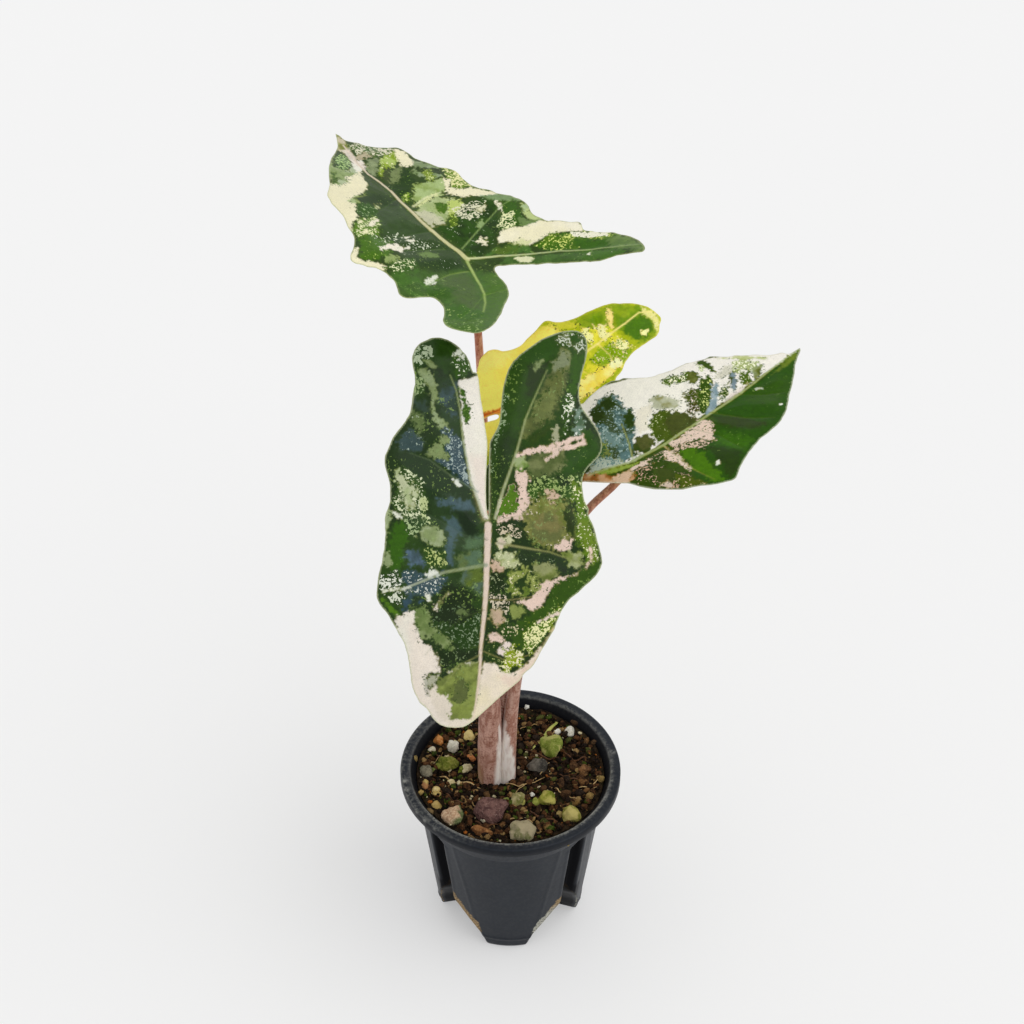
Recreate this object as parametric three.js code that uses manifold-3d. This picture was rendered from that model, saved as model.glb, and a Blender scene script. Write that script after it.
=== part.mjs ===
// A variegated alocasia with four leaves, in a small four-footed nursery pot.
// Millimetres, +Z up. The front of the pot faces -Y, +X is to the right.
// The plant frame has the pot's axis on x = y = 0 and the feet on z = 0; the
// whole is then moved so that the middle of its box is on the axis.
import * as THREE from 'three';
import Module from 'manifold-3d';
import { mergeVertices } from 'three/addons/utils/BufferGeometryUtils.js';
import { ConvexGeometry } from 'three/addons/geometries/ConvexGeometry.js';
import { TessellateModifier } from 'three/addons/modifiers/TessellateModifier.js';

// ---------------------------------------------------------------- dimensions
const RIM_R = 45;            // outer radius of the lip
const LIP_IN_R = 40.9;       // inner radius of the lip's flat
const POT_H = 78.5;          // height of the pot, feet to lip
const LIP_H = 3.93;          // height of the lip's skirt
const CONE_R0 = 30.09;       // wall's outer radius at z = 0
const CONE_K = 0.1227;       // growth of that radius per mm of height
const WALL = 1.15;           // wall thickness
const YAW = -2.7;            // turn of the front foot from -Y, degrees
const GROOVE_AT = [49.5, 130.5, -130.5, -49.5]; // grooves from the front foot, degrees
const GROOVE_W = 3.9;        // half width of a groove at the wall
const GROOVE_D = 3.6;        // depth of a groove
const GROOVE_TOP = 62;       // upper end of the grooves
const MIX_TOP = 74;          // level of the potting mix
const GAP = 0.35;            // clearance between touching pieces
const BLADE_T = 0.6;         // thickness of a leaf blade
const SPLIT_Z = 118;         // where the sheaths end and the free petioles begin
const SHIFT = [-18.52, -5.81, 0];  // moves the middle of the box to the axis

const wallR = (z) => CONE_R0 + CONE_K * z;
const rad = (d) => (d * Math.PI) / 180;

// ------------------------------------------------------------------- helpers
const wasm = await Module();
wasm.setup();
const { Manifold, Mesh: MMesh } = wasm;

function bare(geometry) {
  const g = geometry.clone();
  g.deleteAttribute('normal');
  g.deleteAttribute('uv');
  return mergeVertices(g, 1e-4);
}
function solid(geometry) {
  const g = bare(geometry);
  const m = new MMesh({
    numProp: 3,
    vertProperties: new Float32Array(g.attributes.position.array),
    triVerts: new Uint32Array(g.index.array),
  });
  m.merge();
  return new Manifold(m);
}
function geometryOf(manifold) {
  const m = manifold.getMesh();
  const g = new THREE.BufferGeometry();
  const p = new Float32Array(m.numVert * 3);
  for (let i = 0; i < m.numVert; i++) {
    for (let k = 0; k < 3; k++) p[3 * i + k] = m.vertProperties[m.numProp * i + k];
  }
  g.setAttribute('position', new THREE.BufferAttribute(p, 3));
  g.setIndex(new THREE.BufferAttribute(new Uint32Array(m.triVerts), 1));
  return g;
}
function lathe(profile, segments) {
  const g = new THREE.LatheGeometry(profile.map(([r, z]) => new THREE.Vector2(r, z)), segments);
  g.rotateX(Math.PI / 2);
  return g;
}
// profile points run from the foot of the axis outward and up; the turn makes
// the faces look outward
function turned(profile, segments = 48) {
  const g = lathe(profile, segments);
  return solid(g);
}
// a seeded random number, so that every run gives the same stones
function seeded(seed) {
  let s = seed >>> 0;
  return () => {
    s = (Math.imul(s, 1664525) + 1013904223) >>> 0;
    return s / 4294967296;
  };
}
// a round tube along a smooth path; radii are given at even steps of the path
function tube(points, radii, steps, sides, extra = 0) {
  const path = new THREE.CatmullRomCurve3(points.map((p) => new THREE.Vector3(...p)), false, 'centripetal');
  const shape = new THREE.Shape();
  for (let i = 0; i < sides; i++) {
    const a = (i / sides) * Math.PI * 2;
    if (i === 0) shape.moveTo(Math.cos(a), Math.sin(a));
    else shape.lineTo(Math.cos(a), Math.sin(a));
  }
  shape.closePath();
  const g = new THREE.ExtrudeGeometry(shape, { steps, extrudePath: path, bevelEnabled: false });
  const centres = path.getSpacedPoints(steps);
  const pos = g.attributes.position;
  const v = new THREE.Vector3();
  for (let i = 0; i < pos.count; i++) {
    v.fromBufferAttribute(pos, i);
    let best = 0;
    let bd = Infinity;
    centres.forEach((c, j) => {
      const d = c.distanceToSquared(v);
      if (d < bd) { bd = d; best = j; }
    });
    const t = (best / steps) * (radii.length - 1);
    const i0 = Math.min(Math.floor(t), radii.length - 2);
    const r = radii[i0] + (radii[i0 + 1] - radii[i0]) * (t - i0) + extra;
    v.sub(centres[best]).multiplyScalar(r).add(centres[best]);
    pos.setXYZ(i, v.x, v.y, v.z);
  }
  return g;
}

// ----------------------------------------------------------------- leaf data
// Each blade is a thin sheet: an outline in (u, v), u along the midrib from the
// petiole to the tip and v across it, laid on a gently bent surface.
const BLADES = {
  front: {
    base: [-7.830, -45.000, 246.768],
    normal: [0.11181, -0.79662, 0.59404],
    along: [-0.14834, -0.60448, -0.78269],
    across: [0.98260, -0.00061, -0.18576],
    bend: [0.55, 0.45, 0.06, 0, 0, 0],
    outline: [[-0.40,0.10],[-4.30,-1.20],[-8.50,-2.00],[-12.60,-2.60],[-16.80,-3.00],[-21.00,-3.50],[-25.10,-4.00],[-29.20,-5.10],[-33.20,-6.30],[-37.20,-7.50],[-41.30,-8.70],[-45.40,-9.70],[-48.00,-12.00],[-51.70,-14.00],[-54.70,-16.80],[-56.90,-20.30],[-57.90,-24.40],[-56.80,-28.40],[-54.30,-31.70],[-50.40,-33.20],[-46.30,-32.50],[-42.30,-31.20],[-38.20,-31.20],[-34.00,-31.20],[-29.80,-31.80],[-26.10,-33.60],[-22.40,-35.70],[-18.40,-36.80],[-14.30,-37.50],[-10.30,-36.20],[-6.50,-34.50],[-2.30,-33.80],[1.80,-34.00],[6.00,-34.30],[10.10,-33.50],[14.30,-33.20],[18.40,-33.20],[22.60,-33.50],[26.80,-33.50],[31.00,-33.20],[34.60,-31.10],[37.50,-28.10],[40.80,-25.50],[44.10,-22.90],[47.60,-20.60],[51.40,-19.00],[55.40,-17.70],[59.40,-16.50],[63.20,-14.80],[66.60,-12.20],[69.00,-8.80],[72.20,-6.10],[73.80,-2.30],[73.70,1.90],[72.00,5.60],[68.80,8.30],[65.40,10.80],[62.00,13.30],[58.60,15.80],[55.40,18.50],[51.80,20.60],[48.40,23.00],[44.60,24.60],[40.60,25.90],[36.60,27.30],[32.60,28.50],[28.50,29.40],[24.60,30.80],[21.20,33.30],[17.90,35.90],[14.60,38.50],[10.90,40.30],[6.80,39.90],[2.90,38.20],[-0.90,36.50],[-4.50,34.40],[-8.30,33.20],[-11.80,30.90],[-15.80,29.80],[-20.00,29.90],[-23.60,32.00],[-27.10,34.30],[-31.20,34.40],[-34.90,32.50],[-38.10,29.80],[-41.10,26.90],[-44.80,25.00],[-49.00,24.40],[-53.20,24.80],[-57.30,25.40],[-61.50,25.70],[-65.60,24.80],[-67.70,21.40],[-66.90,17.30],[-65.20,13.50],[-63.00,9.90],[-60.20,6.80],[-57.30,3.80],[-54.00,1.20],[-50.10,-0.40],[-46.00,-1.00],[-41.80,-1.20],[-37.60,-1.00],[-33.40,-0.80],[-29.30,-1.80],[-25.40,-3.20],[-21.20,-2.80],[-17.00,-2.30],[-12.80,-1.70],[-8.70,-1.00],[-4.50,-0.40]],
  },
  top: {
    base: [-15.362, 28.000, 302.771],
    normal: [0.25497, -0.12738, 0.95852],
    along: [-0.64643, 0.71476, 0.26694],
    across: [-0.71911, -0.68768, 0.09990],
    bend: [0.15, -1.71, 0.11, -0.4, 0.29, -0.28],
    outline: [[-40.00,32.20],[-39.00,28.20],[-37.40,24.30],[-35.30,20.70],[-33.20,17.10],[-30.80,13.60],[-28.40,10.20],[-26.20,6.60],[-23.80,3.20],[-20.70,0.40],[-17.10,-1.80],[-13.10,-2.90],[-9.20,-4.40],[-8.30,-7.80],[-10.70,-11.30],[-13.60,-14.30],[-16.70,-16.90],[-19.60,-19.90],[-23.10,-22.10],[-26.60,-24.40],[-30.40,-25.90],[-34.00,-28.00],[-36.60,-31.20],[-40.40,-32.70],[-44.10,-34.00],[-41.40,-37.00],[-37.80,-39.10],[-33.80,-40.60],[-29.70,-41.20],[-25.50,-41.40],[-21.50,-40.30],[-17.50,-39.20],[-13.60,-39.20],[-9.80,-40.30],[-6.30,-38.10],[-2.90,-35.70],[0.60,-33.90],[4.70,-33.20],[8.60,-34.70],[12.80,-34.70],[16.80,-33.50],[20.20,-31.10],[24.20,-29.80],[27.70,-27.60],[31.70,-26.80],[35.90,-27.20],[40.00,-27.60],[43.60,-25.60],[47.20,-23.70],[51.10,-22.00],[55.10,-20.90],[59.20,-20.90],[63.00,-19.50],[64.90,-15.80],[67.10,-12.20],[70.30,-9.50],[73.30,-6.80],[76.90,-5.40],[80.10,-5.20],[76.60,-2.80],[73.30,-0.30],[70.30,2.70],[67.70,6.00],[65.30,9.40],[62.60,12.60],[59.80,15.70],[56.70,18.60],[53.50,21.30],[50.20,23.80],[47.10,26.60],[44.30,29.70],[40.80,31.90],[36.80,32.80],[32.60,32.80],[28.70,34.10],[24.70,35.40],[20.80,36.70],[17.60,39.40],[14.90,42.60],[12.00,45.50],[9.10,43.00],[6.90,39.60],[4.00,36.70],[-0.00,35.80],[-3.90,37.20],[-7.80,38.50],[-10.00,35.20],[-10.90,31.10],[-13.10,27.70],[-17.10,28.30],[-20.60,30.60],[-23.50,33.70],[-26.50,36.50],[-30.40,37.70],[-34.50,37.00],[-38.50,35.70]],
  },
  right: {
    base: [41.581, -25.000, 255.773],
    normal: [-0.29453, -0.18840, 0.93689],
    along: [0.81756, 0.45795, 0.34911],
    across: [-0.49482, 0.86879, 0.01915],
    bend: [0.4, 0.4, 0.12, 0, 0, 0],
    outline: [[0.80,32.20],[4.80,33.30],[9.00,33.90],[13.20,33.80],[17.00,32.30],[20.40,29.90],[23.80,27.50],[27.60,25.90],[31.70,24.90],[35.80,24.40],[39.90,23.70],[43.90,22.50],[47.90,21.70],[51.30,19.20],[55.10,17.50],[58.60,15.20],[62.10,13.00],[65.70,11.00],[69.40,9.40],[73.20,8.60],[74.50,7.50],[71.30,4.80],[68.30,1.80],[65.70,-1.50],[63.00,-4.70],[60.20,-7.80],[57.30,-10.90],[54.60,-14.10],[51.80,-17.20],[48.50,-19.80],[44.70,-21.50],[40.60,-22.70],[36.60,-23.70],[32.80,-25.50],[29.10,-27.50],[25.60,-29.80],[22.40,-32.50],[18.70,-33.70],[15.00,-31.80],[11.60,-29.30],[8.30,-26.70],[4.70,-24.60],[1.90,-21.40],[-0.80,-18.20],[-3.10,-14.70],[-5.00,-11.00],[-6.70,-7.20],[-9.40,-3.90],[-12.10,-0.70],[-14.90,2.50],[-17.80,5.50],[-21.60,7.20],[-25.50,8.80],[-29.40,10.20],[-33.40,11.70],[-37.30,13.30],[-41.10,15.10],[-44.70,17.20],[-47.90,19.90],[-50.00,23.50],[-49.50,27.60],[-47.20,31.10],[-43.80,33.60],[-40.00,35.40],[-36.00,36.70],[-31.90,37.60],[-27.70,38.10],[-23.50,38.20],[-19.30,38.00],[-15.20,37.40],[-11.10,36.50],[-7.00,35.30],[-3.10,33.80]],
  },
  rear: {
    base: [-3.461, 12.000, 249.669],
    normal: [-0.14942, -0.45258, 0.87911],
    along: [0.85858, 0.38160, 0.34238],
    across: [-0.49043, 0.80595, 0.33156],
    bend: [0.3, 0.3, 0.08, 0, 0, 0],
    outline: [[0.10,18.10],[2.70,21.30],[6.50,23.00],[10.40,22.00],[13.60,19.50],[17.70,18.70],[21.70,19.90],[25.80,21.00],[29.70,22.60],[33.30,21.30],[36.90,19.30],[41.10,18.40],[45.30,18.50],[49.50,18.30],[53.60,17.90],[57.50,16.40],[61.30,14.50],[64.60,12.00],[67.10,8.60],[68.30,4.60],[66.10,1.20],[63.40,-1.90],[59.30,-2.70],[55.10,-3.40],[51.10,-4.50],[47.40,-6.50],[44.20,-9.20],[40.60,-11.20],[37.00,-13.40],[33.20,-15.20],[29.30,-16.80],[25.30,-18.10],[21.20,-19.30],[17.20,-20.40],[13.00,-21.20],[8.90,-21.80],[4.70,-22.20],[0.50,-22.30],[-3.70,-22.30],[-7.90,-22.10],[-12.10,-21.70],[-16.30,-21.20],[-20.40,-20.10],[-24.20,-18.30],[-27.10,-15.30],[-28.10,-11.20],[-27.00,-7.20],[-24.10,-4.10],[-20.40,-2.30],[-16.30,-1.20],[-12.20,-0.60],[-7.90,-0.60],[-3.90,-1.70],[-2.90,0.20],[-7.00,0.90],[-11.20,1.20],[-15.30,1.80],[-19.20,3.30],[-20.90,7.00],[-19.40,10.80],[-16.10,13.40],[-12.20,15.00],[-8.10,16.20],[-4.00,17.20]],
  },
};
function bladeHeight(q, u, v) {
  const [a, b, t, c, d, e] = q;
  const up = Math.max(u, 0);
  const um = Math.min(u, 0);
  return -0.5 * a * 0.01 * up * up - 0.5 * b * 0.01 * um * um + t * (Math.sqrt(v * v + 9) - 3)
    - 0.5 * c * 0.01 * v * v + d * 0.01 * u * v + e * 0.0001 * v * v * v;
}
function blade(leaf) {
  const shape = new THREE.Shape(leaf.outline.map(([u, v]) => new THREE.Vector2(u, v)));
  let g = new THREE.ExtrudeGeometry(shape, { depth: BLADE_T, steps: 1, bevelEnabled: false, curveSegments: 1 });
  g.deleteAttribute('normal');
  g.deleteAttribute('uv');
  g = new TessellateModifier(14, 14).modify(g);
  const pos = g.attributes.position;
  const P = new THREE.Vector3(...leaf.base);
  const n = new THREE.Vector3(...leaf.normal);
  const U = new THREE.Vector3(...leaf.along);
  const V = new THREE.Vector3(...leaf.across);
  const v = new THREE.Vector3();
  for (let i = 0; i < pos.count; i++) {
    const u0 = pos.getX(i);
    const v0 = pos.getY(i);
    const w = pos.getZ(i) - BLADE_T / 2;
    v.copy(P).addScaledVector(U, u0).addScaledVector(V, v0)
      .addScaledVector(n, bladeHeight(leaf.bend, u0, v0) + w);
    pos.setXYZ(i, v.x, v.y, v.z);
  }
  return g;
}

// ----------------------------------------------------------------------- pot
const dirOf = (deg) => new THREE.Vector3(Math.sin(rad(deg)), -Math.cos(rad(deg)), 0);
const tanOf = (deg) => new THREE.Vector3(Math.cos(rad(deg)), Math.sin(rad(deg)), 0);

// arch between two feet: [angle off the groove, height] of its edge in the wall,
// toward the front or rear foot; toward a side foot the angle is 3/4 of it
const ARCH_EDGE = [[3.0, 28.4], [10.5, 22], [16.5, 18], [21.5, 14], [26, 11], [29.5, 8.5], [31.5, 6], [34, 3], [36, 0]];
function archWedge(grooveDeg, offset) {
  // roof-shaped wedge that narrows to the middle of the pot's floor
  const axis = new THREE.Vector3(0, 0, 6 + offset);
  const pts = [axis.clone(), new THREE.Vector3(0, 0, -2)];
  const towardFront = Math.abs(grooveDeg) < 90 ? -Math.sign(grooveDeg) : Math.sign(grooveDeg);
  for (const side of [-1, 1]) {
    const scale = side === towardFront ? 1 : 0.75;
    for (const [a, z] of ARCH_EDGE) {
      const R = wallR(z);
      const ang = grooveDeg + side * a * scale + YAW;
      const p = dirOf(ang).multiplyScalar(R);
      p.z = z;
      // the offset widens the wedge all round, for the inside of the shell
      p.addScaledVector(tanOf(ang), side * offset * 1.2);
      p.z += offset * 1.15;
      const q = p.clone().sub(axis).multiplyScalar(1.3).add(axis);
      pts.push(q);
      if (a === 36) pts.push(new THREE.Vector3(q.x, q.y, -2));
    }
  }
  return solid(new ConvexGeometry(pts));
}
function groove(grooveDeg, offset) {
  // long rounded channel in the wall, parallel to the wall's slope
  const w = GROOVE_W + offset;
  const d = GROOVE_D + offset;
  const shape = new THREE.Shape();
  const prof = [[8, w + 1.2], [0.6, w + 0.5], [-0.6, w], [-(d - 1.2), w - 0.7], [-d, w - 1.9]];
  prof.forEach(([x, y], i) => (i ? shape.lineTo(x, y) : shape.moveTo(x, y)));
  [...prof].reverse().forEach(([x, y]) => shape.lineTo(x, -y));
  shape.closePath();
  const g = new THREE.ExtrudeGeometry(shape, { depth: GROOVE_TOP + offset * 2.4 - 8, steps: 1, bevelEnabled: false });
  // stands along z; leans outward with the wall
  g.translate(0, 0, 8);
  const pos = g.attributes.position;
  for (let i = 0; i < pos.count; i++) {
    const x = pos.getX(i);
    const y = pos.getY(i);
    let z = pos.getZ(i);
    if (z > 20) z += x > 0 ? 0 : x * 0.55; // the upper end slopes in
    const r = wallR(z) + x;
    const p = dirOf(grooveDeg + YAW).multiplyScalar(r).addScaledVector(tanOf(grooveDeg + YAW), y);
    pos.setXYZ(i, p.x, p.y, z);
  }
  return solid(g);
}
function hub(offset) {
  // flat round middle of the floor, where the four arches meet
  const r = 4 + offset * 1.2;
  const g = new THREE.CylinderGeometry(r, r, 12, 20);
  g.rotateX(Math.PI / 2);
  g.translate(0, 0, offset);
  return solid(g);
}
function slot(grooveDeg) {
  // drain slot through the groove's bottom, just above the arch
  const g = new THREE.BoxGeometry(9, 2.6, 9);
  g.translate(wallR(30) - GROOVE_D - 1.5, 0, 31);
  g.rotateZ(rad(grooveDeg + YAW - 90));
  return solid(g);
}
const outerProfile = [
  [0, 0], [28.5, 0], [29.55, 0.4], [30.25, 1.4], [wallR(64), 64], [wallR(64.3) + 0.3, 64.3],
  [wallR(66.5) + 0.3, 66.5], [wallR(66.8) + 0.6, 66.8], [39.9, POT_H - LIP_H], [41.2, 76.3], [42, 77.2],
  [RIM_R - 1.2, 77.2], [RIM_R - 1.2, POT_H - LIP_H], [RIM_R, POT_H - LIP_H], [RIM_R, POT_H - 0.7],
  [RIM_R - 0.7, POT_H], [0, POT_H],
];
const cavityProfile = (o) => [
  [0, WALL + o], [28.2 - o, WALL + o], [wallR(3) - WALL - o, 3], [wallR(66) - WALL - o, 66],
  [38.3 - o, 73], [38.7 - o, 75], [40.2 - o, 77.6], [LIP_IN_R - o, POT_H], [LIP_IN_R + 0.4 - o, POT_H + 2], [0, POT_H + 2],
];
let potBody = turned(outerProfile);
let potInside = turned(cavityProfile(0));
for (const g of GROOVE_AT) {
  potBody = potBody.subtract(groove(g, 0)).subtract(archWedge(g, 0));
  potInside = potInside.subtract(groove(g, WALL)).subtract(archWedge(g, WALL));
}
potBody = potBody.subtract(hub(0));
potInside = potInside.subtract(hub(WALL));
let pot = potBody.subtract(potInside);
for (const g of GROOVE_AT) pot = pot.subtract(slot(g));
const drain = new THREE.CylinderGeometry(2.2, 2.2, 12, 16);
drain.rotateX(Math.PI / 2);
drain.translate(0, 0, 6);
pot = pot.subtract(solid(drain));

// --------------------------------------------------------- stem and petioles
// paths from under the mix up to the middle of each blade's base
const PETIOLES = {
  front: { path: [[-8.3, -0.8, 66], [-8.3, -1.2, 90], [-8.1, -5, 120], [-8, -16, 165], [-8, -30, 207], [-7.9, -40, 234]], r: [5.2, 4.9, 4.0, 2.9, 2.3, 1.9, 1.65, 1.5] },
  top: { path: [[-5.4, 3.0, 66], [-6.2, 4.6, 92], [-7.2, 8.6, 125], [-8.4, 17.5, 175], [-10, 26.5, 222], [-11.6, 32.6, 257], [-13.0, 32.8, 280]], r: [4.2, 3.3, 2.6, 2.2, 1.9, 1.7, 1.55, 1.4] },
  right: { path: [[-1.6, -0.2, 66], [-1.0, -0.6, 90], [1.0, -1.6, 120], [7, -6, 165], [16.5, -14, 205], [27.4, -21, 231.8], [35.7, -23.6, 244.6]], r: [4.0, 3.4, 2.6, 2.1, 1.8, 1.6, 1.5, 1.4] },
  rear: { path: [[-3.4, 2.4, 66], [-2.6, 3.6, 92], [-1.6, 5.4, 122], [-1.6, 8.8, 175], [-2.4, 11.6, 222]], r: [3.6, 3.0, 2.4, 2.0, 1.75, 1.6, 1.45, 1.35] },
};
function petioleTop(name) {
  const leaf = BLADES[name];
  const n = new THREE.Vector3(...leaf.normal);
  return new THREE.Vector3(...leaf.base).addScaledVector(n, -(BLADE_T / 2 + 1.75)).toArray();
}
const box = (zLow, zHigh) => {
  const g = new THREE.BoxGeometry(400, 400, zHigh - zLow);
  g.translate(0, 0, (zLow + zHigh) / 2);
  return solid(g);
};
const stems = {};
let stemBase = null;
let stemPocket = null;
for (const [name, p] of Object.entries(PETIOLES)) {
  const path = [...p.path, petioleTop(name)];
  const whole = solid(tube(path, p.r, 22, 12));
  const low = whole.intersect(box(0, SPLIT_Z));
  stems[name] = whole.intersect(box(SPLIT_Z + GAP, 400));
  stemBase = stemBase ? stemBase.add(low) : low;
  const first = [path[0][0], path[0][1], path[0][2] - 1.5 * GAP];
  const wide = solid(tube([first, ...path.slice(1)], p.r, 22, 12, GAP)).intersect(box(0, 100));
  stemPocket = stemPocket ? stemPocket.add(wide) : wide;
}

// ------------------------------------------------------------ corm and roots
const CORM_AT = [-5, 1, 58.85];
const CORM_R = [9, 8.5, 6.8];
function ellipsoid(at, r, extra, w = 14, h = 9) {
  const g = new THREE.SphereGeometry(1, w, h);
  g.scale(r[0] + extra, r[1] + extra, r[2] + extra);
  g.rotateX(Math.PI / 2);
  g.translate(...at);
  return solid(g);
}
const corm = ellipsoid(CORM_AT, [CORM_R[0], CORM_R[2], CORM_R[1]], 0);
const cormPocket = ellipsoid(CORM_AT, [CORM_R[0], CORM_R[2], CORM_R[1]], GAP);
const ROOTS = [
  [[-9, -1, 57.5], [-14.4, -3.5, 56], [-20, -9, 50], [-23, -14, 40], [-22, -17, 28]],
  [[-0.5, 0, 57.5], [4.6, -2.5, 56], [12, -7, 51], [17, -13, 42], [18, -17, 30]],
  [[-2, 4.5, 57.5], [2.6, 7, 56], [9, 14, 50], [13, 19, 41], [14, 21, 30]],
  [[-8.5, 4.5, 57.5], [-11.6, 8, 56], [-17, 14, 50], [-19, 19, 41], [-20, 19, 30]],
];
const ROOT_R = [1.3, 1.2, 1.0, 0.8, 0.6];

// ---------------------------------------------------------------- the stones
// [name, x, y, half length, half width, half height, turn in degrees, colour]
const STONES = [
  ['pebble_orange', -29.80, 18.30, 2.40, 2.40, 2.10, 0, '#b9783c'],
  ['gravel_white', -24.00, 15.20, 2.60, 2.90, 2.30, 0, '#cfc9bb'],
  ['pebble_cream', -17.36, 21.47, 2.65, 3.24, 2.12, 0, '#c9b878'],
  ['gravel_mossy', -25.89, 5.16, 4.08, 3.73, 2.99, 0, '#6f7430'],
  ['pebble_grey_left', -34.20, 0.86, 2.65, 2.99, 2.12, 0, '#7c7662'],
  ['gravel_cream_small', -18.23, 2.67, 2.45, 2.49, 1.96, 0, '#c2b48d'],
  ['gravel_tan', -34.50, -7.00, 1.70, 2.30, 1.70, 0, '#9a7046'],
  ['pebble_cream_front', -30.30, -10.00, 1.90, 2.20, 1.63, 0, '#d2bd86'],
  ['pebble_tan_front', -29.79, -17.69, 2.04, 2.55, 1.63, 0, '#b39a5c'],
  ['stone_green_pink', -22.28, -23.28, 4.69, 4.98, 3.76, 0, '#8f8a5a'],
  ['lava_rock', -7.70, -21.50, 7.00, 5.50, 4.60, 0, '#6d5656'],
  ['bark_chip_front', -10.90, -31.60, 4.40, 2.50, 2.10, 0, '#9a6d44'],
  ['stone_grey_green', 4.45, -31.58, 5.31, 4.73, 3.78, 0, '#80795a'],
  ['stone_tan_green', 3.10, -14.29, 2.86, 3.57, 2.29, 0, '#8b8256'],
  ['stone_yellow_green', 14.41, -14.23, 3.88, 3.73, 2.99, 0, '#8d8a3e'],
  ['stone_yellow_right', 24.24, -22.87, 3.88, 3.73, 2.99, 0, '#8f8b47'],
  ['stone_green', 17.22, 15.30, 4.49, 5.48, 3.59, 0, '#6d7a44'],
  ['perlite_right', 24.88, 23.75, 2.24, 2.81, 1.80, 0, '#d9d6c8'],
  ['stone_dark', 10.91, 4.50, 4.08, 3.48, 2.79, 0, '#54504a'],
  ['bark_chip_right', 30.58, 2.36, 2.86, 2.24, 1.79, 0, '#7c5a3b'],
];
function stonePoints(s, extra) {
  const [, , , a, b, c, turn] = s;
  const rnd = seeded(Math.round(a * 977 + b * 131 + c * 57 + turn * 3));
  const pts = [];
  const N = 24;
  for (let i = 0; i < N; i++) {
    const z = 1 - (2 * (i + 0.5)) / N;
    const r = Math.sqrt(1 - z * z);
    const t = i * 2.399963;
    const k = 0.9 + 0.18 * rnd();
    const d = new THREE.Vector3(r * Math.cos(t), r * Math.sin(t), z);
    const p = new THREE.Vector3(d.x * a * k, d.y * b * k, d.z * c * k);
    const out = new THREE.Vector3(d.x / a, d.y / b, d.z / c).normalize();
    pts.push(p.addScaledVector(out, extra));
  }
  return pts;
}
function stone(s, extra) {
  const g = new ConvexGeometry(stonePoints(s, extra));
  g.rotateZ(rad(s[6]));
  g.translate(s[1], s[2], MIX_TOP + s[5] * 0.12);
  return solid(g);
}

// ------------------------------------------------------------------- the mix
let mix = turned(cavityProfile(GAP)).intersect(box(0, MIX_TOP));
for (const g of GROOVE_AT) mix = mix.subtract(groove(g, WALL + GAP)).subtract(archWedge(g, WALL + GAP));
mix = mix.subtract(hub(WALL + GAP)).subtract(stemPocket).subtract(cormPocket);
const rootSolids = ROOTS.map((r) => solid(tube(r, ROOT_R, 8, 7)).subtract(ellipsoid(CORM_AT, [CORM_R[0], CORM_R[2], CORM_R[1]], GAP)));
ROOTS.forEach((r) => { mix = mix.subtract(solid(tube(r, ROOT_R, 8, 7, GAP))); });
for (const s of STONES) mix = mix.subtract(stone(s, GAP));

// -------------------------------------------------------------- the assembly
const model = new THREE.Group();
model.name = 'potted_alocasia';
model.position.set(...SHIFT);

function addMesh(name, geometry, colour, roughness, metalness = 0) {
  const g = bare(geometry);
  g.computeVertexNormals();
  const material = new THREE.MeshStandardMaterial({ color: new THREE.Color(colour), roughness, metalness });
  material.name = name;
  const mesh = new THREE.Mesh(g, material);
  mesh.name = name;
  model.add(mesh);
}

addMesh('nursery_pot', geometryOf(pot), '#3b3c42', 0.5);
addMesh('potting_mix', geometryOf(mix), '#241d17', 0.95);
addMesh('corm', geometryOf(corm), '#6b4a35', 0.85);
rootSolids.forEach((r, i) => addMesh(`root_${i + 1}`, geometryOf(r), '#b9a184', 0.8));
addMesh('stem_base', geometryOf(stemBase), '#b08a72', 0.45);
addMesh('petiole_front', geometryOf(stems.front), '#a2776a', 0.4);
addMesh('petiole_top', geometryOf(stems.top), '#8d5148', 0.4);
addMesh('petiole_right', geometryOf(stems.right), '#b9806a', 0.4);
addMesh('petiole_rear', geometryOf(stems.rear), '#94a35a', 0.4);
addMesh('leaf_front', blade(BLADES.front), '#3f5a3a', 0.35);
addMesh('leaf_top', blade(BLADES.top), '#3c5c38', 0.35);
addMesh('leaf_right', blade(BLADES.right), '#7d9a5c', 0.35);
addMesh('leaf_rear', blade(BLADES.rear), '#a7b54a', 0.35);
for (const s of STONES) addMesh(s[0], geometryOf(stone(s, 0)), s[7], 0.85);

export default model;
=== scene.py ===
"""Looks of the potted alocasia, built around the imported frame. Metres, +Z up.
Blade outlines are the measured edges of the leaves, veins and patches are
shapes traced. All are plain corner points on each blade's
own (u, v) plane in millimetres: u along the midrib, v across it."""
import math

import bmesh
import bpy
import numpy as np
from mathutils import Matrix, Vector
from mathutils.geometry import delaunay_2d_cdt


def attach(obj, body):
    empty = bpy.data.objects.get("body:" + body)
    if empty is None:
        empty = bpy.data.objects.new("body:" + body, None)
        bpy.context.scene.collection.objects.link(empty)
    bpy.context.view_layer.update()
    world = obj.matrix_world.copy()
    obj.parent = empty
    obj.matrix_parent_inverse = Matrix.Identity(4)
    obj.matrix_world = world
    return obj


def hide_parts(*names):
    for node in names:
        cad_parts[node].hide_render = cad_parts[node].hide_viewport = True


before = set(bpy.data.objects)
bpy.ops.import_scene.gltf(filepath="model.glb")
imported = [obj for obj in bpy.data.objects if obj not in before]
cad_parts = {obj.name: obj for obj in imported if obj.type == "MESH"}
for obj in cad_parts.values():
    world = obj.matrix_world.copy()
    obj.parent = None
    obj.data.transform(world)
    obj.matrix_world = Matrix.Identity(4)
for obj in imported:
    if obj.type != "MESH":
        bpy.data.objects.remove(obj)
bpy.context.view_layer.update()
SH = np.array([-18.52, -5.81, 0.0])
scene = bpy.context.scene

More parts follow.
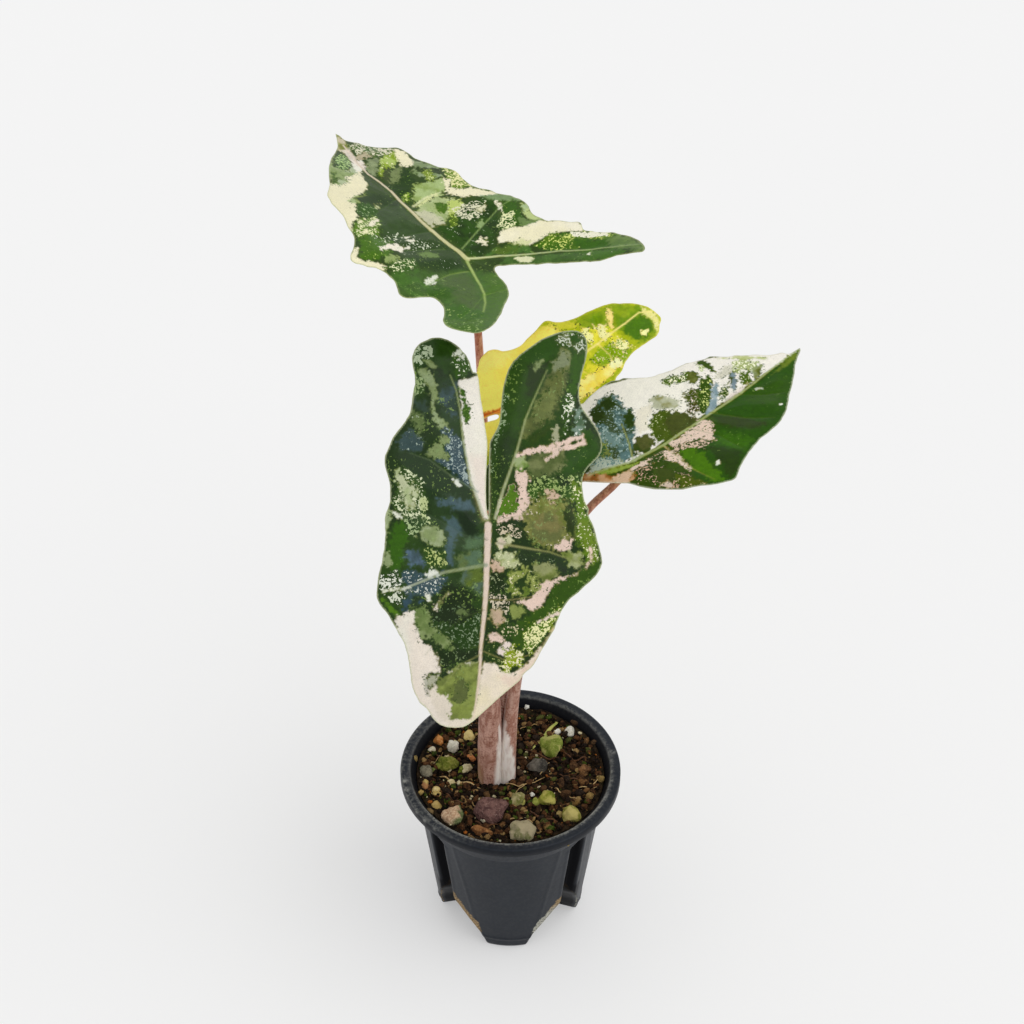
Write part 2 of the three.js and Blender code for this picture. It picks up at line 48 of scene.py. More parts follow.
# ------------------------------------------------------------------ the data
LEAVES = {
    "A": {
        "P0": [-7.83, -45.0, 246.768],
        "n": [0.11181, -0.79662, 0.59404],
        "U": [-0.14834, -0.60448, -0.78269],
        "V": [0.9826, -0.00061, -0.18576],
        "q": [0.55, 0.45, 0.06, 0, 0, 0],
        "outline": [[-0.36, 0.12], [-1.08, -0.22], [-1.81, -0.56], [-2.57, -0.81], [-3.35, -0.99], [-4.12, -1.17], [-4.9, -1.36], [-5.69, -1.51], [-6.48, -1.65], [-7.27, -1.79], [-8.05, -1.93], [-8.84, -2.07], [-9.63, -2.18], [-10.43, -2.29], [-11.22, -2.4], [-12.01, -2.52], [-12.8, -2.62], [-13.6, -2.71], [-14.4, -2.79], [-15.19, -2.88], [-15.99, -2.96], [-16.79, -3.04], [-17.58, -3.12], [-18.38, -3.2], [-19.17, -3.28], [-19.97, -3.36], [-20.77, -3.44], [-21.56, -3.52], [-22.36, -3.61], [-23.15, -3.7], [-23.95, -3.78], [-24.74, -3.91], [-25.53, -4.05], [-26.31, -4.22], [-27.07, -4.46], [-27.84, -4.7], [-28.6, -4.93], [-29.37, -5.17], [-30.13, -5.4], [-30.9, -5.63], [-31.67, -5.86], [-32.43, -6.09], [-33.2, -6.31], [-33.97, -6.52], [-34.75, -6.74], [-35.52, -6.95], [-36.28, -7.18], [-37.04, -7.43], [-37.8, -7.68], [-38.56, -7.93], [-39.33, -8.17], [-40.1, -8.38], [-40.88, -8.58], [-41.65, -8.78], [-42.42, -8.99], [-43.2, -9.17], [-43.98, -9.36], [-44.76, -9.55], [-45.54, -9.73], [-46.29, -9.99], [-47.04, -10.28], [-47.79, -10.56], [-48.08, -11.21], [-48.01, -12.01], [-48.62, -12.44], [-49.32, -12.83], [-50.04, -13.18], [-50.79, -13.44], [-51.49, -13.83], [-52.13, -14.32], [-52.8, -14.76], [-53.45, -15.22], [-53.94, -15.85], [-54.39, -16.51], [-54.94, -17.09], [-55.51, -17.65], [-55.94, -18.32], [-56.34, -19.01], [-56.67, -19.74], [-56.99, -20.48], [-57.26, -21.23], [-57.55, -21.98], [-57.65, -22.77], [-57.77, -23.56], [-57.87, -24.35], [-57.84, -25.15], [-57.71, -25.94], [-57.54, -26.73], [-57.34, -27.5], [-56.98, -28.21], [-56.52, -28.86], [-56.07, -29.53], [-55.66, -30.21], [-55.21, -30.87], [-54.65, -31.45], [-54.01, -31.92], [-53.31, -32.31], [-52.61, -32.7], [-51.84, -32.89], [-51.05, -33.02], [-50.27, -33.21], [-49.48, -33.23], [-48.69, -33.07], [-47.91, -32.89], [-47.13, -32.7], [-46.37, -32.48], [-45.63, -32.17], [-44.88, -31.88], [-44.13, -31.6], [-43.35, -31.43], [-42.56, -31.3], [-41.79, -31.1], [-40.99, -31.03], [-40.2, -31.12], [-39.4, -31.19], [-38.6, -31.21], [-37.8, -31.26], [-37.0, -31.26], [-36.2, -31.28], [-35.4, -31.24], [-34.6, -31.19], [-33.8, -31.22], [-33.0, -31.24], [-32.2, -31.27], [-31.41, -31.31], [-30.62, -31.46], [-29.88, -31.76], [-29.17, -32.13], [-28.41, -32.39], [-27.68, -32.72], [-26.99, -33.11], [-26.29, -33.5], [-25.6, -33.9], [-24.94, -34.36], [-24.25, -34.76], [-23.53, -35.12], [-22.84, -35.51], [-22.11, -35.86], [-21.35, -36.1], [-20.57, -36.27], [-19.79, -36.44], [-19.02, -36.64], [-18.24, -36.85], [-17.46, -37.03], [-16.7, -37.27], [-15.94, -37.53], [-15.15, -37.56], [-14.35, -37.47], [-13.56, -37.35], [-12.78, -37.19], [-12.02, -36.93], [-11.28, -36.63], [-10.55, -36.3], [-9.84, -35.93], [-9.11, -35.6], [-8.38, -35.27], [-7.65, -34.95], [-6.91, -34.65], [-6.13, -34.45], [-5.35, -34.29], [-4.56, -34.16], [-3.76, -34.06], [-2.97, -33.95], [-2.18, -33.82], [-1.39, -33.69], [-0.59, -33.68], [0.2, -33.78], [1.0, -33.88], [1.78, -34.03], [2.55, -34.24], [3.33, -34.42], [4.13, -34.45], [4.93, -34.46], [5.73, -34.4], [6.49, -34.16], [7.28, -34.04], [8.08, -33.99], [8.84, -33.75], [9.62, -33.55], [10.41, -33.47], [11.21, -33.44], [12.01, -33.35], [12.8, -33.28], [13.6, -33.29], [14.39, -33.15], [15.19, -33.09], [15.98, -33.16], [16.78, -33.24], [17.58, -33.25], [18.38, -33.23], [19.18, -33.16], [19.98, -33.14], [20.77, -33.25], [21.55, -33.4], [22.35, -33.46], [23.14, -33.56], [23.94, -33.63], [24.74, -33.62], [25.54, -33.64], [26.34, -33.59], [27.13, -33.52], [27.93, -33.49], [28.73, -33.43], [29.53, -33.37], [30.33, -33.31], [31.12, -33.2], [31.89, -32.99], [32.6, -32.62], [33.29, -32.21], [33.93, -31.73], [34.51, -31.18], [35.09, -30.62], [35.6, -30.01], [36.11, -29.39], [36.67, -28.82], [37.25, -28.27], [37.86, -27.75], [38.52, -27.3], [39.15, -26.81], [39.76, -26.29], [40.4, -25.82], [41.02, -25.3], [41.63, -24.79], [42.29, -24.33], [42.96, -23.89], [43.58, -23.4], [44.15, -22.83], [44.77, -22.32], [45.42, -21.87], [46.06, -21.38], [46.74, -20.97], [47.48, -20.66], [48.22, -20.34], [48.95, -20.01], [49.66, -19.65], [50.39, -19.32], [51.16, -19.11], [51.93, -18.87], [52.67, -18.57], [53.43, -18.34], [54.21, -18.14], [54.95, -17.86], [55.72, -17.62], [56.49, -17.39], [57.23, -17.11], [58.01, -16.94], [58.8, -16.77], [59.55, -16.5], [60.29, -16.19], [61.04, -15.92], [61.77, -15.58], [62.46, -15.19], [63.16, -14.8], [63.81, -14.33], [64.44, -13.85], [65.1, -13.38], [65.76, -12.93], [66.4, -12.46], [66.87, -11.82], [67.29, -11.13], [67.68, -10.43], [68.14, -9.78], [68.66, -9.17], [69.27, -8.66], [69.91, -8.18], [70.55, -7.7], [71.18, -7.2], [71.7, -6.6], [72.22, -5.99], [72.69, -5.35], [73.07, -4.64], [73.45, -3.94], [73.68, -3.18], [73.83, -2.39], [73.98, -1.61], [73.96, -0.81], [73.9, -0.01], [73.85, 0.79], [73.75, 1.58], [73.57, 2.36], [73.38, 3.14], [73.2, 3.92], [72.75, 4.57], [72.27, 5.21], [71.74, 5.81], [71.16, 6.36], [70.58, 6.91], [69.95, 7.4], [69.31, 7.89], [68.68, 8.38], [68.03, 8.85], [67.38, 9.32], [66.73, 9.79], [66.09, 10.26], [65.45, 10.74], [64.81, 11.22], [64.17, 11.7], [63.53, 12.18], [62.87, 12.65], [62.22, 13.11], [61.57, 13.58], [60.93, 14.05], [60.3, 14.54], [59.66, 15.03], [59.03, 15.52], [58.4, 16.02], [57.79, 16.53], [57.17, 17.04], [56.56, 17.55], [55.94, 18.06], [55.32, 18.57], [54.7, 19.08], [54.08, 19.59], [53.42, 20.02], [52.67, 20.28], [51.91, 20.55], [51.18, 20.88], [50.51, 21.31], [49.86, 21.77], [49.32, 22.36], [48.69, 22.85], [48.01, 23.27], [47.31, 23.66], [46.55, 23.9], [45.79, 24.16], [45.05, 24.47], [44.28, 24.67], [43.51, 24.88], [42.74, 25.1], [41.98, 25.35], [41.22, 25.61], [40.49, 25.93], [39.74, 26.21], [38.99, 26.49], [38.23, 26.74], [37.47, 26.99], [36.73, 27.29], [35.98, 27.57], [35.24, 27.88], [34.5, 28.19], [33.74, 28.44], [32.94, 28.49], [32.15, 28.56], [31.36, 28.71], [30.58, 28.89], [29.81, 29.11], [29.03, 29.28], [28.24, 29.41], [27.47, 29.61], [26.71, 29.87], [25.99, 30.21], [25.26, 30.53], [24.52, 30.85], [23.81, 31.23], [23.11, 31.61], [22.46, 32.08], [21.89, 32.63], [21.33, 33.21], [20.73, 33.73], [20.13, 34.27], [19.49, 34.74], [18.84, 35.21], [18.19, 35.68], [17.55, 36.15], [16.95, 36.69], [16.35, 37.22], [15.72, 37.71], [15.07, 38.18], [14.43, 38.65], [13.76, 39.1], [13.05, 39.47], [12.31, 39.77], [11.56, 40.04], [10.8, 40.29], [10.01, 40.4], [9.22, 40.54], [8.44, 40.4], [7.68, 40.16], [6.91, 39.94], [6.16, 39.65], [5.45, 39.29], [4.71, 38.99], [3.97, 38.67], [3.24, 38.35], [2.53, 37.98], [1.81, 37.64], [1.06, 37.34], [0.32, 37.05], [-0.43, 36.76], [-1.15, 36.42], [-1.89, 36.12], [-2.59, 35.72], [-3.29, 35.33], [-3.96, 34.91], [-4.58, 34.4], [-5.23, 33.93], [-5.93, 33.54], [-6.67, 33.23], [-7.46, 33.22], [-8.16, 33.23], [-8.81, 32.77], [-9.46, 32.3], [-10.11, 31.83], [-10.76, 31.37], [-11.47, 31.03], [-12.24, 30.8], [-13.01, 30.57], [-13.77, 30.34], [-14.55, 30.13], [-15.32, 29.93], [-16.1, 29.75], [-16.9, 29.7], [-17.7, 29.64], [-18.49, 29.67], [-19.28, 29.8], [-20.07, 29.94], [-20.8, 30.24], [-21.52, 30.6], [-22.23, 30.97], [-22.87, 31.45], [-23.51, 31.93], [-24.15, 32.41], [-24.79, 32.89], [-25.43, 33.37], [-26.07, 33.84], [-26.81, 34.16], [-27.54, 34.48], [-28.3, 34.68], [-29.1, 34.72], [-29.9, 34.74], [-30.68, 34.54], [-31.45, 34.34], [-32.21, 34.09], [-32.92, 33.73], [-33.64, 33.37], [-34.34, 32.99], [-34.99, 32.52], [-35.63, 32.04], [-36.27, 31.57], [-36.86, 31.02], [-37.43, 30.46], [-38.01, 29.91], [-38.58, 29.34], [-39.13, 28.77], [-39.69, 28.19], [-40.26, 27.63], [-40.87, 27.12], [-41.48, 26.6], [-42.12, 26.12], [-42.83, 25.74], [-43.53, 25.36], [-44.28, 25.09], [-45.05, 24.9], [-45.83, 24.71], [-46.62, 24.6], [-47.42, 24.54], [-48.22, 24.49], [-49.02, 24.45], [-49.82, 24.5], [-50.61, 24.55], [-51.41, 24.61], [-52.21, 24.67], [-53.0, 24.77], [-53.8, 24.88], [-54.59, 24.98], [-55.38, 25.09], [-56.17, 25.23], [-56.96, 25.37], [-57.75, 25.51], [-58.54, 25.6], [-59.34, 25.64], [-60.14, 25.68], [-60.94, 25.73], [-61.74, 25.66], [-62.53, 25.58], [-63.33, 25.5], [-64.1, 25.32], [-64.86, 25.05], [-65.62, 24.79], [-66.23, 24.29], [-66.82, 23.75], [-67.23, 23.09], [-67.51, 22.34], [-67.69, 21.57], [-67.65, 20.78], [-67.6, 19.98], [-67.45, 19.19], [-67.24, 18.42], [-67.04, 17.65], [-66.84, 16.87], [-66.54, 16.13], [-66.21, 15.4], [-65.88, 14.67], [-65.52, 13.96], [-65.12, 13.26], [-64.73, 12.56], [-64.34, 11.87], [-63.91, 11.19], [-63.47, 10.53], [-63.03, 9.86], [-62.53, 9.23], [-61.98, 8.65], [-61.43, 8.07], [-60.88, 7.49], [-60.33, 6.91], [-59.78, 6.32], [-59.23, 5.74], [-58.68, 5.16], [-58.11, 4.6], [-57.55, 4.03], [-56.98, 3.47], [-56.41, 2.9], [-55.78, 2.42], [-55.12, 1.95], [-54.47, 1.49], [-53.82, 1.03], [-53.09, 0.69], [-52.36, 0.36], [-51.64, 0.03], [-50.89, -0.24], [-50.1, -0.39], [-49.32, -0.55], [-48.53, -0.71], [-47.74, -0.84], [-46.95, -0.93], [-46.15, -1.01], [-45.36, -1.1], [-44.56, -1.16], [-43.76, -1.18], [-42.96, -1.2], [-42.16, -1.21], [-41.36, -1.21], [-40.56, -1.17], [-39.76, -1.13], [-38.96, -1.1], [-38.16, -1.06], [-37.36, -1.02], [-36.56, -0.98], [-35.76, -0.92], [-34.97, -0.85], [-34.17, -0.8], [-33.37, -0.85], [-32.57, -0.9], [-31.78, -1.01], [-31.01, -1.23], [-30.24, -1.44], [-29.49, -1.72], [-28.75, -2.01], [-28.0, -2.3], [-27.25, -2.59], [-26.51, -2.89], [-25.73, -3.08], [-24.95, -3.17], [-24.15, -3.08], [-23.36, -2.99], [-22.56, -2.9], [-21.77, -2.82], [-20.97, -2.74], [-20.17, -2.65], [-19.38, -2.57], [-18.59, -2.46], [-17.79, -2.36], [-17.0, -2.25], [-16.21, -2.14], [-15.41, -2.04], [-14.62, -1.93], [-13.83, -1.82], [-13.04, -1.7], [-12.24, -1.58], [-11.45, -1.46], [-10.66, -1.34], [-9.87, -1.23], [-9.08, -1.11], [-8.29, -0.99], [-7.49, -0.87], [-6.7, -0.75], [-5.91, -0.63], [-5.12, -0.51], [-4.33, -0.39], [-3.53, -0.29], [-2.74, -0.19], [-1.95, -0.09], [-1.15, 0.01]],
        "ground": '243f1d',
        "spk_col": 'c4cdb0',
        "marg": 'c9cfa6',
        "marg_w": 0.5,
        "marg_op": 0.8,
        "quilt": 1.0,
        "wave": 0.5,
        "tints": [('2f5218', 0.5, 0.75)],
        "mid": [[2.17, 0.34], [8.88, 1.22], [17.33, 2.23], [24.1, 3.18], [30.97, 3.82], [37.91, 4.33], [44.91, 4.87], [50.15, 5.7], [55.48, 6.18], [62.7, 6.61], [70.05, 6.88]],
        "cost": [[[-0.92, -1.86], [-5.67, -4.31], [-11.92, -8.0], [-18.42, -9.99], [-24.87, -12.31], [-34.7, -14.74], [-41.16, -17.01], [-45.86, -19.72]], [[-0.52, 2.32], [-10.26, 3.58], [-19.05, 5.36], [-24.31, 6.32], [-34.75, 7.62], [-40.09, 8.96], [-47.3, 11.11], [-52.74, 12.84]]],
        "lat": [[[-8.33, -4.71], [-12.58, -14.96], [-16.55, -22.39], [-17.86, -29.39]], [[-22.69, 6.89], [-25.49, 14.02], [-27.52, 20.59], [-30.05, 28.13]], [[7.74, 4.28], [7.91, 12.17], [8.07, 22.46], [10.66, 34.88]], [[0.05, 3.09], [-3.04, 12.18]], [[15.67, 1.79], [20.01, -11.6], [28.22, -25.68]], [[30.99, 3.66], [34.81, -3.27], [42.03, -9.64], [49.32, -13.57]], [[27.49, 3.75], [26.28, 11.77], [22.81, 23.18]], [[44.94, 4.7], [47.13, 13.72], [44.11, 21.8]], [[46.67, 5.01], [51.16, -1.11], [60.93, -6.32]], [[7.23, 0.79], [6.64, -6.87], [2.86, -16.03], [-0.65, -26.81]]],
        "patches": [
            ('poly', '2c4a2c', [[-45.11, -24.43], [-45.28, -16.89], [-31.47, -13.59], [-15.15, -9.17], [-4.0, -4.05], [4.14, -1.42], [14.29, -0.49], [21.26, -13.11], [10.25, -20.01], [-3.29, -20.39], [-20.37, -19.53]], {'rough': 2.0, 'soft': 1.5}),
            # painted sheen: blue-grey gloss on the blade
            ('poly', '43595f', [[-41.88, -23.29], [-43.84, -17.38], [-38.03, -15.2], [-32.08, -14.02], [-31.28, -17.0], [-33.14, -20.35], [-37.49, -23.02]], {'soft': 1.6, 'rough': 1.5, 'op': 0.75, 'c2': '31494b'}),
            ('poly', '2f5220', [[-48.41, -35.83], [-54.2, -33.9], [-57.2, -28.14], [-57.29, -21.26], [-53.44, -15.23], [-50.01, -13.05], [-45.6, -14.87], [-46.86, -19.86], [-47.67, -23.41], [-47.53, -28.53], [-40.5, -31.99]], {'soft': 1, 'rough': 1.5}),
            ('poly', None, [[-51.52, -33.53], [-54.41, -30.5], [-53.94, -27.01], [-50.48, -27.22], [-47.48, -28.86], [-47.61, -32.3]], {'spk': 0.55, 'sc': 'a9b796', 'rough': 1}),
            ('poly', '3a6413', [[-54.36, -20.18], [-54.24, -16.72], [-50.01, -13.05], [-46.38, -14.29], [-45.62, -16.94], [-49.32, -19.51]], {'spk': 0.35, 'sc': 'dfe4cd', 'rough': 1}),
            ('poly', 'e2e6d6', [[-54.47, -19.51], [-54.41, -17.78], [-52.89, -16.54], [-52.0, -17.8], [-52.84, -18.95]], {'rough': 1.2, 'soft': 0.3}),
            ('poly', '87997f', [[-49.48, -29.14], [-49.81, -27.13], [-48.17, -24.51], [-46.67, -25.33], [-47.69, -27.52]], {'rough': 0.6}),
            ('poly', '87997f', [[-46.15, -30.73], [-46.86, -28.44], [-44.56, -25.72], [-41.82, -23.63], [-38.18, -22.95], [-35.03, -23.53], [-32.22, -21.93], [-30.15, -19.92], [-28.42, -17.96], [-26.93, -18.78], [-27.62, -20.93], [-29.69, -22.94], [-32.16, -24.49], [-36.4, -25.6], [-40.01, -26.45], [-42.52, -27.83], [-44.26, -29.78]], {'rough': 0.8, 'c2': '94a58c'}),
            ('poly', '40633a', [[-41.85, -34.22], [-43.26, -29.64], [-38.86, -27.32], [-36.49, -29.37], [-36.53, -33.47]], {'spk': 0.5, 'sc': '93a672', 'rough': 1}),
            # painted sheen: blue-grey gloss on the blade
            ('poly', '43595f', [[-35.87, -33.37], [-37.05, -30.13], [-36.35, -25.94], [-32.47, -24.7], [-29.5, -26.32], [-32.96, -30.23]], {'op': 0.55, 'soft': 1.5, 'rough': 1.5}),
            ('poly', '6a7f68', [[-31.97, -30.09], [-32.0, -27.71], [-28.23, -25.8], [-24.04, -26.56], [-23.46, -28.17], [-27.05, -29.04], [-29.49, -30.75]], {'rough': 1.2, 'spk': 0.3, 'sc': 'aab69f'}),
            # painted sheen: blue-grey gloss on the blade, with pale specks
            ('poly', '43595f', [[-27.72, -20.26], [-27.29, -16.43], [-24.76, -12.98], [-19.65, -10.86], [-13.59, -8.25], [-8.23, -5.38], [-9.4, -8.99], [-12.25, -14.91], [-14.87, -20.09], [-16.55, -22.39], [-20.37, -19.53]], {'soft': 1.0, 'rough': 1.5, 'spk': 0.42, 'sc': '9aa9a4', 'c2': '34505a'}),
            ('poly', '87997f', [[-18.34, -24.01], [-22.01, -22.16], [-25.07, -19.88], [-26.04, -17.96], [-24.86, -16.76], [-22.34, -17.77], [-20.57, -18.19], [-19.17, -16.28], [-16.75, -16.6], [-18.1, -18.86], [-16.8, -20.72], [-17.5, -22.87]], {'rough': 1.0}),
            # painted sheen: blue-grey gloss on the blade
            ('poly', '43595f', [[-21.65, -33.35], [-25.67, -29.18], [-22.87, -25.36], [-19.0, -24.11], [-18.29, -28.78], [-18.45, -32.2]], {'op': 0.7, 'rough': 1.5, 'soft': 1, 'spk': 0.4, 'sc': '8fa19a'}),
            ('poly', '223f24', [[-16.7, -32.62], [-17.7, -25.97], [-15.73, -18.85], [-11.89, -12.8], [-8.13, -6.05], [-1.72, -3.36], [1.39, -5.97], [0.71, -12.94], [-3.29, -20.39], [-10.59, -28.31]], {'soft': 1.2, 'rough': 1.2}),
            ('poly', 'dcdfd2', [[-11.41, -13.75], [-11.32, -12.03], [-9.81, -10.77], [-9.28, -12.06]], {'rough': 0.5, 'soft': 0.3}),
            # painted sheen: blue-grey gloss on the blade
            ('poly', '5b7480', [[-3.92, -18.44], [-5.38, -13.19], [-4.61, -6.89], [-2.47, -5.19], [-0.88, -9.07], [-1.52, -13.97], [-1.98, -17.8]], {'op': 0.65, 'soft': 1.6, 'rough': 1.2}),
            # painted sheen: blue-grey gloss on the blade
            ('poly', '5b7480', [[2.05, -15.13], [0.75, -10.88], [3.07, -8.12], [5.06, -5.4], [6.54, -3.79], [6.12, -7.98], [8.75, -9.63], [13.29, -10.28], [17.51, -8.57], [17.9, -11.25], [13.39, -13.35], [7.57, -13.24]], {'op': 0.6, 'soft': 1.5, 'rough': 1.2}),
            ('poly', '1a3320', [[-0.87, -11.47], [-1.18, -7.06], [2.43, -3.75], [6.34, -2.45], [8.07, -4.92], [5.12, -8.14]], {'soft': 1.2, 'rough': 0.8}),
            ('poly', '3a5d26', [[-12.3, -32.64], [-12.34, -27.89], [-9.53, -24.07], [-3.15, -21.4], [3.45, -20.04], [6.59, -22.97], [4.71, -28.7], [-1.62, -31.71], [-8.24, -32.71]], {'rough': 1.5, 'spk': 0.44, 'sc': 'cdd3ae'}),
            ('poly', 'b9c09a', [[-11.39, -34.2], [-11.97, -32.59], [-8.92, -30.44], [-8.22, -28.29], [-5.82, -26.23], [-5.5, -23.8], [-3.65, -24.88], [-3.97, -27.31], [-1.8, -25.96], [-0.33, -24.38], [0.06, -27.04], [-2.3, -29.44], [-5.0, -29.51], [-7.35, -31.9]], {'rough': 1.5, 'c2': 'a5b388'}),
            ('poly', '3c5f1e', [[-4.46, -23.98], [-3.2, -21.06], [3.49, -20.38], [4.63, -18.83], [4.64, -21.22], [-0.15, -23.33]], {'spk': 0.6, 'sc': 'b9c48c', 'rough': 1}),
            ('poly', 'dfe2cf', [[2.26, -32.82], [2.58, -30.39], [4.23, -27.76], [4.57, -30.09]], {'rough': 0.8, 'soft': 0.3}),
            ('poly', '3c6d0c', [[5.91, -32.26], [4.61, -28.04], [7.55, -24.86], [13.89, -26.26], [21.44, -26.42], [25.13, -28.22], [19.38, -31.18], [12.08, -32.66]], {'rough': 1.2, 'soft': 0.8}),
            ('poly', '97a78b', [[2.93, -35.09], [1.98, -33.2], [5.15, -31.69], [8.0, -32.61], [12.13, -32.99], [8.9, -34.17]], {'rough': 1.0}),
            ('poly', '2b4f1c', [[3.95, -28.14], [3.59, -21.04], [7.44, -19.42], [10.88, -24.34], [7.84, -26.86]], {'spk': 0.45, 'sc': '9db07e', 'rough': 1.2}),
            ('poly', '87997f', [[9.4, -23.55], [6.4, -21.63], [5.63, -18.68], [5.86, -15.57], [8.52, -12.75], [11.05, -13.72], [12.35, -15.57], [11.68, -18.07], [11.06, -20.9]], {'rough': 1.0, 'c2': '9aa88f'}),
            ('stroke', '28461f', [[8.59, -22.66], [10.83, -21.62], [12.35, -17.97], [12.49, -14.18]], {'w': (1.35, 1.01), 'rough': 0.5}),
            # painted sheen: blue-grey gloss on the blade
            ('poly', '43595f', [[14.65, -26.82], [12.83, -23.7], [15.46, -20.55], [17.47, -17.84], [21.02, -18.63], [19.48, -22.3], [17.85, -25.29]], {'soft': 1.2, 'rough': 1.4, 'c2': '5b7388'}),
            ('poly', '35591b', [[12.97, -19.92], [13.44, -13.68], [17.9, -11.25], [19.96, -16.06], [16.99, -19.28]], {'spk': 0.42, 'sc': 'b5c077', 'rough': 1.2}),
            ('poly', '8fa088', [[16.13, -32.37], [15.27, -31.14], [19.23, -30.18], [21.44, -31.19], [18.9, -32.61]], {'rough': 0.8}),
            ('poly', '6a7f68', [[14.54, -9.39], [11.51, -5.06], [10.78, -0.02], [15.77, 1.12], [18.14, -3.3], [18.71, -7.34]], {'rough': 0.8, 'soft': 0.8, 'c2': '5d7a72'}),
            ('poly', '5e8077', [[8.26, -6.27], [5.47, -1.21], [8.96, 0.72], [11.22, -3.04], [11.47, -7.13]], {'rough': 0.8, 'soft': 1, 'op': 0.8}),
            ('poly', '2f4f2a', [[24.21, -33.81], [21.58, -27.42], [24.66, -24.88], [29.09, -26.9], [29.84, -32.24]], {'rough': 1.5, 'spk': 0.5, 'sc': 'dcdfd0'}),
            # painted sheen: blue-grey gloss on the blade, with pale specks
            ('poly', '43595f', [[21.49, -26.76], [20.73, -16.63], [20.97, -11.1], [25.94, -9.59], [28.64, -13.96], [30.76, -19.1], [28.71, -24.23]], {'rough': 1.8, 'soft': 1, 'spk': 0.36, 'sc': 'c9cec4', 'c2': '3b565c'}),
            ('poly', 'dfe2d6', [[20.97, -18.3], [20.01, -14.0], [21.55, -12.72], [22.75, -16.3], [22.36, -18.42]], {'rough': 0.8, 'soft': 0.3}),
            ('stroke', 'd8dac6', [[29.7, -31.24], [28.07, -27.07], [26.74, -22.5]], {'w': (0.84, 1.18), 'rough': 0.7, 'soft': 0.3}),
            ('poly', 'dadccc', [[28.44, -17.43], [27.82, -15.47], [30.43, -14.35], [31.06, -16.31]], {'rough': 0.8, 'soft': 0.3}),
            ('poly', '2c4a17', [[30.33, -30.8], [28.9, -25.57], [31.18, -22.12], [33.46, -23.46], [33.34, -27.58]], {'spk': 0.55, 'sc': 'cfd4c0', 'rough': 1.0}),
            # painted sheen: dark slate gloss on the blade
            ('poly', '36525f', [[31.51, -24.46], [28.82, -20.11], [29.7, -16.53], [32.7, -18.1], [35.22, -21.11], [35.01, -24.57]], {'rough': 1.2, 'soft': 0.8, 'c2': '2b4438'}),
            ('stroke', '5c8a16', [[32.36, -30.47], [35.38, -27.25], [36.42, -24.69]], {'w': (1.69, 1.01), 'rough': 0.8}),
            ('poly', '87997f', [[33.76, -20.67], [32.51, -16.75], [34.13, -13.39], [37.32, -11.13], [39.0, -8.08], [42.71, -4.33], [46.31, -4.74], [46.53, -8.86], [43.88, -12.78], [43.66, -16.26], [40.41, -18.19], [37.12, -19.77]], {'rough': 1.4, 'c2': '6f8768'}),
            ('poly', '58706a', [[17.85, -6.1], [16.88, 0.62], [22.51, 2.23], [26.33, 2.18], [24.79, -1.51], [22.67, -6.0]], {'rough': 1, 'soft': 0.8, 'c2': '63793f'}),
            ('poly', '1d3312', [[24.44, -11.21], [24.79, -6.34], [24.84, -1.85], [29.84, -0.32], [31.88, 2.43], [36.32, 3.2], [35.79, -0.34], [40.98, -4.63], [41.34, -9.76], [37.69, -13.83], [33.69, -15.19], [29.91, -13.06], [27.0, -12.17]], {'rough': 1.6, 'spk': 0.28, 'sc': '5f7450'}),
            ('stroke', '6f7a5a', [[27.39, -10.04], [30.83, -12.22], [32.72, -13.28]], {'w': (0.84, 1.69), 'rough': 1, 'c2': 'dcd2c2'}),
            ('poly', '6a7f68', [[31.0, -5.99], [30.27, -3.35], [33.15, -1.48], [34.51, -3.67], [33.04, -5.64]], {'rough': 1}),
            ('poly', '274a0e', [[37.01, -13.94], [36.75, -7.09], [35.3, -1.8], [32.17, 2.83], [41.43, 4.43], [45.04, 4.03], [45.84, -1.36], [42.85, -5.34], [42.03, -9.64]], {'rough': 1.5, 'spk': 0.35, 'sc': '7f9070'}),
            ('poly', '1c3408', [[47.07, -10.15], [47.1, -5.3], [45.64, -0.0], [44.89, 5.04], [48.06, 5.26], [49.22, -0.06], [50.49, -4.0], [53.58, -5.54], [53.96, -8.26], [50.55, -9.55]], {'rough': 1.0, 'spk': 0.3, 'sc': '6f8157'}),
            ('poly', 'e6e3d6', [[37.15, -24.91], [35.12, -20.44], [39.43, -18.7], [44.35, -16.15], [46.56, -11.63], [50.5, -9.21], [54.57, -7.45], [55.48, -11.46], [59.86, -11.74], [63.18, -9.41], [64.22, -3.63], [70.56, -1.41], [72.28, 2.06], [73.11, 6.41], [77.19, -3.34], [65.9, -15.89], [48.52, -20.61], [39.34, -25.58]], {'rough': 0.9, 'soft': 0.5, 'c2': 'e6dccf', 'f2': 0.08}),
            ('poly', 'b3b3a4', [[56.68, -12.29], [54.99, -10.51], [55.36, -8.01], [59.04, -8.4], [61.4, -9.72], [59.5, -11.8]], {'rough': 1.2, 'op': 0.9}),
            ('poly', 'b8b4a8', [[61.33, -11.83], [61.0, -9.45], [62.99, -8.04], [63.68, -10.36]], {'rough': 1, 'op': 0.8}),
            ('poly', 'c9c5b4', [[54.28, -5.42], [50.81, -1.17], [48.72, 3.3], [48.41, 5.32], [51.51, 3.81], [53.71, -1.34], [55.6, -4.49]], {'rough': 1.2, 'c2': '7d8c64'}),
            ('poly', 'dcd2c2', [[61.49, -10.4], [58.99, -8.06], [60.65, -4.28], [56.33, 0.52], [52.4, 7.42], [58.33, 11.28], [72.69, 9.12], [73.89, 1.31], [70.45, -5.99]], {'rough': 0.5, 'soft': 0.6, 'dk': 0.15}),
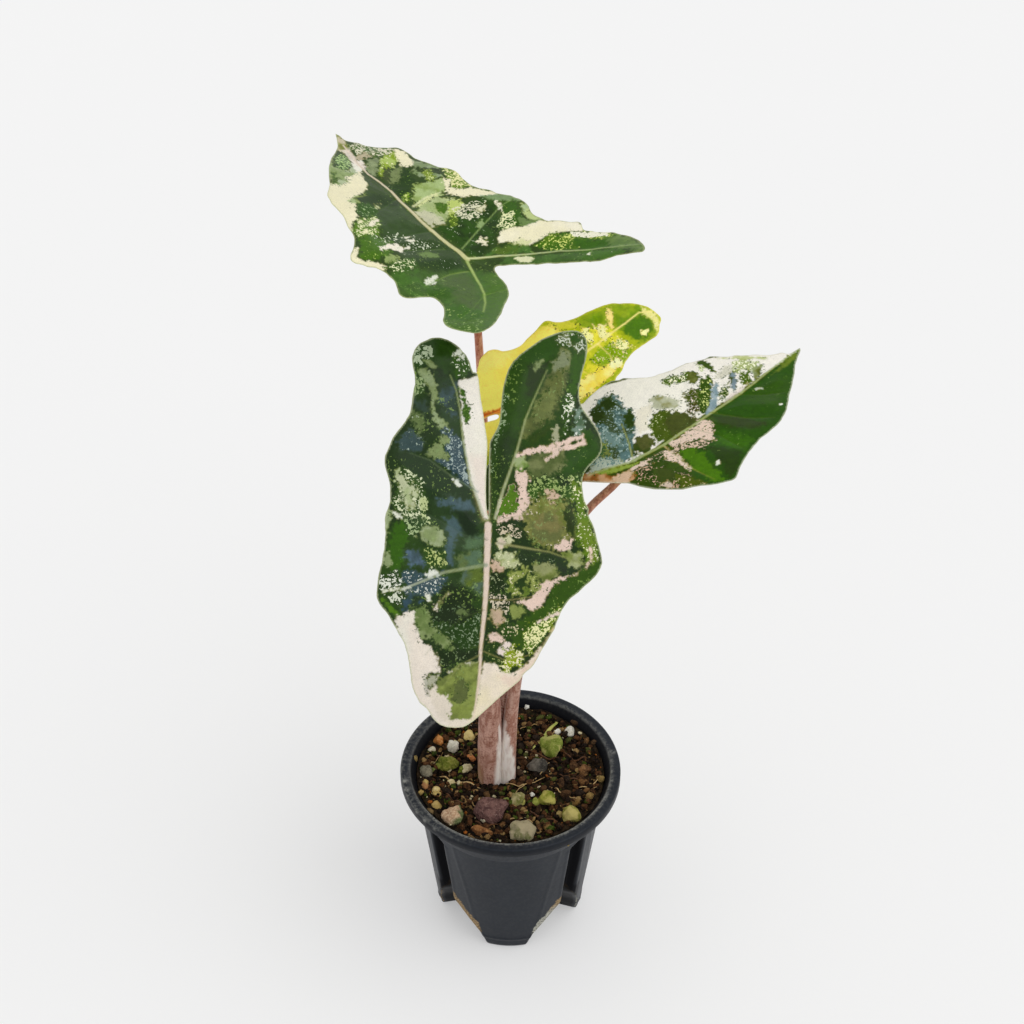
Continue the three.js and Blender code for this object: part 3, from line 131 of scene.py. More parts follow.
            ('poly', '74835a', [[58.28, -8.19], [55.79, -5.85], [53.7, -3.78], [51.22, 0.99], [49.16, 5.11], [56.77, 7.18], [68.76, 8.03], [70.78, 4.57], [71.64, -1.21], [65.51, -2.34], [63.14, -3.83], [62.45, -6.74]], {'rough': 1.0, 'c2': '8b9a62', 'dk': 0.25}),
            ('poly', '626f56', [[55.92, -1.64], [56.03, 2.54], [62.41, 3.71], [65.07, 0.72], [63.98, -1.93], [59.56, -1.68]], {'rough': 1.2, 'op': 0.9}),
            ('poly', '7b8a58', [[66.27, -2.55], [64.76, 2.75], [65.78, 5.73], [70.05, 4.43], [70.87, -1.01]], {'rough': 1.0, 'c2': '87965c', 'dk': 0.2}),
            ('poly', 'e3d8c8', [[71.43, -2.31], [70.47, 1.72], [70.21, 5.86], [72.85, 8.1], [74.88, -0.26]], {'rough': 0.5, 'spk': 0.2, 'sc': 'c6b59c'}),
            ('poly', 'e6e3d6', [[-44.33, -16.42], [-47.13, -9.55], [-39.56, -5.42], [-26.15, -3.89], [0.17, 0.03], [0.34, -1.15], [-4.1, -3.38], [-8.16, -5.89], [-12.59, -8.1], [-17.76, -9.9], [-22.33, -11.08], [-26.25, -12.16], [-30.14, -13.4], [-34.08, -14.31], [-38.7, -15.3]], {'rough': 0.35, 'soft': 0.35, 'c2': 'ebe6dc', 'f2': 0.06}),
            ('poly', 'e4d6cb', [[-20.13, -9.9], [-21.15, -3.17], [0.17, 0.03], [0.37, -1.32], [-6.29, -4.74]], {'rough': 0.5, 'soft': 2, 'op': 0.7}),
            ('poly', '44701a', [[-41.71, -15.71], [-41.25, -14.27], [-38.63, -13.57], [-36.84, -11.94], [-33.27, -10.75], [-30.78, -11.43], [-31.24, -12.87], [-34.13, -13.97]], {'rough': 1.0, 'soft': 0.3}),
            ('poly', '30560c', [[-0.37, 1.31], [-26.36, -2.54], [-40.15, -1.7], [-48.87, -0.78], [-58.09, 2.88], [-63.86, 10.81], [-68.85, 22.36], [-63.66, 27.09], [-51.52, 27.11], [-51.95, 12.25], [-43.66, 9.86], [-27.8, 6.86], [-10.36, 4.25], [-0.67, 3.32]], {'rough': 0.8, 'soft': 1.0}),
            ('poly', '1f3a0b', [[-26.62, -0.85], [-30.52, 2.37], [-27.59, 5.52], [-17.28, 4.94], [-6.93, 4.08], [-1.95, 2.78], [-13.13, 0.07]], {'soft': 2, 'rough': 1.0, 'op': 0.8}),
            ('poly', None, [[-41.38, -2.55], [-43.1, -0.37], [-39.28, 1.52], [-33.09, 1.33], [-26.72, -0.18], [-16.41, -0.75], [-16.26, -1.76], [-26.36, -2.54]], {'spk': 0.4, 'sc': '8ea37a', 'rough': 1}),
            ('poly', '2e5a06', [[-60.33, 6.05], [-63.52, 10.85], [-64.11, 14.58], [-59.33, 15.14], [-55.34, 11.83], [-53.3, 7.61], [-56.32, 4.82]], {'soft': 1.5, 'rough': 1, 'op': 0.9}),
            ('poly', '2a4216', [[-53.08, 6.26], [-55.5, 12.84], [-51.33, 12.67], [-46.85, 10.48], [-42.5, 8.98], [-42.91, 7.22], [-47.57, 6.27]], {'soft': 1, 'rough': 1}),
            ('poly', '87997f', [[-53.4, 8.28], [-55.65, 9.38], [-55.58, 11.11], [-53.1, 10.73], [-51.82, 9.17]], {'rough': 0.8}),
            ('poly', '6f7a5a', [[-27.18, 7.29], [-33.07, 7.84], [-37.69, 8.93], [-42.09, 10.75], [-46.34, 11.58], [-51.49, 13.68], [-56.66, 15.81], [-61.94, 16.22], [-60.87, 20.49], [-55.37, 20.79], [-49.79, 20.43], [-44.74, 19.0], [-39.77, 17.92], [-36.05, 16.01], [-33.0, 14.02], [-31.15, 10.84], [-27.83, 9.25]], {'rough': 1.2, 'soft': 0.7, 'c2': '5e6c50'}),
            ('poly', '848f84', [[-55.77, 14.53], [-60.34, 17.1], [-60.08, 19.89], [-55.37, 20.79], [-52.85, 17.99], [-52.32, 14.61]], {'rough': 1, 'soft': 0.8}),
            ('poly', '7b8770', [[-64.8, 14.5], [-67.04, 19.79], [-65.73, 24.78], [-60.99, 25.66], [-59.83, 22.68], [-61.92, 18.29], [-61.83, 15.54]], {'rough': 1.2, 'spk': 0.5, 'sc': 'c0c7b4', 'c2': '49632f'}),
            ('poly', '305b0b', [[-65.5, 18.92], [-66.62, 21.57], [-64.04, 22.9], [-62.58, 20.29]], {'rough': 1}),
            ('poly', '38630b', [[-60.19, 20.57], [-59.47, 24.8], [-53.97, 25.1], [-46.93, 24.23], [-44.59, 22.46], [-46.3, 20.18], [-51.87, 20.52]], {'rough': 1.3, 'soft': 0.5}),
            ('poly', '75846c', [[-44.99, 11.75], [-48.48, 16.47], [-43.86, 17.74], [-38.84, 16.33], [-35.68, 13.66], [-33.98, 11.49], [-37.18, 10.03]], {'rough': 1.2, 'op': 0.6, 'c2': '8d9877'}),
            ('poly', '3a640f', [[-43.96, 18.41], [-45.73, 20.94], [-44.8, 23.81], [-40.66, 23.65], [-35.74, 22.91], [-31.51, 22.1], [-31.93, 20.33], [-36.62, 19.71], [-40.7, 19.52]], {'rough': 1.2, 'spk': 0.45, 'sc': 'e2e5d0'}),
            ('poly', '4f6f66', [[-40.6, 23.31], [-41.75, 26.26], [-37.92, 28.12], [-33.79, 27.98], [-30.8, 26.32], [-31.16, 24.21], [-35.95, 24.26]], {'rough': 1.2, 'c2': '78908a', 'spk': 0.3, 'sc': 'd5dbd0'}),
            ('poly', '2c5010', [[-27.24, 7.62], [-31.3, 11.85], [-34.6, 15.52], [-33.68, 18.38], [-29.45, 17.58], [-26.16, 13.93], [-24.87, 10.0]], {'rough': 1.5, 'soft': 0.8, 'c2': '36520f'}),
            ('poly', 'a6a994', [[-33.42, 16.7], [-35.02, 18.2], [-33.88, 19.73], [-30.53, 20.18], [-28.27, 18.77], [-29.4, 17.25]], {'rough': 1.0}),
            ('poly', '2f5a08', [[-34.41, 27.55], [-34.2, 30.67], [-30.21, 33.61], [-25.8, 33.86], [-23.38, 31.45], [-20.86, 28.37], [-18.55, 26.64], [-18.61, 22.53], [-22.51, 21.29], [-26.16, 22.83], [-28.79, 26.59], [-29.87, 29.19]], {'rough': 1.0, 'soft': 0.8}),
            ('poly', '5f7050', [[-22.87, 10.29], [-25.23, 16.8], [-26.06, 22.16], [-22.82, 23.3], [-19.07, 21.09], [-15.89, 18.13], [-15.07, 12.77], [-18.76, 10.19]], {'rough': 1.2, 'soft': 0.8, 'c2': '7d8775'}),
            ('poly', '1e3a0e', [[-14.97, 12.11], [-17.73, 16.83], [-17.83, 21.95], [-18.71, 27.65], [-15.52, 29.14], [-10.59, 28.14], [-10.49, 23.02], [-11.88, 18.71], [-8.6, 15.1], [-8.86, 12.32], [-12.1, 11.16]], {'rough': 1.6, 'spk': 0.45, 'sc': '94a862', 'c2': '35600e'}),
            ('stroke', 'e3cabb', [[-22.31, 6.61], [-24.64, 10.72], [-26.42, 15.61], [-28.53, 20.45], [-30.82, 24.25], [-31.96, 27.19]], {'w': (1.69, 1.08), 'rough': 0.7, 'soft': 0.3}),
            ('stroke', 'e3cabb', [[-25.9, 16.7], [-27.29, 21.31], [-28.63, 25.58], [-30.44, 28.42]], {'w': (1.18, 1.01), 'rough': 0.7, 'soft': 0.3}),
            ('stroke', 'd9c4b4', [[-26.85, 20.68], [-24.1, 18.32], [-22.41, 16.17]], {'w': (1.01, 0.68), 'rough': 0.7, 'soft': 0.3}),
            ('poly', '9fae86', [[-21.54, 6.03], [-22.66, 8.95], [-19.48, 10.43], [-16.56, 9.14], [-16.97, 7.37]], {'rough': 0.8, 'c2': '5f8a3c'}),
            ('poly', 'e3cabb', [[-17.02, 7.71], [-18.05, 9.95], [-14.81, 11.1], [-9.76, 11.51], [-6.63, 13.34], [-3.73, 14.46], [-1.32, 12.1], [-1.38, 7.99], [-4.97, 9.15], [-10.41, 9.02], [-14.25, 7.43]], {'rough': 1.0, 'soft': 0.35}),
            ('poly', 'd8b9a6', [[-6.77, 3.07], [-10.51, 5.25], [-12.82, 6.96], [-9.69, 8.78], [-3.58, 9.02], [-0.97, 5.32], [-2.0, 3.11]], {'rough': 1.0, 'spk': 0.75, 'sc': '4f7412'}),
            ('stroke', 'e3cabb', [[-0.1, 4.09], [-2.05, 7.89], [-3.86, 13.08]], {'w': (1.35, 1.69), 'rough': 1, 'soft': 0.3}),
            ('poly', '8c9068', [[-6.19, 12.72], [-10.14, 16.23], [-12.09, 20.05], [-9.93, 23.79], [-10.54, 27.81], [-5.73, 29.9], [0.15, 29.43], [4.91, 27.44], [7.3, 23.02], [7.44, 17.57], [4.6, 13.7], [0.12, 11.64]], {'rough': 1.6, 'soft': 0.6, 'c2': '74804f', 'spk': 0.3, 'sc': 'd0c6aa'}),
            ('poly', '6b7560', [[-1.52, 13.43], [-4.9, 17.7], [-4.95, 22.49], [-0.57, 25.21], [4.41, 23.93], [5.9, 18.69], [3.83, 14.26]], {'rough': 1.5, 'soft': 1, 'op': 0.85, 'c2': '8a8472'}),
            ('poly', 'd8b9a6', [[-12.45, 17.94], [-13.47, 20.19], [-11.01, 21.92], [-8.75, 20.54], [-9.83, 18.67]], {'rough': 1.2, 'op': 0.8}),
            ('poly', '6d8a22', [[-17.11, 26.17], [-15.96, 29.76], [-11.15, 31.83], [-4.67, 34.17], [3.39, 37.48], [8.22, 39.63], [11.99, 37.5], [9.03, 34.27], [2.63, 31.19], [-3.86, 28.81], [-10.33, 26.47]], {'rough': 1.3, 'soft': 0.6, 'spk': 0.35, 'sc': 'e3e2b8', 'c2': '5f8418'}),
            ('poly', '1d3a0c', [[-10.13, 25.13], [-9.2, 28.01], [-3.91, 29.15], [1.26, 28.92], [-0.83, 26.88], [-6.02, 25.06]], {'rough': 1.2, 'op': 0.9}),
            ('poly', '264211', [[2.0, 3.73], [0.52, 8.96], [2.74, 12.38], [5.57, 11.8], [4.84, 7.59], [4.67, 4.15]], {'rough': 1.2, 'spk': 0.5, 'sc': 'cdbfa4'}),
            ('poly', '8a9a60', [[6.78, 3.79], [4.27, 6.81], [5.87, 9.8], [9.01, 7.22], [9.41, 4.55]], {'rough': 1, 'c2': 'c7c7a0'}),
            ('poly', 'd9c9b4', [[7.07, 4.18], [6.43, 6.13], [7.51, 8.01], [9.59, 5.6]], {'rough': 0.7}),
            ('poly', '93a070', [[10.23, 3.66], [10.13, 11.16], [12.07, 14.21], [15.84, 12.08], [15.97, 6.63], [14.26, 4.3]], {'rough': 1.2, 'spk': 0.3, 'sc': 'dad7b0', 'c2': 'b7bd92'}),
            ('poly', 'd8b9a6', [[13.69, 3.53], [13.96, 6.3], [17.12, 8.19], [18.97, 5.07], [17.1, 3.74]], {'rough': 1, 'op': 0.8}),
            ('poly', '1f3b18', [[10.56, 10.54], [10.42, 15.99], [9.66, 21.0], [10.45, 24.9], [12.67, 23.89], [12.37, 19.05], [12.94, 12.98]], {'rough': 1.0, 'spk': 0.3, 'sc': '90a07a'}),
            ('poly', '6f8050', [[12.44, 16.32], [11.63, 21.66], [12.94, 26.67], [16.51, 25.89], [19.14, 22.22], [17.62, 18.54]], {'rough': 1.4, 'c2': '949b80'}),
            ('poly', '22381f', [[11.12, 25.01], [11.29, 28.46], [13.88, 29.57], [13.71, 26.12]], {'rough': 1}),
            ('poly', 'e3cabb', [[6.42, 24.25], [3.67, 26.55], [2.98, 28.84], [5.71, 28.93], [7.46, 26.47]], {'rough': 0.8}),
            ('poly', '7f9158', [[7.46, 26.47], [6.65, 31.83], [8.93, 34.94], [11.92, 33.37], [11.86, 29.24]], {'rough': 1.2, 'c2': 'a3ab86'}),
            ('stroke', 'e3cabb', [[4.7, 35.63], [8.68, 36.61], [12.34, 35.15], [15.36, 31.19], [17.52, 26.06]], {'w': (0.84, 2.03), 'rough': 0.6, 'soft': 0.35}),
            ('poly', 'e3cabb', [[19.34, 20.88], [16.51, 25.89], [15.32, 29.13], [20.08, 25.12], [23.77, 23.69], [26.69, 22.82], [29.14, 20.5], [27.6, 16.8], [26.75, 13.22], [24.58, 18.34], [22.25, 20.0]], {'rough': 0.7, 'soft': 0.35}),
            ('poly', '20370f', [[17.72, 4.18], [17.02, 8.85], [23.09, 9.86], [25.05, 6.08], [21.87, 4.18]], {'rough': 1.4, 'spk': 0.3, 'sc': '9ba57a'}),
            ('poly', '96a266', [[17.69, 8.97], [14.19, 13.87], [16.95, 18.43], [21.47, 20.56], [24.79, 17.0], [25.5, 12.32], [22.31, 10.42]], {'rough': 1.6, 'spk': 0.3, 'sc': 'd8d2a8', 'c2': '6d8742'}),
            ('poly', '2a4717', [[18.63, 11.86], [16.68, 15.64], [20.62, 16.98], [23.06, 14.65], [21.96, 12.75]], {'rough': 1.5}),
            ('poly', '1f380f', [[25.93, 4.86], [25.12, 10.2], [27.53, 12.67], [31.92, 11.37], [31.07, 7.79], [30.01, 5.55]], {'rough': 1.4, 'spk': 0.5, 'sc': 'cbbfa6'}),
            ('poly', 'a89f8a', [[30.59, 6.33], [30.08, 9.68], [34.08, 11.05], [37.22, 8.85], [34.74, 6.7]], {'rough': 1.2, 'c2': 'c0a996'}),
            ('poly', '8b9a66', [[28.31, 12.12], [27.03, 16.01], [29.54, 17.82], [33.47, 15.07], [32.4, 12.82]], {'rough': 1}),
            ('poly', '3a6008', [[32.68, 15.62], [29.34, 19.16], [26.54, 23.83], [20.08, 25.12], [15.9, 29.91], [10.84, 35.94], [8.89, 39.74], [12.1, 41.3], [18.83, 37.96], [24.49, 32.75], [29.18, 29.44], [33.2, 26.03], [38.62, 22.87], [43.17, 20.94], [42.89, 18.12], [41.57, 15.13], [38.67, 13.23]], {'rough': 1.3, 'soft': 0.5, 'spk': 0.15, 'sc': 'c9d36a'}),
            ('poly', '76901c', [[34.22, 19.33], [29.99, 24.08], [25.78, 28.85], [27.51, 31.21], [33.69, 27.49], [39.0, 25.01], [43.76, 21.73], [42.1, 18.67]], {'rough': 1.4, 'spk': 0.5, 'sc': 'e4e3a8', 'c2': '557c06'}),
            ('stroke', 'e0cfc0', [[32.4, 22.1], [30.13, 25.48], [28.16, 29.26]], {'w': (0.84, 1.18), 'rough': 0.8, 'soft': 0.3}),
            ('poly', '355a08', [[35.12, 8.83], [33.67, 13.73], [35.32, 16.77], [39.95, 14.15], [39.08, 10.55]], {'rough': 1.5, 'spk': 0.4, 'sc': 'c9c09a'}),
            ('poly', 'e3cabb', [[38.32, 6.29], [38.39, 10.43], [40.95, 12.26], [42.15, 9.03], [41.86, 6.23]], {'rough': 0.8}),
            ('poly', 'e9dad0', [[42.58, 10.83], [40.74, 13.6], [43.2, 16.11], [46.07, 15.94], [45.89, 12.46], [44.81, 10.2]], {'rough': 0.7, 'soft': 0.3}),
            ('poly', '2a4a07', [[42.55, 6.35], [40.61, 9.79], [42.53, 11.17], [44.91, 9.52], [46.69, 11.91], [46.77, 16.07], [43.48, 18.92], [47.55, 20.36], [49.45, 17.25], [53.42, 14.88], [50.87, 12.68], [47.9, 8.68], [46.02, 6.96]], {'rough': 1.0, 'spk': 0.3, 'sc': 'a9b46a'}),
            ('poly', '8ca018', [[44.35, 13.22], [41.71, 16.53], [44.07, 19.72], [48.94, 20.62], [49.45, 17.25], [52.46, 16.43], [52.17, 13.61]], {'rough': 1.4, 'spk': 0.5, 'sc': 'e6e0b8'}),
            ('poly', 'e6dcb8', [[48.9, 6.79], [49.09, 10.28], [51.47, 13.48], [50.85, 17.51], [47.44, 21.03], [41.18, 24.71], [41.61, 26.52], [56.87, 20.72], [61.46, 14.65], [71.13, 9.52], [70.93, 5.99], [67.16, 6.33], [62.61, 7.22], [56.83, 6.85]], {'rough': 0.6, 'soft': 0.5, 'c2': 'e8dccb', 'f2': 0.08}),
            ('poly', 'dcb9a4', [[52.98, 13.06], [51.45, 18.32], [44.95, 23.33], [36.63, 26.64], [29.08, 30.11], [23.13, 32.51], [24.34, 33.75], [39.53, 28.55], [49.93, 23.57], [57.29, 18.03]], {'rough': 0.8, 'soft': 1.2, 'op': 0.75, 'c2': 'e2cdb9'}),
        ],
        "vein_paint": [
            ([[2.17, 0.34], [8.88, 1.22], [17.33, 2.23], [24.1, 3.18], [30.97, 3.82], [37.91, 4.33], [44.91, 4.87], [50.15, 5.7], [55.48, 6.18], [62.7, 6.61], [70.05, 6.88]], (2.37, 0.41), ('dccabb', 'e0cdb8'), 1.0),
            ([[-0.92, -1.86], [-5.67, -4.31], [-11.92, -8.0], [-18.42, -9.99], [-24.87, -12.31], [-34.7, -14.74], [-41.16, -17.01], [-45.86, -19.72]], (1.01, 0.41), ('bcc0a8', '93a38c'), 0.85),
            ([[-0.52, 2.32], [-10.26, 3.58], [-19.05, 5.36], [-24.31, 6.32], [-34.75, 7.62], [-40.09, 8.96], [-47.3, 11.11], [-52.74, 12.84]], (1.15, 0.41), ('b4ba9e', '8c9c80'), 0.85),
            ([[-8.33, -4.71], [-12.58, -14.96], [-16.55, -22.39], [-17.86, -29.39]], (0.54, 0.27), ('7f918c', '5d7568'), 0.7),
            ([[7.74, 4.28], [7.91, 12.17], [8.07, 22.46], [10.66, 34.88]], (0.88, 0.34), ('aaa890', '8c9674'), 0.8),
            ([[0.05, 3.09], [-3.04, 12.18]], (0.47, 0.27), ('9aa084', '7c8a60'), 0.6),
            ([[15.67, 1.79], [20.01, -11.6], [28.22, -25.68]], (1.35, 0.68), ('8fa092', 'b3b9ac'), 0.75),
            ([[30.99, 3.66], [34.81, -3.27], [42.03, -9.64], [49.32, -13.57]], (0.37, 0.2), ('556a4a', '55704a'), 0.5),
            ([[27.49, 3.75], [26.28, 11.77], [22.81, 23.18]], (0.41, 0.24), ('cfc0ac', 'd8c4b4'), 0.5),
            ([[44.94, 4.7], [47.13, 13.72], [44.11, 21.8]], (0.41, 0.24), ('b0a890', 'b9b08c'), 0.6),
            ([[46.67, 5.01], [51.16, -1.11], [60.93, -6.32]], (0.47, 0.24), ('a8a890', '8d9a70'), 0.6),
            ([[7.23, 0.79], [6.64, -6.87], [2.86, -16.03], [-0.65, -26.81]], (0.41, 0.2), ('4a6260', '3f5a44'), 0.6),
        ],
    },
    "B": {
        "P0": [-15.362, 28.0, 302.771],
        "n": [0.25497, -0.12738, 0.95852],
        "U": [-0.64643, 0.71476, 0.26694],
        "V": [-0.71911, -0.68768, 0.0999],
        "q": [0.15, -1.71, 0.11, -0.4, 0.29, -0.28],
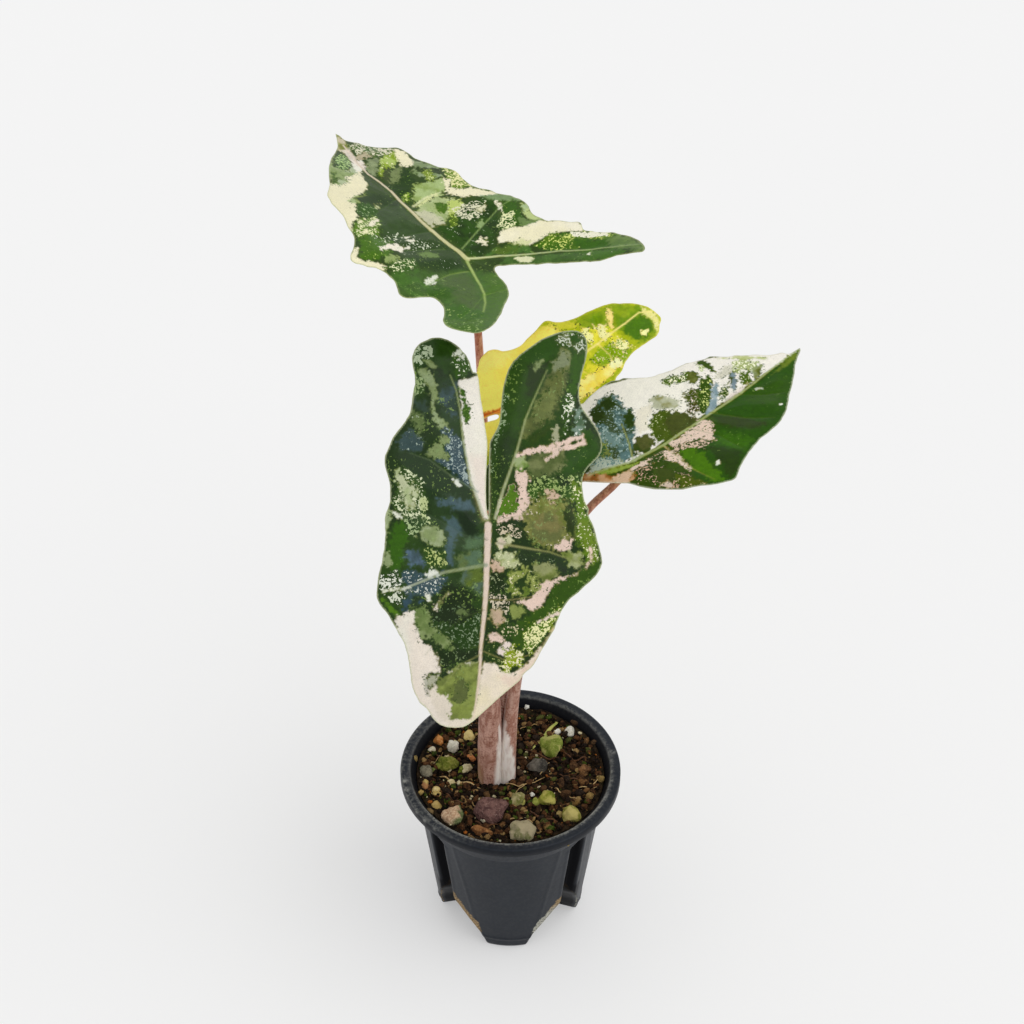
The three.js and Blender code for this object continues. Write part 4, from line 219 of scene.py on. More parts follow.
        "outline": [[-40.02, 32.24], [-39.81, 31.47], [-39.63, 30.69], [-39.48, 29.9], [-39.33, 29.12], [-39.09, 28.35], [-38.82, 27.6], [-38.53, 26.86], [-38.22, 26.12], [-37.89, 25.39], [-37.55, 24.67], [-37.19, 23.95], [-36.82, 23.24], [-36.44, 22.54], [-36.03, 21.85], [-35.61, 21.17], [-35.19, 20.49], [-34.78, 19.81], [-34.37, 19.12], [-33.97, 18.43], [-33.58, 17.73], [-33.21, 17.02], [-32.8, 16.33], [-32.34, 15.68], [-31.86, 15.04], [-31.37, 14.41], [-30.89, 13.77], [-30.43, 13.12], [-29.99, 12.45], [-29.54, 11.79], [-29.07, 11.14], [-28.6, 10.49], [-28.14, 9.84], [-27.72, 9.16], [-27.32, 8.47], [-26.93, 7.77], [-26.51, 7.09], [-26.06, 6.43], [-25.61, 5.77], [-25.16, 5.11], [-24.71, 4.45], [-24.24, 3.8], [-23.73, 3.18], [-23.2, 2.59], [-22.64, 2.02], [-22.05, 1.47], [-21.44, 0.96], [-20.81, 0.47], [-20.16, -0.0], [-19.51, -0.47], [-18.85, -0.92], [-18.17, -1.34], [-17.44, -1.67], [-16.7, -1.95], [-15.95, -2.25], [-15.2, -2.52], [-14.42, -2.69], [-13.63, -2.82], [-12.85, -2.99], [-12.1, -3.26], [-11.36, -3.55], [-10.6, -3.82], [-9.85, -4.08], [-9.12, -4.41], [-8.48, -4.89], [-7.99, -5.51], [-7.76, -6.27], [-7.85, -7.06], [-8.25, -7.74], [-8.81, -8.32], [-9.25, -8.98], [-9.61, -9.69], [-10.0, -10.4], [-10.48, -11.03], [-10.97, -11.66], [-11.51, -12.26], [-12.07, -12.83], [-12.65, -13.38], [-13.22, -13.93], [-13.78, -14.5], [-14.34, -15.08], [-14.9, -15.65], [-15.52, -16.15], [-16.24, -16.5], [-16.8, -17.05], [-17.27, -17.69], [-17.73, -18.34], [-18.24, -18.96], [-18.85, -19.48], [-19.53, -19.89], [-20.27, -20.18], [-20.97, -20.58], [-21.62, -21.04], [-22.18, -21.61], [-22.86, -22.03], [-23.57, -22.39], [-24.15, -22.93], [-24.79, -23.41], [-25.5, -23.78], [-26.2, -24.17], [-26.9, -24.55], [-27.61, -24.93], [-28.24, -25.41], [-28.96, -25.75], [-29.75, -25.89], [-30.54, -25.99], [-31.21, -26.42], [-31.94, -26.75], [-32.69, -27.02], [-33.41, -27.36], [-33.95, -27.94], [-34.45, -28.57], [-34.95, -29.19], [-35.46, -29.81], [-35.95, -30.44], [-36.4, -31.09], [-37.11, -31.45], [-37.88, -31.63], [-38.61, -31.97], [-39.37, -32.21], [-40.08, -32.56], [-40.82, -32.84], [-41.61, -33.01], [-42.37, -33.24], [-43.17, -33.27], [-43.94, -33.42], [-44.08, -34.16], [-43.72, -34.87], [-43.2, -35.48], [-42.62, -36.02], [-42.0, -36.53], [-41.35, -37.0], [-40.68, -37.44], [-40.0, -37.86], [-39.32, -38.27], [-38.63, -38.67], [-37.93, -39.06], [-37.21, -39.42], [-36.47, -39.71], [-35.71, -39.96], [-34.95, -40.21], [-34.19, -40.45], [-33.42, -40.68], [-32.65, -40.88], [-31.86, -41.01], [-31.06, -41.1], [-30.27, -41.18], [-29.47, -41.17], [-28.67, -41.15], [-27.87, -41.2], [-27.07, -41.25], [-26.28, -41.33], [-25.49, -41.44], [-24.7, -41.35], [-23.93, -41.12], [-23.17, -40.87], [-22.42, -40.6], [-21.67, -40.32], [-20.94, -40.0], [-20.2, -39.7], [-19.41, -39.54], [-18.62, -39.48], [-17.84, -39.3], [-17.09, -39.03], [-16.35, -38.73], [-15.57, -38.55], [-14.78, -38.66], [-14.04, -38.96], [-13.36, -39.37], [-12.7, -39.82], [-12.02, -40.25], [-11.27, -40.5], [-10.47, -40.52], [-9.72, -40.29], [-9.15, -39.72], [-8.53, -39.22], [-7.86, -38.79], [-7.13, -38.47], [-6.39, -38.15], [-5.66, -37.84], [-4.96, -37.45], [-4.32, -36.97], [-3.7, -36.46], [-3.09, -35.95], [-2.53, -35.38], [-2.07, -34.73], [-1.41, -34.3], [-0.63, -34.11], [0.16, -33.99], [0.94, -33.82], [1.69, -33.56], [2.46, -33.32], [3.24, -33.17], [4.04, -33.12], [4.83, -33.2], [5.61, -33.39], [6.35, -33.69], [7.08, -34.02], [7.79, -34.37], [8.55, -34.64], [9.33, -34.79], [10.13, -34.89], [10.92, -34.91], [11.72, -34.84], [12.52, -34.77], [13.3, -34.63], [14.03, -34.31], [14.78, -34.02], [15.56, -33.83], [16.33, -33.65], [17.06, -33.32], [17.69, -32.83], [18.35, -32.39], [19.02, -31.95], [19.68, -31.49], [20.34, -31.05], [21.06, -30.71], [21.85, -30.57], [22.64, -30.48], [23.4, -30.22], [24.11, -29.87], [24.77, -29.41], [25.43, -28.96], [26.07, -28.49], [26.71, -28.01], [27.44, -27.69], [28.2, -27.42], [28.93, -27.11], [29.7, -26.89], [30.49, -26.79], [31.29, -26.78], [32.09, -26.8], [32.89, -26.84], [33.69, -26.88], [34.48, -26.93], [35.28, -27.05], [36.05, -27.25], [36.82, -27.47], [37.61, -27.6], [38.4, -27.68], [39.2, -27.73], [39.99, -27.61], [40.75, -27.38], [41.47, -27.04], [42.18, -26.67], [42.87, -26.26], [43.45, -25.71], [43.99, -25.12], [44.61, -24.62], [45.33, -24.29], [46.09, -24.04], [46.85, -23.77], [47.61, -23.54], [48.36, -23.25], [49.09, -22.95], [49.84, -22.66], [50.56, -22.31], [51.27, -21.94], [52.01, -21.63], [52.76, -21.36], [53.5, -21.06], [54.28, -20.91], [55.08, -20.94], [55.87, -21.06], [56.66, -21.1], [57.46, -21.08], [58.26, -21.02], [59.06, -20.93], [59.85, -20.86], [60.64, -20.75], [61.42, -20.55], [62.15, -20.24], [62.8, -19.78], [63.24, -19.12], [63.56, -18.39], [63.89, -17.66], [64.24, -16.94], [64.62, -16.24], [65.02, -15.54], [65.41, -14.84], [65.8, -14.14], [66.22, -13.47], [66.69, -12.82], [67.18, -12.19], [67.76, -11.64], [68.26, -11.01], [68.77, -10.4], [69.42, -9.94], [70.14, -9.59], [70.87, -9.27], [71.59, -8.93], [72.14, -8.36], [72.56, -7.68], [73.07, -7.07], [73.66, -6.53], [74.18, -5.92], [74.84, -5.49], [75.62, -5.31], [76.41, -5.31], [77.2, -5.43], [77.99, -5.56], [78.78, -5.5], [79.52, -5.19], [80.04, -5.03], [80.0, -5.12], [79.37, -4.62], [78.7, -4.19], [78.03, -3.76], [77.36, -3.32], [76.71, -2.85], [76.08, -2.36], [75.44, -1.87], [74.8, -1.4], [74.15, -0.94], [73.5, -0.47], [72.88, 0.04], [72.29, 0.58], [71.73, 1.14], [71.19, 1.73], [70.67, 2.34], [70.15, 2.95], [69.65, 3.57], [69.15, 4.19], [68.65, 4.82], [68.15, 5.45], [67.67, 6.08], [67.18, 6.72], [66.72, 7.37], [66.26, 8.02], [65.8, 8.68], [65.35, 9.34], [64.88, 9.99], [64.39, 10.61], [63.87, 11.23], [63.35, 11.84], [62.82, 12.43], [62.28, 13.02], [61.73, 13.61], [61.19, 14.19], [60.64, 14.77], [60.11, 15.37], [59.57, 15.96], [59.01, 16.53], [58.43, 17.09], [57.84, 17.62], [57.23, 18.14], [56.63, 18.66], [56.02, 19.18], [55.41, 19.7], [54.8, 20.22], [54.19, 20.74], [53.58, 21.25], [52.95, 21.75], [52.32, 22.24], [51.68, 22.72], [51.04, 23.2], [50.4, 23.68], [49.76, 24.16], [49.13, 24.65], [48.52, 25.16], [47.95, 25.72], [47.4, 26.3], [46.86, 26.89], [46.31, 27.48], [45.76, 28.05], [45.22, 28.64], [44.7, 29.25], [44.18, 29.86], [43.62, 30.43], [43.02, 30.95], [42.34, 31.37], [41.6, 31.67], [40.83, 31.88], [40.07, 32.12], [39.33, 32.43], [38.57, 32.7], [37.79, 32.84], [36.99, 32.8], [36.2, 32.69], [35.4, 32.7], [34.6, 32.72], [33.8, 32.73], [33.01, 32.79], [32.21, 32.84], [31.42, 32.95], [30.66, 33.22], [29.93, 33.53], [29.2, 33.85], [28.46, 34.17], [27.75, 34.54], [27.04, 34.9], [26.29, 35.17], [25.51, 35.36], [24.72, 35.45], [23.93, 35.51], [23.14, 35.68], [22.38, 35.92], [21.65, 36.23], [20.95, 36.62], [20.29, 37.08], [19.67, 37.58], [19.06, 38.1], [18.47, 38.63], [17.89, 39.18], [17.33, 39.75], [16.79, 40.35], [16.28, 40.96], [15.76, 41.57], [15.26, 42.19], [14.81, 42.85], [14.37, 43.52], [13.85, 44.12], [13.23, 44.64], [12.59, 45.11], [11.9, 45.51], [11.12, 45.47], [10.41, 45.11], [9.84, 44.56], [9.54, 43.82], [9.18, 43.1], [8.73, 42.45], [8.15, 41.9], [7.55, 41.37], [7.25, 40.63], [7.04, 39.86], [6.76, 39.12], [6.33, 38.45], [5.71, 37.95], [5.09, 37.43], [4.44, 36.97], [3.77, 36.54], [3.01, 36.3], [2.22, 36.22], [1.42, 36.15], [0.66, 35.93], [-0.13, 35.8], [-0.92, 35.89], [-1.68, 36.13], [-2.4, 36.48], [-3.12, 36.83], [-3.84, 37.18], [-4.54, 37.56], [-5.22, 37.98], [-5.93, 38.35], [-6.69, 38.57], [-7.49, 38.53], [-8.24, 38.3], [-8.85, 37.78], [-9.29, 37.11], [-9.59, 36.37], [-9.85, 35.62], [-10.09, 34.85], [-10.25, 34.07], [-10.31, 33.27], [-10.45, 32.49], [-10.7, 31.73], [-10.97, 30.97], [-11.22, 30.22], [-11.47, 29.46], [-11.77, 28.72], [-12.27, 28.11], [-12.99, 27.76], [-13.78, 27.67], [-14.58, 27.71], [-15.37, 27.8], [-16.15, 28.0], [-16.9, 28.25], [-17.66, 28.52], [-18.38, 28.87], [-19.04, 29.31], [-19.67, 29.8], [-20.27, 30.33], [-20.86, 30.87], [-21.44, 31.42], [-22.01, 31.98], [-22.56, 32.56], [-23.09, 33.16], [-23.6, 33.78], [-24.09, 34.41], [-24.6, 35.03], [-25.17, 35.59], [-25.8, 36.08], [-26.46, 36.52], [-27.15, 36.93], [-27.86, 37.29], [-28.61, 37.56], [-29.4, 37.69], [-30.2, 37.72], [-31.0, 37.7], [-31.79, 37.6], [-32.56, 37.39], [-33.34, 37.22], [-34.12, 37.04], [-34.89, 36.84], [-35.64, 36.55], [-36.42, 36.39], [-37.16, 36.11], [-37.92, 35.85], [-38.71, 35.73], [-39.24, 35.23], [-39.68, 34.56], [-39.93, 33.83], [-39.98, 33.03]],
        "ground": '355322',
        "spk_col": 'd9dfc0',
        "marg": 'cdd3a2',
        "marg_w": 0.45,
        "marg_op": 0.6,
        "quilt": 0.8,
        "wave": 0.4,
        "tints": [('46682e', 0.5, 0.8)],
        "mid": [[0.36, 0.16], [5.02, 0.4], [13.13, 1.98], [20.93, 2.42], [28.05, 2.01], [35.44, 1.89], [42.18, 0.9], [47.43, 1.23], [52.89, 2.39], [59.48, 1.59], [66.08, -0.19], [72.08, -1.9]],
        "cost": [[[0.76, -0.19], [-4.52, -10.84], [-12.56, -21.65], [-17.02, -26.34], [-27.9, -32.97], [-33.67, -35.46], [-39.87, -37.12]], [[-0.46, 0.88], [-5.53, 3.03], [-13.42, 6.63], [-18.73, 9.95], [-23.85, 14.67], [-28.64, 20.6]]],
        "lat": [[[5.61, -1.99], [10.13, -14.14], [14.58, -27.1], [14.63, -31.69]], [[31.43, -0.94], [33.52, -8.4], [32.98, -15.0]], [[-4.97, 4.45], [-4.04, 12.34], [-6.49, 26.5]], [[7.56, 4.47], [11.0, 20.93]], [[36.94, 3.05], [32.63, 14.3], [27.48, 26.04]], [[17.53, 2.97], [17.98, 12.41], [18.0, 26.92]], [[42.7, 0.44], [49.84, -6.63], [56.27, -14.99]], [[-19.27, 10.49], [-25.55, 23.49], [-28.29, 33.2]], [[-19.27, 10.49], [-19.67, 4.18], [-20.67, 0.44]]],
        "patches": [
            ('poly', '3d5c3d', [[41.12, 16.74], [39.85, 5.45], [33.88, 3.28], [17.53, 2.97], [3.05, 1.16], [-5.93, 6.8], [-2.88, 16.14], [9.66, 24.48], [19.94, 22.87], [30.64, 20.92]], {'rough': 1.0, 'soft': 1.5, 'c2': '35552a'}),
            ('poly', '4b7a3a', [[3.73, 31.87], [-1.79, 19.98], [-4.35, 2.91], [-12.06, -4.1], [-24.84, 1.42], [-40.07, 25.08], [-39.1, 37.6], [-27.08, 38.8], [-14.44, 26.7], [-7.88, 39.32], [0.17, 37.14]], {'rough': 1.0, 'soft': 2, 'c2': '48703a'}),
            ('poly', '527048', [[-3.32, 16.53], [-5.61, 6.01], [-15.12, 9.25], [-25.55, 17.85], [-25.55, 23.49], [-15.89, 23.36], [-8.51, 22.16]], {'rough': 1.0, 'soft': 2.5, 'op': 0.8}),
            ('poly', '4d7a2c', [[-8.82, 0.32], [-11.63, -3.58], [-21.58, -0.51], [-34.69, 16.79], [-37.59, 26.92], [-24.6, 14.98]], {'rough': 1, 'soft': 2}),
            ('poly', '3c6c12', [[-7.95, 27.33], [-8.76, 21.44], [-12.66, 17.92], [-15.89, 23.36], [-12.93, 27.16], [-10.47, 28.66]], {'rough': 1.2, 'soft': 1.2}),
            ('poly', '3f7410', [[-19.66, 29.31], [-21.4, 23.07], [-27.07, 21.3], [-31.84, 23.5], [-31.28, 29.38], [-26.63, 32.91], [-23.26, 32.8]], {'rough': 1.2, 'soft': 1, 'spk': 0.25, 'sc': 'a9c06a'}),
            ('poly', '4c7a22', [[-25.18, 35.13], [-31.28, 29.38], [-33.5, 24.35], [-40.65, 32.99], [-35.0, 37.77], [-28.75, 37.74]], {'rough': 1, 'soft': 1, 'spk': 0.3, 'sc': '9fbc6c'}),
            ('poly', 'ece6c4', [[49.34, 26.27], [49.09, 20.65], [55.4, 9.21], [55.1, 4.45], [48.97, 8.37], [45.27, 9.13], [41.12, 16.74], [38.76, 22.68], [35.45, 23.57], [29.84, 27.39], [27.2, 31.52], [23.64, 35.42], [24.05, 37.88], [33.84, 33.54], [42.44, 33.02]], {'rough': 0.7, 'soft': 0.35, 'c2': 'e6e0be', 'f2': 0.1}),
            ('poly', '9fb47c', [[37.97, 26.26], [39.66, 19.96], [40.31, 14.48], [37.84, 13.67], [35.68, 20.46], [36.25, 25.79]], {'rough': 0.8, 'op': 0.9}),
            ('poly', '2c4a26', [[38.67, 21.78], [40.22, 13.57], [39.3, 5.94], [34.92, 2.35], [33.15, 5.91], [35.38, 12.87], [35.68, 20.46]], {'rough': 0.6, 'soft': 0.6}),
            ('poly', '38661a', [[35.5, 24.02], [35.28, 16.9], [31.59, 15.21], [28.72, 19.17], [29.0, 25.22], [30.82, 26.56]], {'rough': 1.2, 'spk': 0.3, 'sc': '8fa872'}),
            ('poly', 'b9c094', [[35.01, 14.67], [35.74, 11.07], [32.63, 14.3], [33.38, 15.61]], {'rough': 0.8}),
            ('poly', '5f8a1c', [[27.26, 31.94], [29.12, 26.09], [29.78, 18.73], [26.54, 19.6], [19.98, 26.19], [19.04, 32.67], [19.79, 36.74], [23.64, 35.42]], {'rough': 1.2, 'spk': 0.45, 'sc': 'dfe3ae'}),
            ('poly', 'ece5cc', [[24.55, 28.05], [27.11, 23.47], [28.22, 19.6], [26.6, 20.03], [24.98, 23.84], [24.28, 26.36]], {'rough': 0.6, 'soft': 0.25}),
            ('poly', 'e8e4b8', [[27.55, 30.28], [28.45, 25.21], [26.7, 28.13], [26.54, 30.65]], {'rough': 0.7, 'soft': 0.25}),
            ('poly', 'e8e4b8', [[22.18, 32.88], [23.14, 29.23], [21.55, 29.15], [20.99, 31.99]], {'rough': 0.7, 'soft': 0.25}),
            ('poly', '4a7a08', [[19.64, 35.93], [19.28, 28.21], [16.16, 22.74], [9.05, 28.8], [8.41, 34.97], [9.66, 40.41], [12.0, 42.17], [16.25, 39.17]], {'rough': 1.4, 'soft': 0.8, 'spk': 0.25, 'sc': 'a9c25c'}),
            ('poly', 'ece6c4', [[12.71, 45.24], [15.82, 41.82], [17.46, 37.72], [15.24, 39.08], [12.09, 42.56], [9.84, 41.18], [7.76, 36.43], [5.2, 33.91], [4.35, 36.47], [7.24, 42.38], [9.74, 46.71]], {'rough': 0.6, 'soft': 0.3}),
            ('poly', 'f1e9d8', [[13.62, 31.09], [14.66, 25.94], [14.55, 22.68], [13.15, 21.0], [11.54, 20.95], [9.93, 23.29], [11.06, 26.15], [12.17, 29.01], [12.23, 31.79]], {'rough': 0.8, 'soft': 0.25}),
            ('poly', 'e9e6d2', [[12.44, 20.17], [12.38, 17.32], [11.11, 18.91], [11.54, 20.95]], {'rough': 0.4, 'soft': 0.25}),
            ('poly', 'e9e6d2', [[17.53, 15.74], [17.34, 12.0], [16.56, 13.66], [16.51, 16.15]], {'rough': 0.4, 'soft': 0.25}),
            ('poly', 'e9e6d2', [[15.49, 16.55], [15.18, 12.43], [13.87, 14.07], [14.39, 16.53]], {'rough': 0.5, 'soft': 0.25}),
            ('poly', None, [[20.2, 27.44], [18.46, 11.99], [9.93, 4.81], [7.21, 7.22], [8.78, 22.84], [13.94, 32.7]], {'spk': 0.3, 'sc': 'd5dcc0', 'rough': 1.5}),
            ('poly', '6f8f68', [[8.59, 17.23], [8.44, 12.01], [5.63, 9.6], [3.52, 11.95], [4.83, 17.11], [6.72, 18.37]], {'rough': 0.8, 'soft': 0.4}),
            ('poly', '8ea573', [[8.15, 33.79], [9.57, 28.83], [7.67, 27.13], [5.35, 28.14], [6.03, 33.22]], {'rough': 1.0}),
            ('poly', '3c6c10', [[5.57, 35.46], [5.96, 28.58], [6.21, 20.73], [2.39, 22.11], [1.25, 27.84], [3.19, 33.72]], {'rough': 1.2, 'spk': 0.4, 'sc': 'dbe0b0'}),
            ('poly', '2a4c1c', [[7.28, 20.78], [2.77, 11.16], [0.73, 4.18], [-2.38, 5.01], [-1.57, 14.97], [2.39, 22.11]], {'rough': 1.0, 'soft': 1, 'spk': 0.18, 'sc': 'c8d0bc'}),
            ('poly', 'dfe3d0', [[-3.85, 24.18], [-3.42, 19.98], [-6.2, 21.98], [-5.84, 24.98]], {'rough': 1.0, 'soft': 0.25}),
            ('poly', 'dfe3d0', [[-2.99, 19.59], [-3.43, 18.07], [-4.64, 19.63], [-4.3, 20.76]], {'rough': 0.4, 'soft': 0.25}),
            ('poly', '7d8a44', [[82.76, -6.09], [73.59, -4.16], [68.72, -3.43], [65.77, 3.08], [69.93, 2.96], [76.59, -1.33]], {'rough': 0.8, 'soft': 0.5, 'c2': 'c9bfa2'}),
            ('poly', '3d6a22', [[64.53, 9.72], [67.18, 3.86], [64.25, 1.41], [57.85, 6.05], [54.88, 12.16], [56.84, 14.93]], {'rough': 1.2, 'soft': 0.5, 'spk': 0.5, 'sc': 'a5c27a'}),
            ('poly', 'a9b794', [[63.2, 13.39], [65.87, 8.04], [58.1, 14.84], [54.29, 13.18], [55.35, 8.25], [59.04, 3.98], [52.73, 7.55], [50.65, 15.35], [47.13, 17.43], [46.22, 22.13], [48.65, 23.95], [53.31, 21.92]], {'rough': 1.0, 'soft': 0.5, 'c2': '8aa276'}),
            ('poly', '49702c', [[55.67, 18.92], [54.4, 17.05], [48.54, 21.61], [47.54, 24.9]], {'rough': 1.0, 'soft': 0.5}),
            ('poly', 'eceadb', [[62.89, 1.6], [61.93, -2.5], [54.91, 2.61], [54.01, 7.42], [57.85, 6.05]], {'rough': 0.8, 'soft': 0.5}),
            ('poly', 'e6d9cc', [[69.84, 1.52], [68.97, -2.67], [62.4, -0.95], [54.24, -0.76], [54.91, 2.61], [61.71, 3.64]], {'rough': 0.6, 'soft': 0.6, 'op': 0.8}),
            ('poly', '3e7009', [[72.19, -3.94], [71.51, -9.68], [66.43, -12.61], [62.96, -17.84], [59.66, -16.94], [58.99, -9.63], [61.4, -3.98], [66.46, -1.5]], {'rough': 1.4, 'spk': 0.5, 'sc': 'd7d3b8', 'c2': '57771e'}),
            ('poly', 'b5ac96', [[65.1, -1.31], [64.9, -5.99], [61.89, -6.32], [60.84, -1.56], [62.02, 0.37]], {'rough': 1.2, 'soft': 0.4}),
            ('poly', 'a9be64', [[59.31, -8.94], [60.73, -14.97], [59.94, -19.09], [55.18, -16.93], [53.62, -11.77], [51.96, -6.52], [48.56, -1.71], [51.4, -1.24], [56.53, -5.62]], {'rough': 1.3, 'spk': 0.3, 'sc': 'e9e6b8', 'c2': '86a32c'}),
            ('poly', '7f9084', [[60.33, -3.07], [59.62, -8.25], [53.46, -3.0], [50.73, 1.31], [54.79, 1.72]], {'rough': 1.0, 'c2': '8fa08c'}),
            ('poly', 'ece6c4', [[62.08, -18.04], [59.18, -20.36], [53.67, -19.46], [49.22, -17.08], [49.91, -13.38], [53.1, -12.76], [56.62, -14.33]], {'rough': 0.8, 'soft': 0.35}),
            ('poly', '46583a', [[53.58, -5.99], [52.31, -8.73], [47.39, -4.55], [46.26, -0.7], [49.85, -1.84]], {'rough': 1.4}),
            ('poly', '7c9078', [[52.31, -8.73], [51.45, -11.83], [46.4, -9.43], [43.56, -4.15], [46.72, -3.02]], {'rough': 1.2, 'soft': 0.5}),
            ('poly', '264a08', [[43.96, 0.32], [44.84, -4.28], [50.26, -12.73], [49.19, -14.67], [45.01, -12.05], [41.13, -11.58], [40.33, -8.05], [35.72, -4.13], [32.56, 0.5], [35.44, 1.89], [39.33, 2.42]], {'rough': 1.2, 'spk': 0.2, 'sc': '7da23a'}),
            ('poly', '6c9412', [[38.19, -1.47], [38.21, -4.35], [35.72, -4.13], [33.53, -0.35], [35.24, 1.09]], {'rough': 1.0, 'spk': 0.4, 'sc': 'c9d67a'}),
            ('poly', '8fa392', [[49.79, -16.13], [53.28, -20.08], [48.58, -22.7], [43.8, -25.21], [38.77, -19.96], [39.29, -14.75], [42.99, -13.17], [45.96, -12.86]], {'rough': 1.2, 'soft': 0.5, 'c2': '7c9580'}),
            ('poly', '2f4a18', [[48.34, -14.9], [45.36, -20.89], [44.22, -24.63], [41.14, -24.81], [40.58, -21.51], [43.74, -16.65]], {'rough': 1.2}),
            ('poly', '7f9a3c', [[45.99, -17.64], [44.03, -20.69], [39.96, -18.15], [36.2, -13.05], [40.96, -14.28]], {'rough': 1.2, 'spk': 0.4, 'sc': 'c9d48c'}),
            ('poly', '92aa6c', [[41.26, -8.84], [38.92, -15.37], [38.77, -19.96], [35.77, -20.21], [30.89, -15.1], [29.98, -7.74], [31.12, -3.06], [35.12, -2.67]], {'rough': 1.4, 'soft': 0.6, 'c2': 'a9bd80'}),
            ('poly', '6d9220', [[43.8, -25.21], [40.3, -28.77], [34.13, -28.15], [29.83, -26.32], [29.41, -21.32], [32.32, -19.14], [37.55, -21.73]], {'rough': 1.2, 'spk': 0.5, 'sc': 'e5e2a4'}),
            ('poly', 'ece6c4', [[38.16, -20.85], [36.25, -21.56], [32.32, -19.14], [28.99, -21.89], [28.98, -25.6], [25.48, -28.15], [21.06, -30.8], [19.51, -28.56], [23.06, -24.24], [25.6, -18.99], [30.5, -15.7]], {'rough': 0.8, 'soft': 0.35}),
            ('poly', 'd6dc9c', [[31.74, -1.69], [33.14, -6.67], [34.18, -14.15], [31.65, -13.87], [30.33, -7.1], [29.01, -2.2]], {'rough': 0.8, 'soft': 0.4}),
            ('poly', 'a4b67c', [[30.8, -3.73], [31.53, -11.88], [27.6, -16.03], [23.91, -17.55], [21.66, -10.98], [17.75, -4.86], [18.26, -1.54], [23.0, -1.8], [27.72, 0.84]], {'rough': 1.0, 'soft': 0.6, 'c2': 'b3c088'}),
            ('poly', 'b9c96c', [[27.04, -12.75], [25.16, -17.68], [21.44, -17.3], [20.52, -12.8], [18.7, -7.52], [22.78, -9.13]], {'rough': 1.3, 'spk': 0.3, 'sc': 'e6e4b0'}),
            ('poly', 'cbc9ac', [[28.92, 0.76], [25.95, -3.37], [21.32, -5.08], [16.92, -4.15], [18.26, -1.54], [19.14, 0.57], [24.13, 1.06]], {'rough': 0.8, 'soft': 0.6, 'op': 0.85}),
            ('poly', '4c7a0e', [[28.39, -8.27], [28.17, -10.9], [25.76, -11.66], [23.02, -9.79], [22.48, -7.47], [24.4, -6.29]], {'rough': 0.8, 'soft': 0.4}),
            ('poly', '254608', [[19.44, -1.6], [16.92, -4.15], [20.52, -12.8], [21.45, -19.16], [20.94, -25.19], [18.36, -26.67], [14.63, -26.24], [7.98, -20.58], [1.13, -12.94], [-1.11, -6.47], [1.46, -2.19], [7.49, -1.73], [12.74, -0.58]], {'rough': 1.3, 'soft': 0.5, 'spk': 0.2, 'sc': 'a9b894', 'c2': '2f5a08'}),
            ('poly', '5a7c14', [[20.73, -8.32], [20.07, -11.49], [14.76, -7.9], [14.22, -4.65], [17.58, -5.17]], {'rough': 1.0, 'spk': 0.4, 'sc': 'b9cf5a'}),
            ('poly', None, [[23.35, -12.41], [22.28, -19.87], [19.31, -23.81], [14.89, -19.12], [15.69, -12.4], [18.79, -9.46]], {'spk': 0.5, 'sc': 'd9d8b8', 'rough': 1.2}),
            ('poly', 'd9d6b4', [[17.76, -17.87], [18.54, -21.31], [18.28, -23.39], [17.07, -22.36], [16.11, -19.24]], {'rough': 0.7, 'soft': 0.3}),
            ('poly', '8ba77c', [[12.91, -14.67], [13.29, -17.76], [11.3, -16.98], [9.73, -13.81], [11.32, -13.31]], {'rough': 0.8}),
            ('poly', 'ece6c8', [[5.6, -8.0], [6.59, -11.14], [5.03, -10.74], [3.09, -10.94], [1.94, -9.97], [3.49, -8.52]], {'rough': 0.9, 'soft': 0.25}),
            ('poly', 'ece6c8', [[5.42, -11.07], [5.02, -12.57], [4.25, -11.92]], {'rough': 0.4, 'soft': 0.25}),
            ('poly', '7d9c84', [[22.63, -24.79], [20.26, -30.11], [16.97, -33.67], [12.16, -34.99], [12.44, -32.54], [16.55, -28.78], [20.09, -25.39]], {'rough': 0.6, 'soft': 0.6}),
            ('poly', 'eee7cc', [[17.29, -27.13], [15.93, -28.71], [13.06, -28.08], [10.95, -25.83], [11.44, -24.43], [14.07, -25.3]], {'rough': 0.8, 'soft': 0.25}),
            ('poly', '3a6c08', [[15.76, -28.11], [14.55, -32.52], [11.11, -33.21], [6.84, -30.49], [2.79, -26.15], [2.3, -22.12], [3.68, -18.75], [8.37, -20.91]], {'rough': 1.2, 'soft': 0.5, 'spk': 0.2, 'sc': '9ab648'}),
            ('poly', None, [[12.27, -24.23], [9.15, -27.93], [3.37, -23.94], [3.25, -19.3], [6.82, -19.59]], {'spk': 0.55, 'sc': 'e6e8b4', 'rough': 1.0}),
            ('poly', 'a3b98c', [[11.49, -33.53], [9.67, -34.68], [6.46, -33.75], [3.27, -32.84], [0.26, -33.85], [0.59, -31.47], [3.66, -29.59], [8.07, -30.63]], {'rough': 0.8, 'soft': 0.5, 'c2': 'b9c884'}),
            ('poly', '6f8f6c', [[5.5, -27.55], [1.53, -30.47], [0.01, -32.75], [-0.22, -28.1], [1.29, -24.89]], {'rough': 0.9, 'soft': 0.5}),
            ('poly', 'ece6c4', [[2.42, -15.41], [4.1, -18.19], [3.05, -22.76], [0.4, -25.93], [-0.35, -32.45], [-4.59, -37.62], [-9.82, -40.8], [-13.45, -40.09], [-15.25, -37.57], [-11.54, -34.06], [-8.61, -30.57], [-7.94, -25.85], [-7.4, -20.96], [-4.2, -17.47], [-1.37, -17.2], [-0.06, -13.76]], {'rough': 0.6, 'soft': 0.35, 'c2': 'f0ebd4', 'f2': 0.1}),
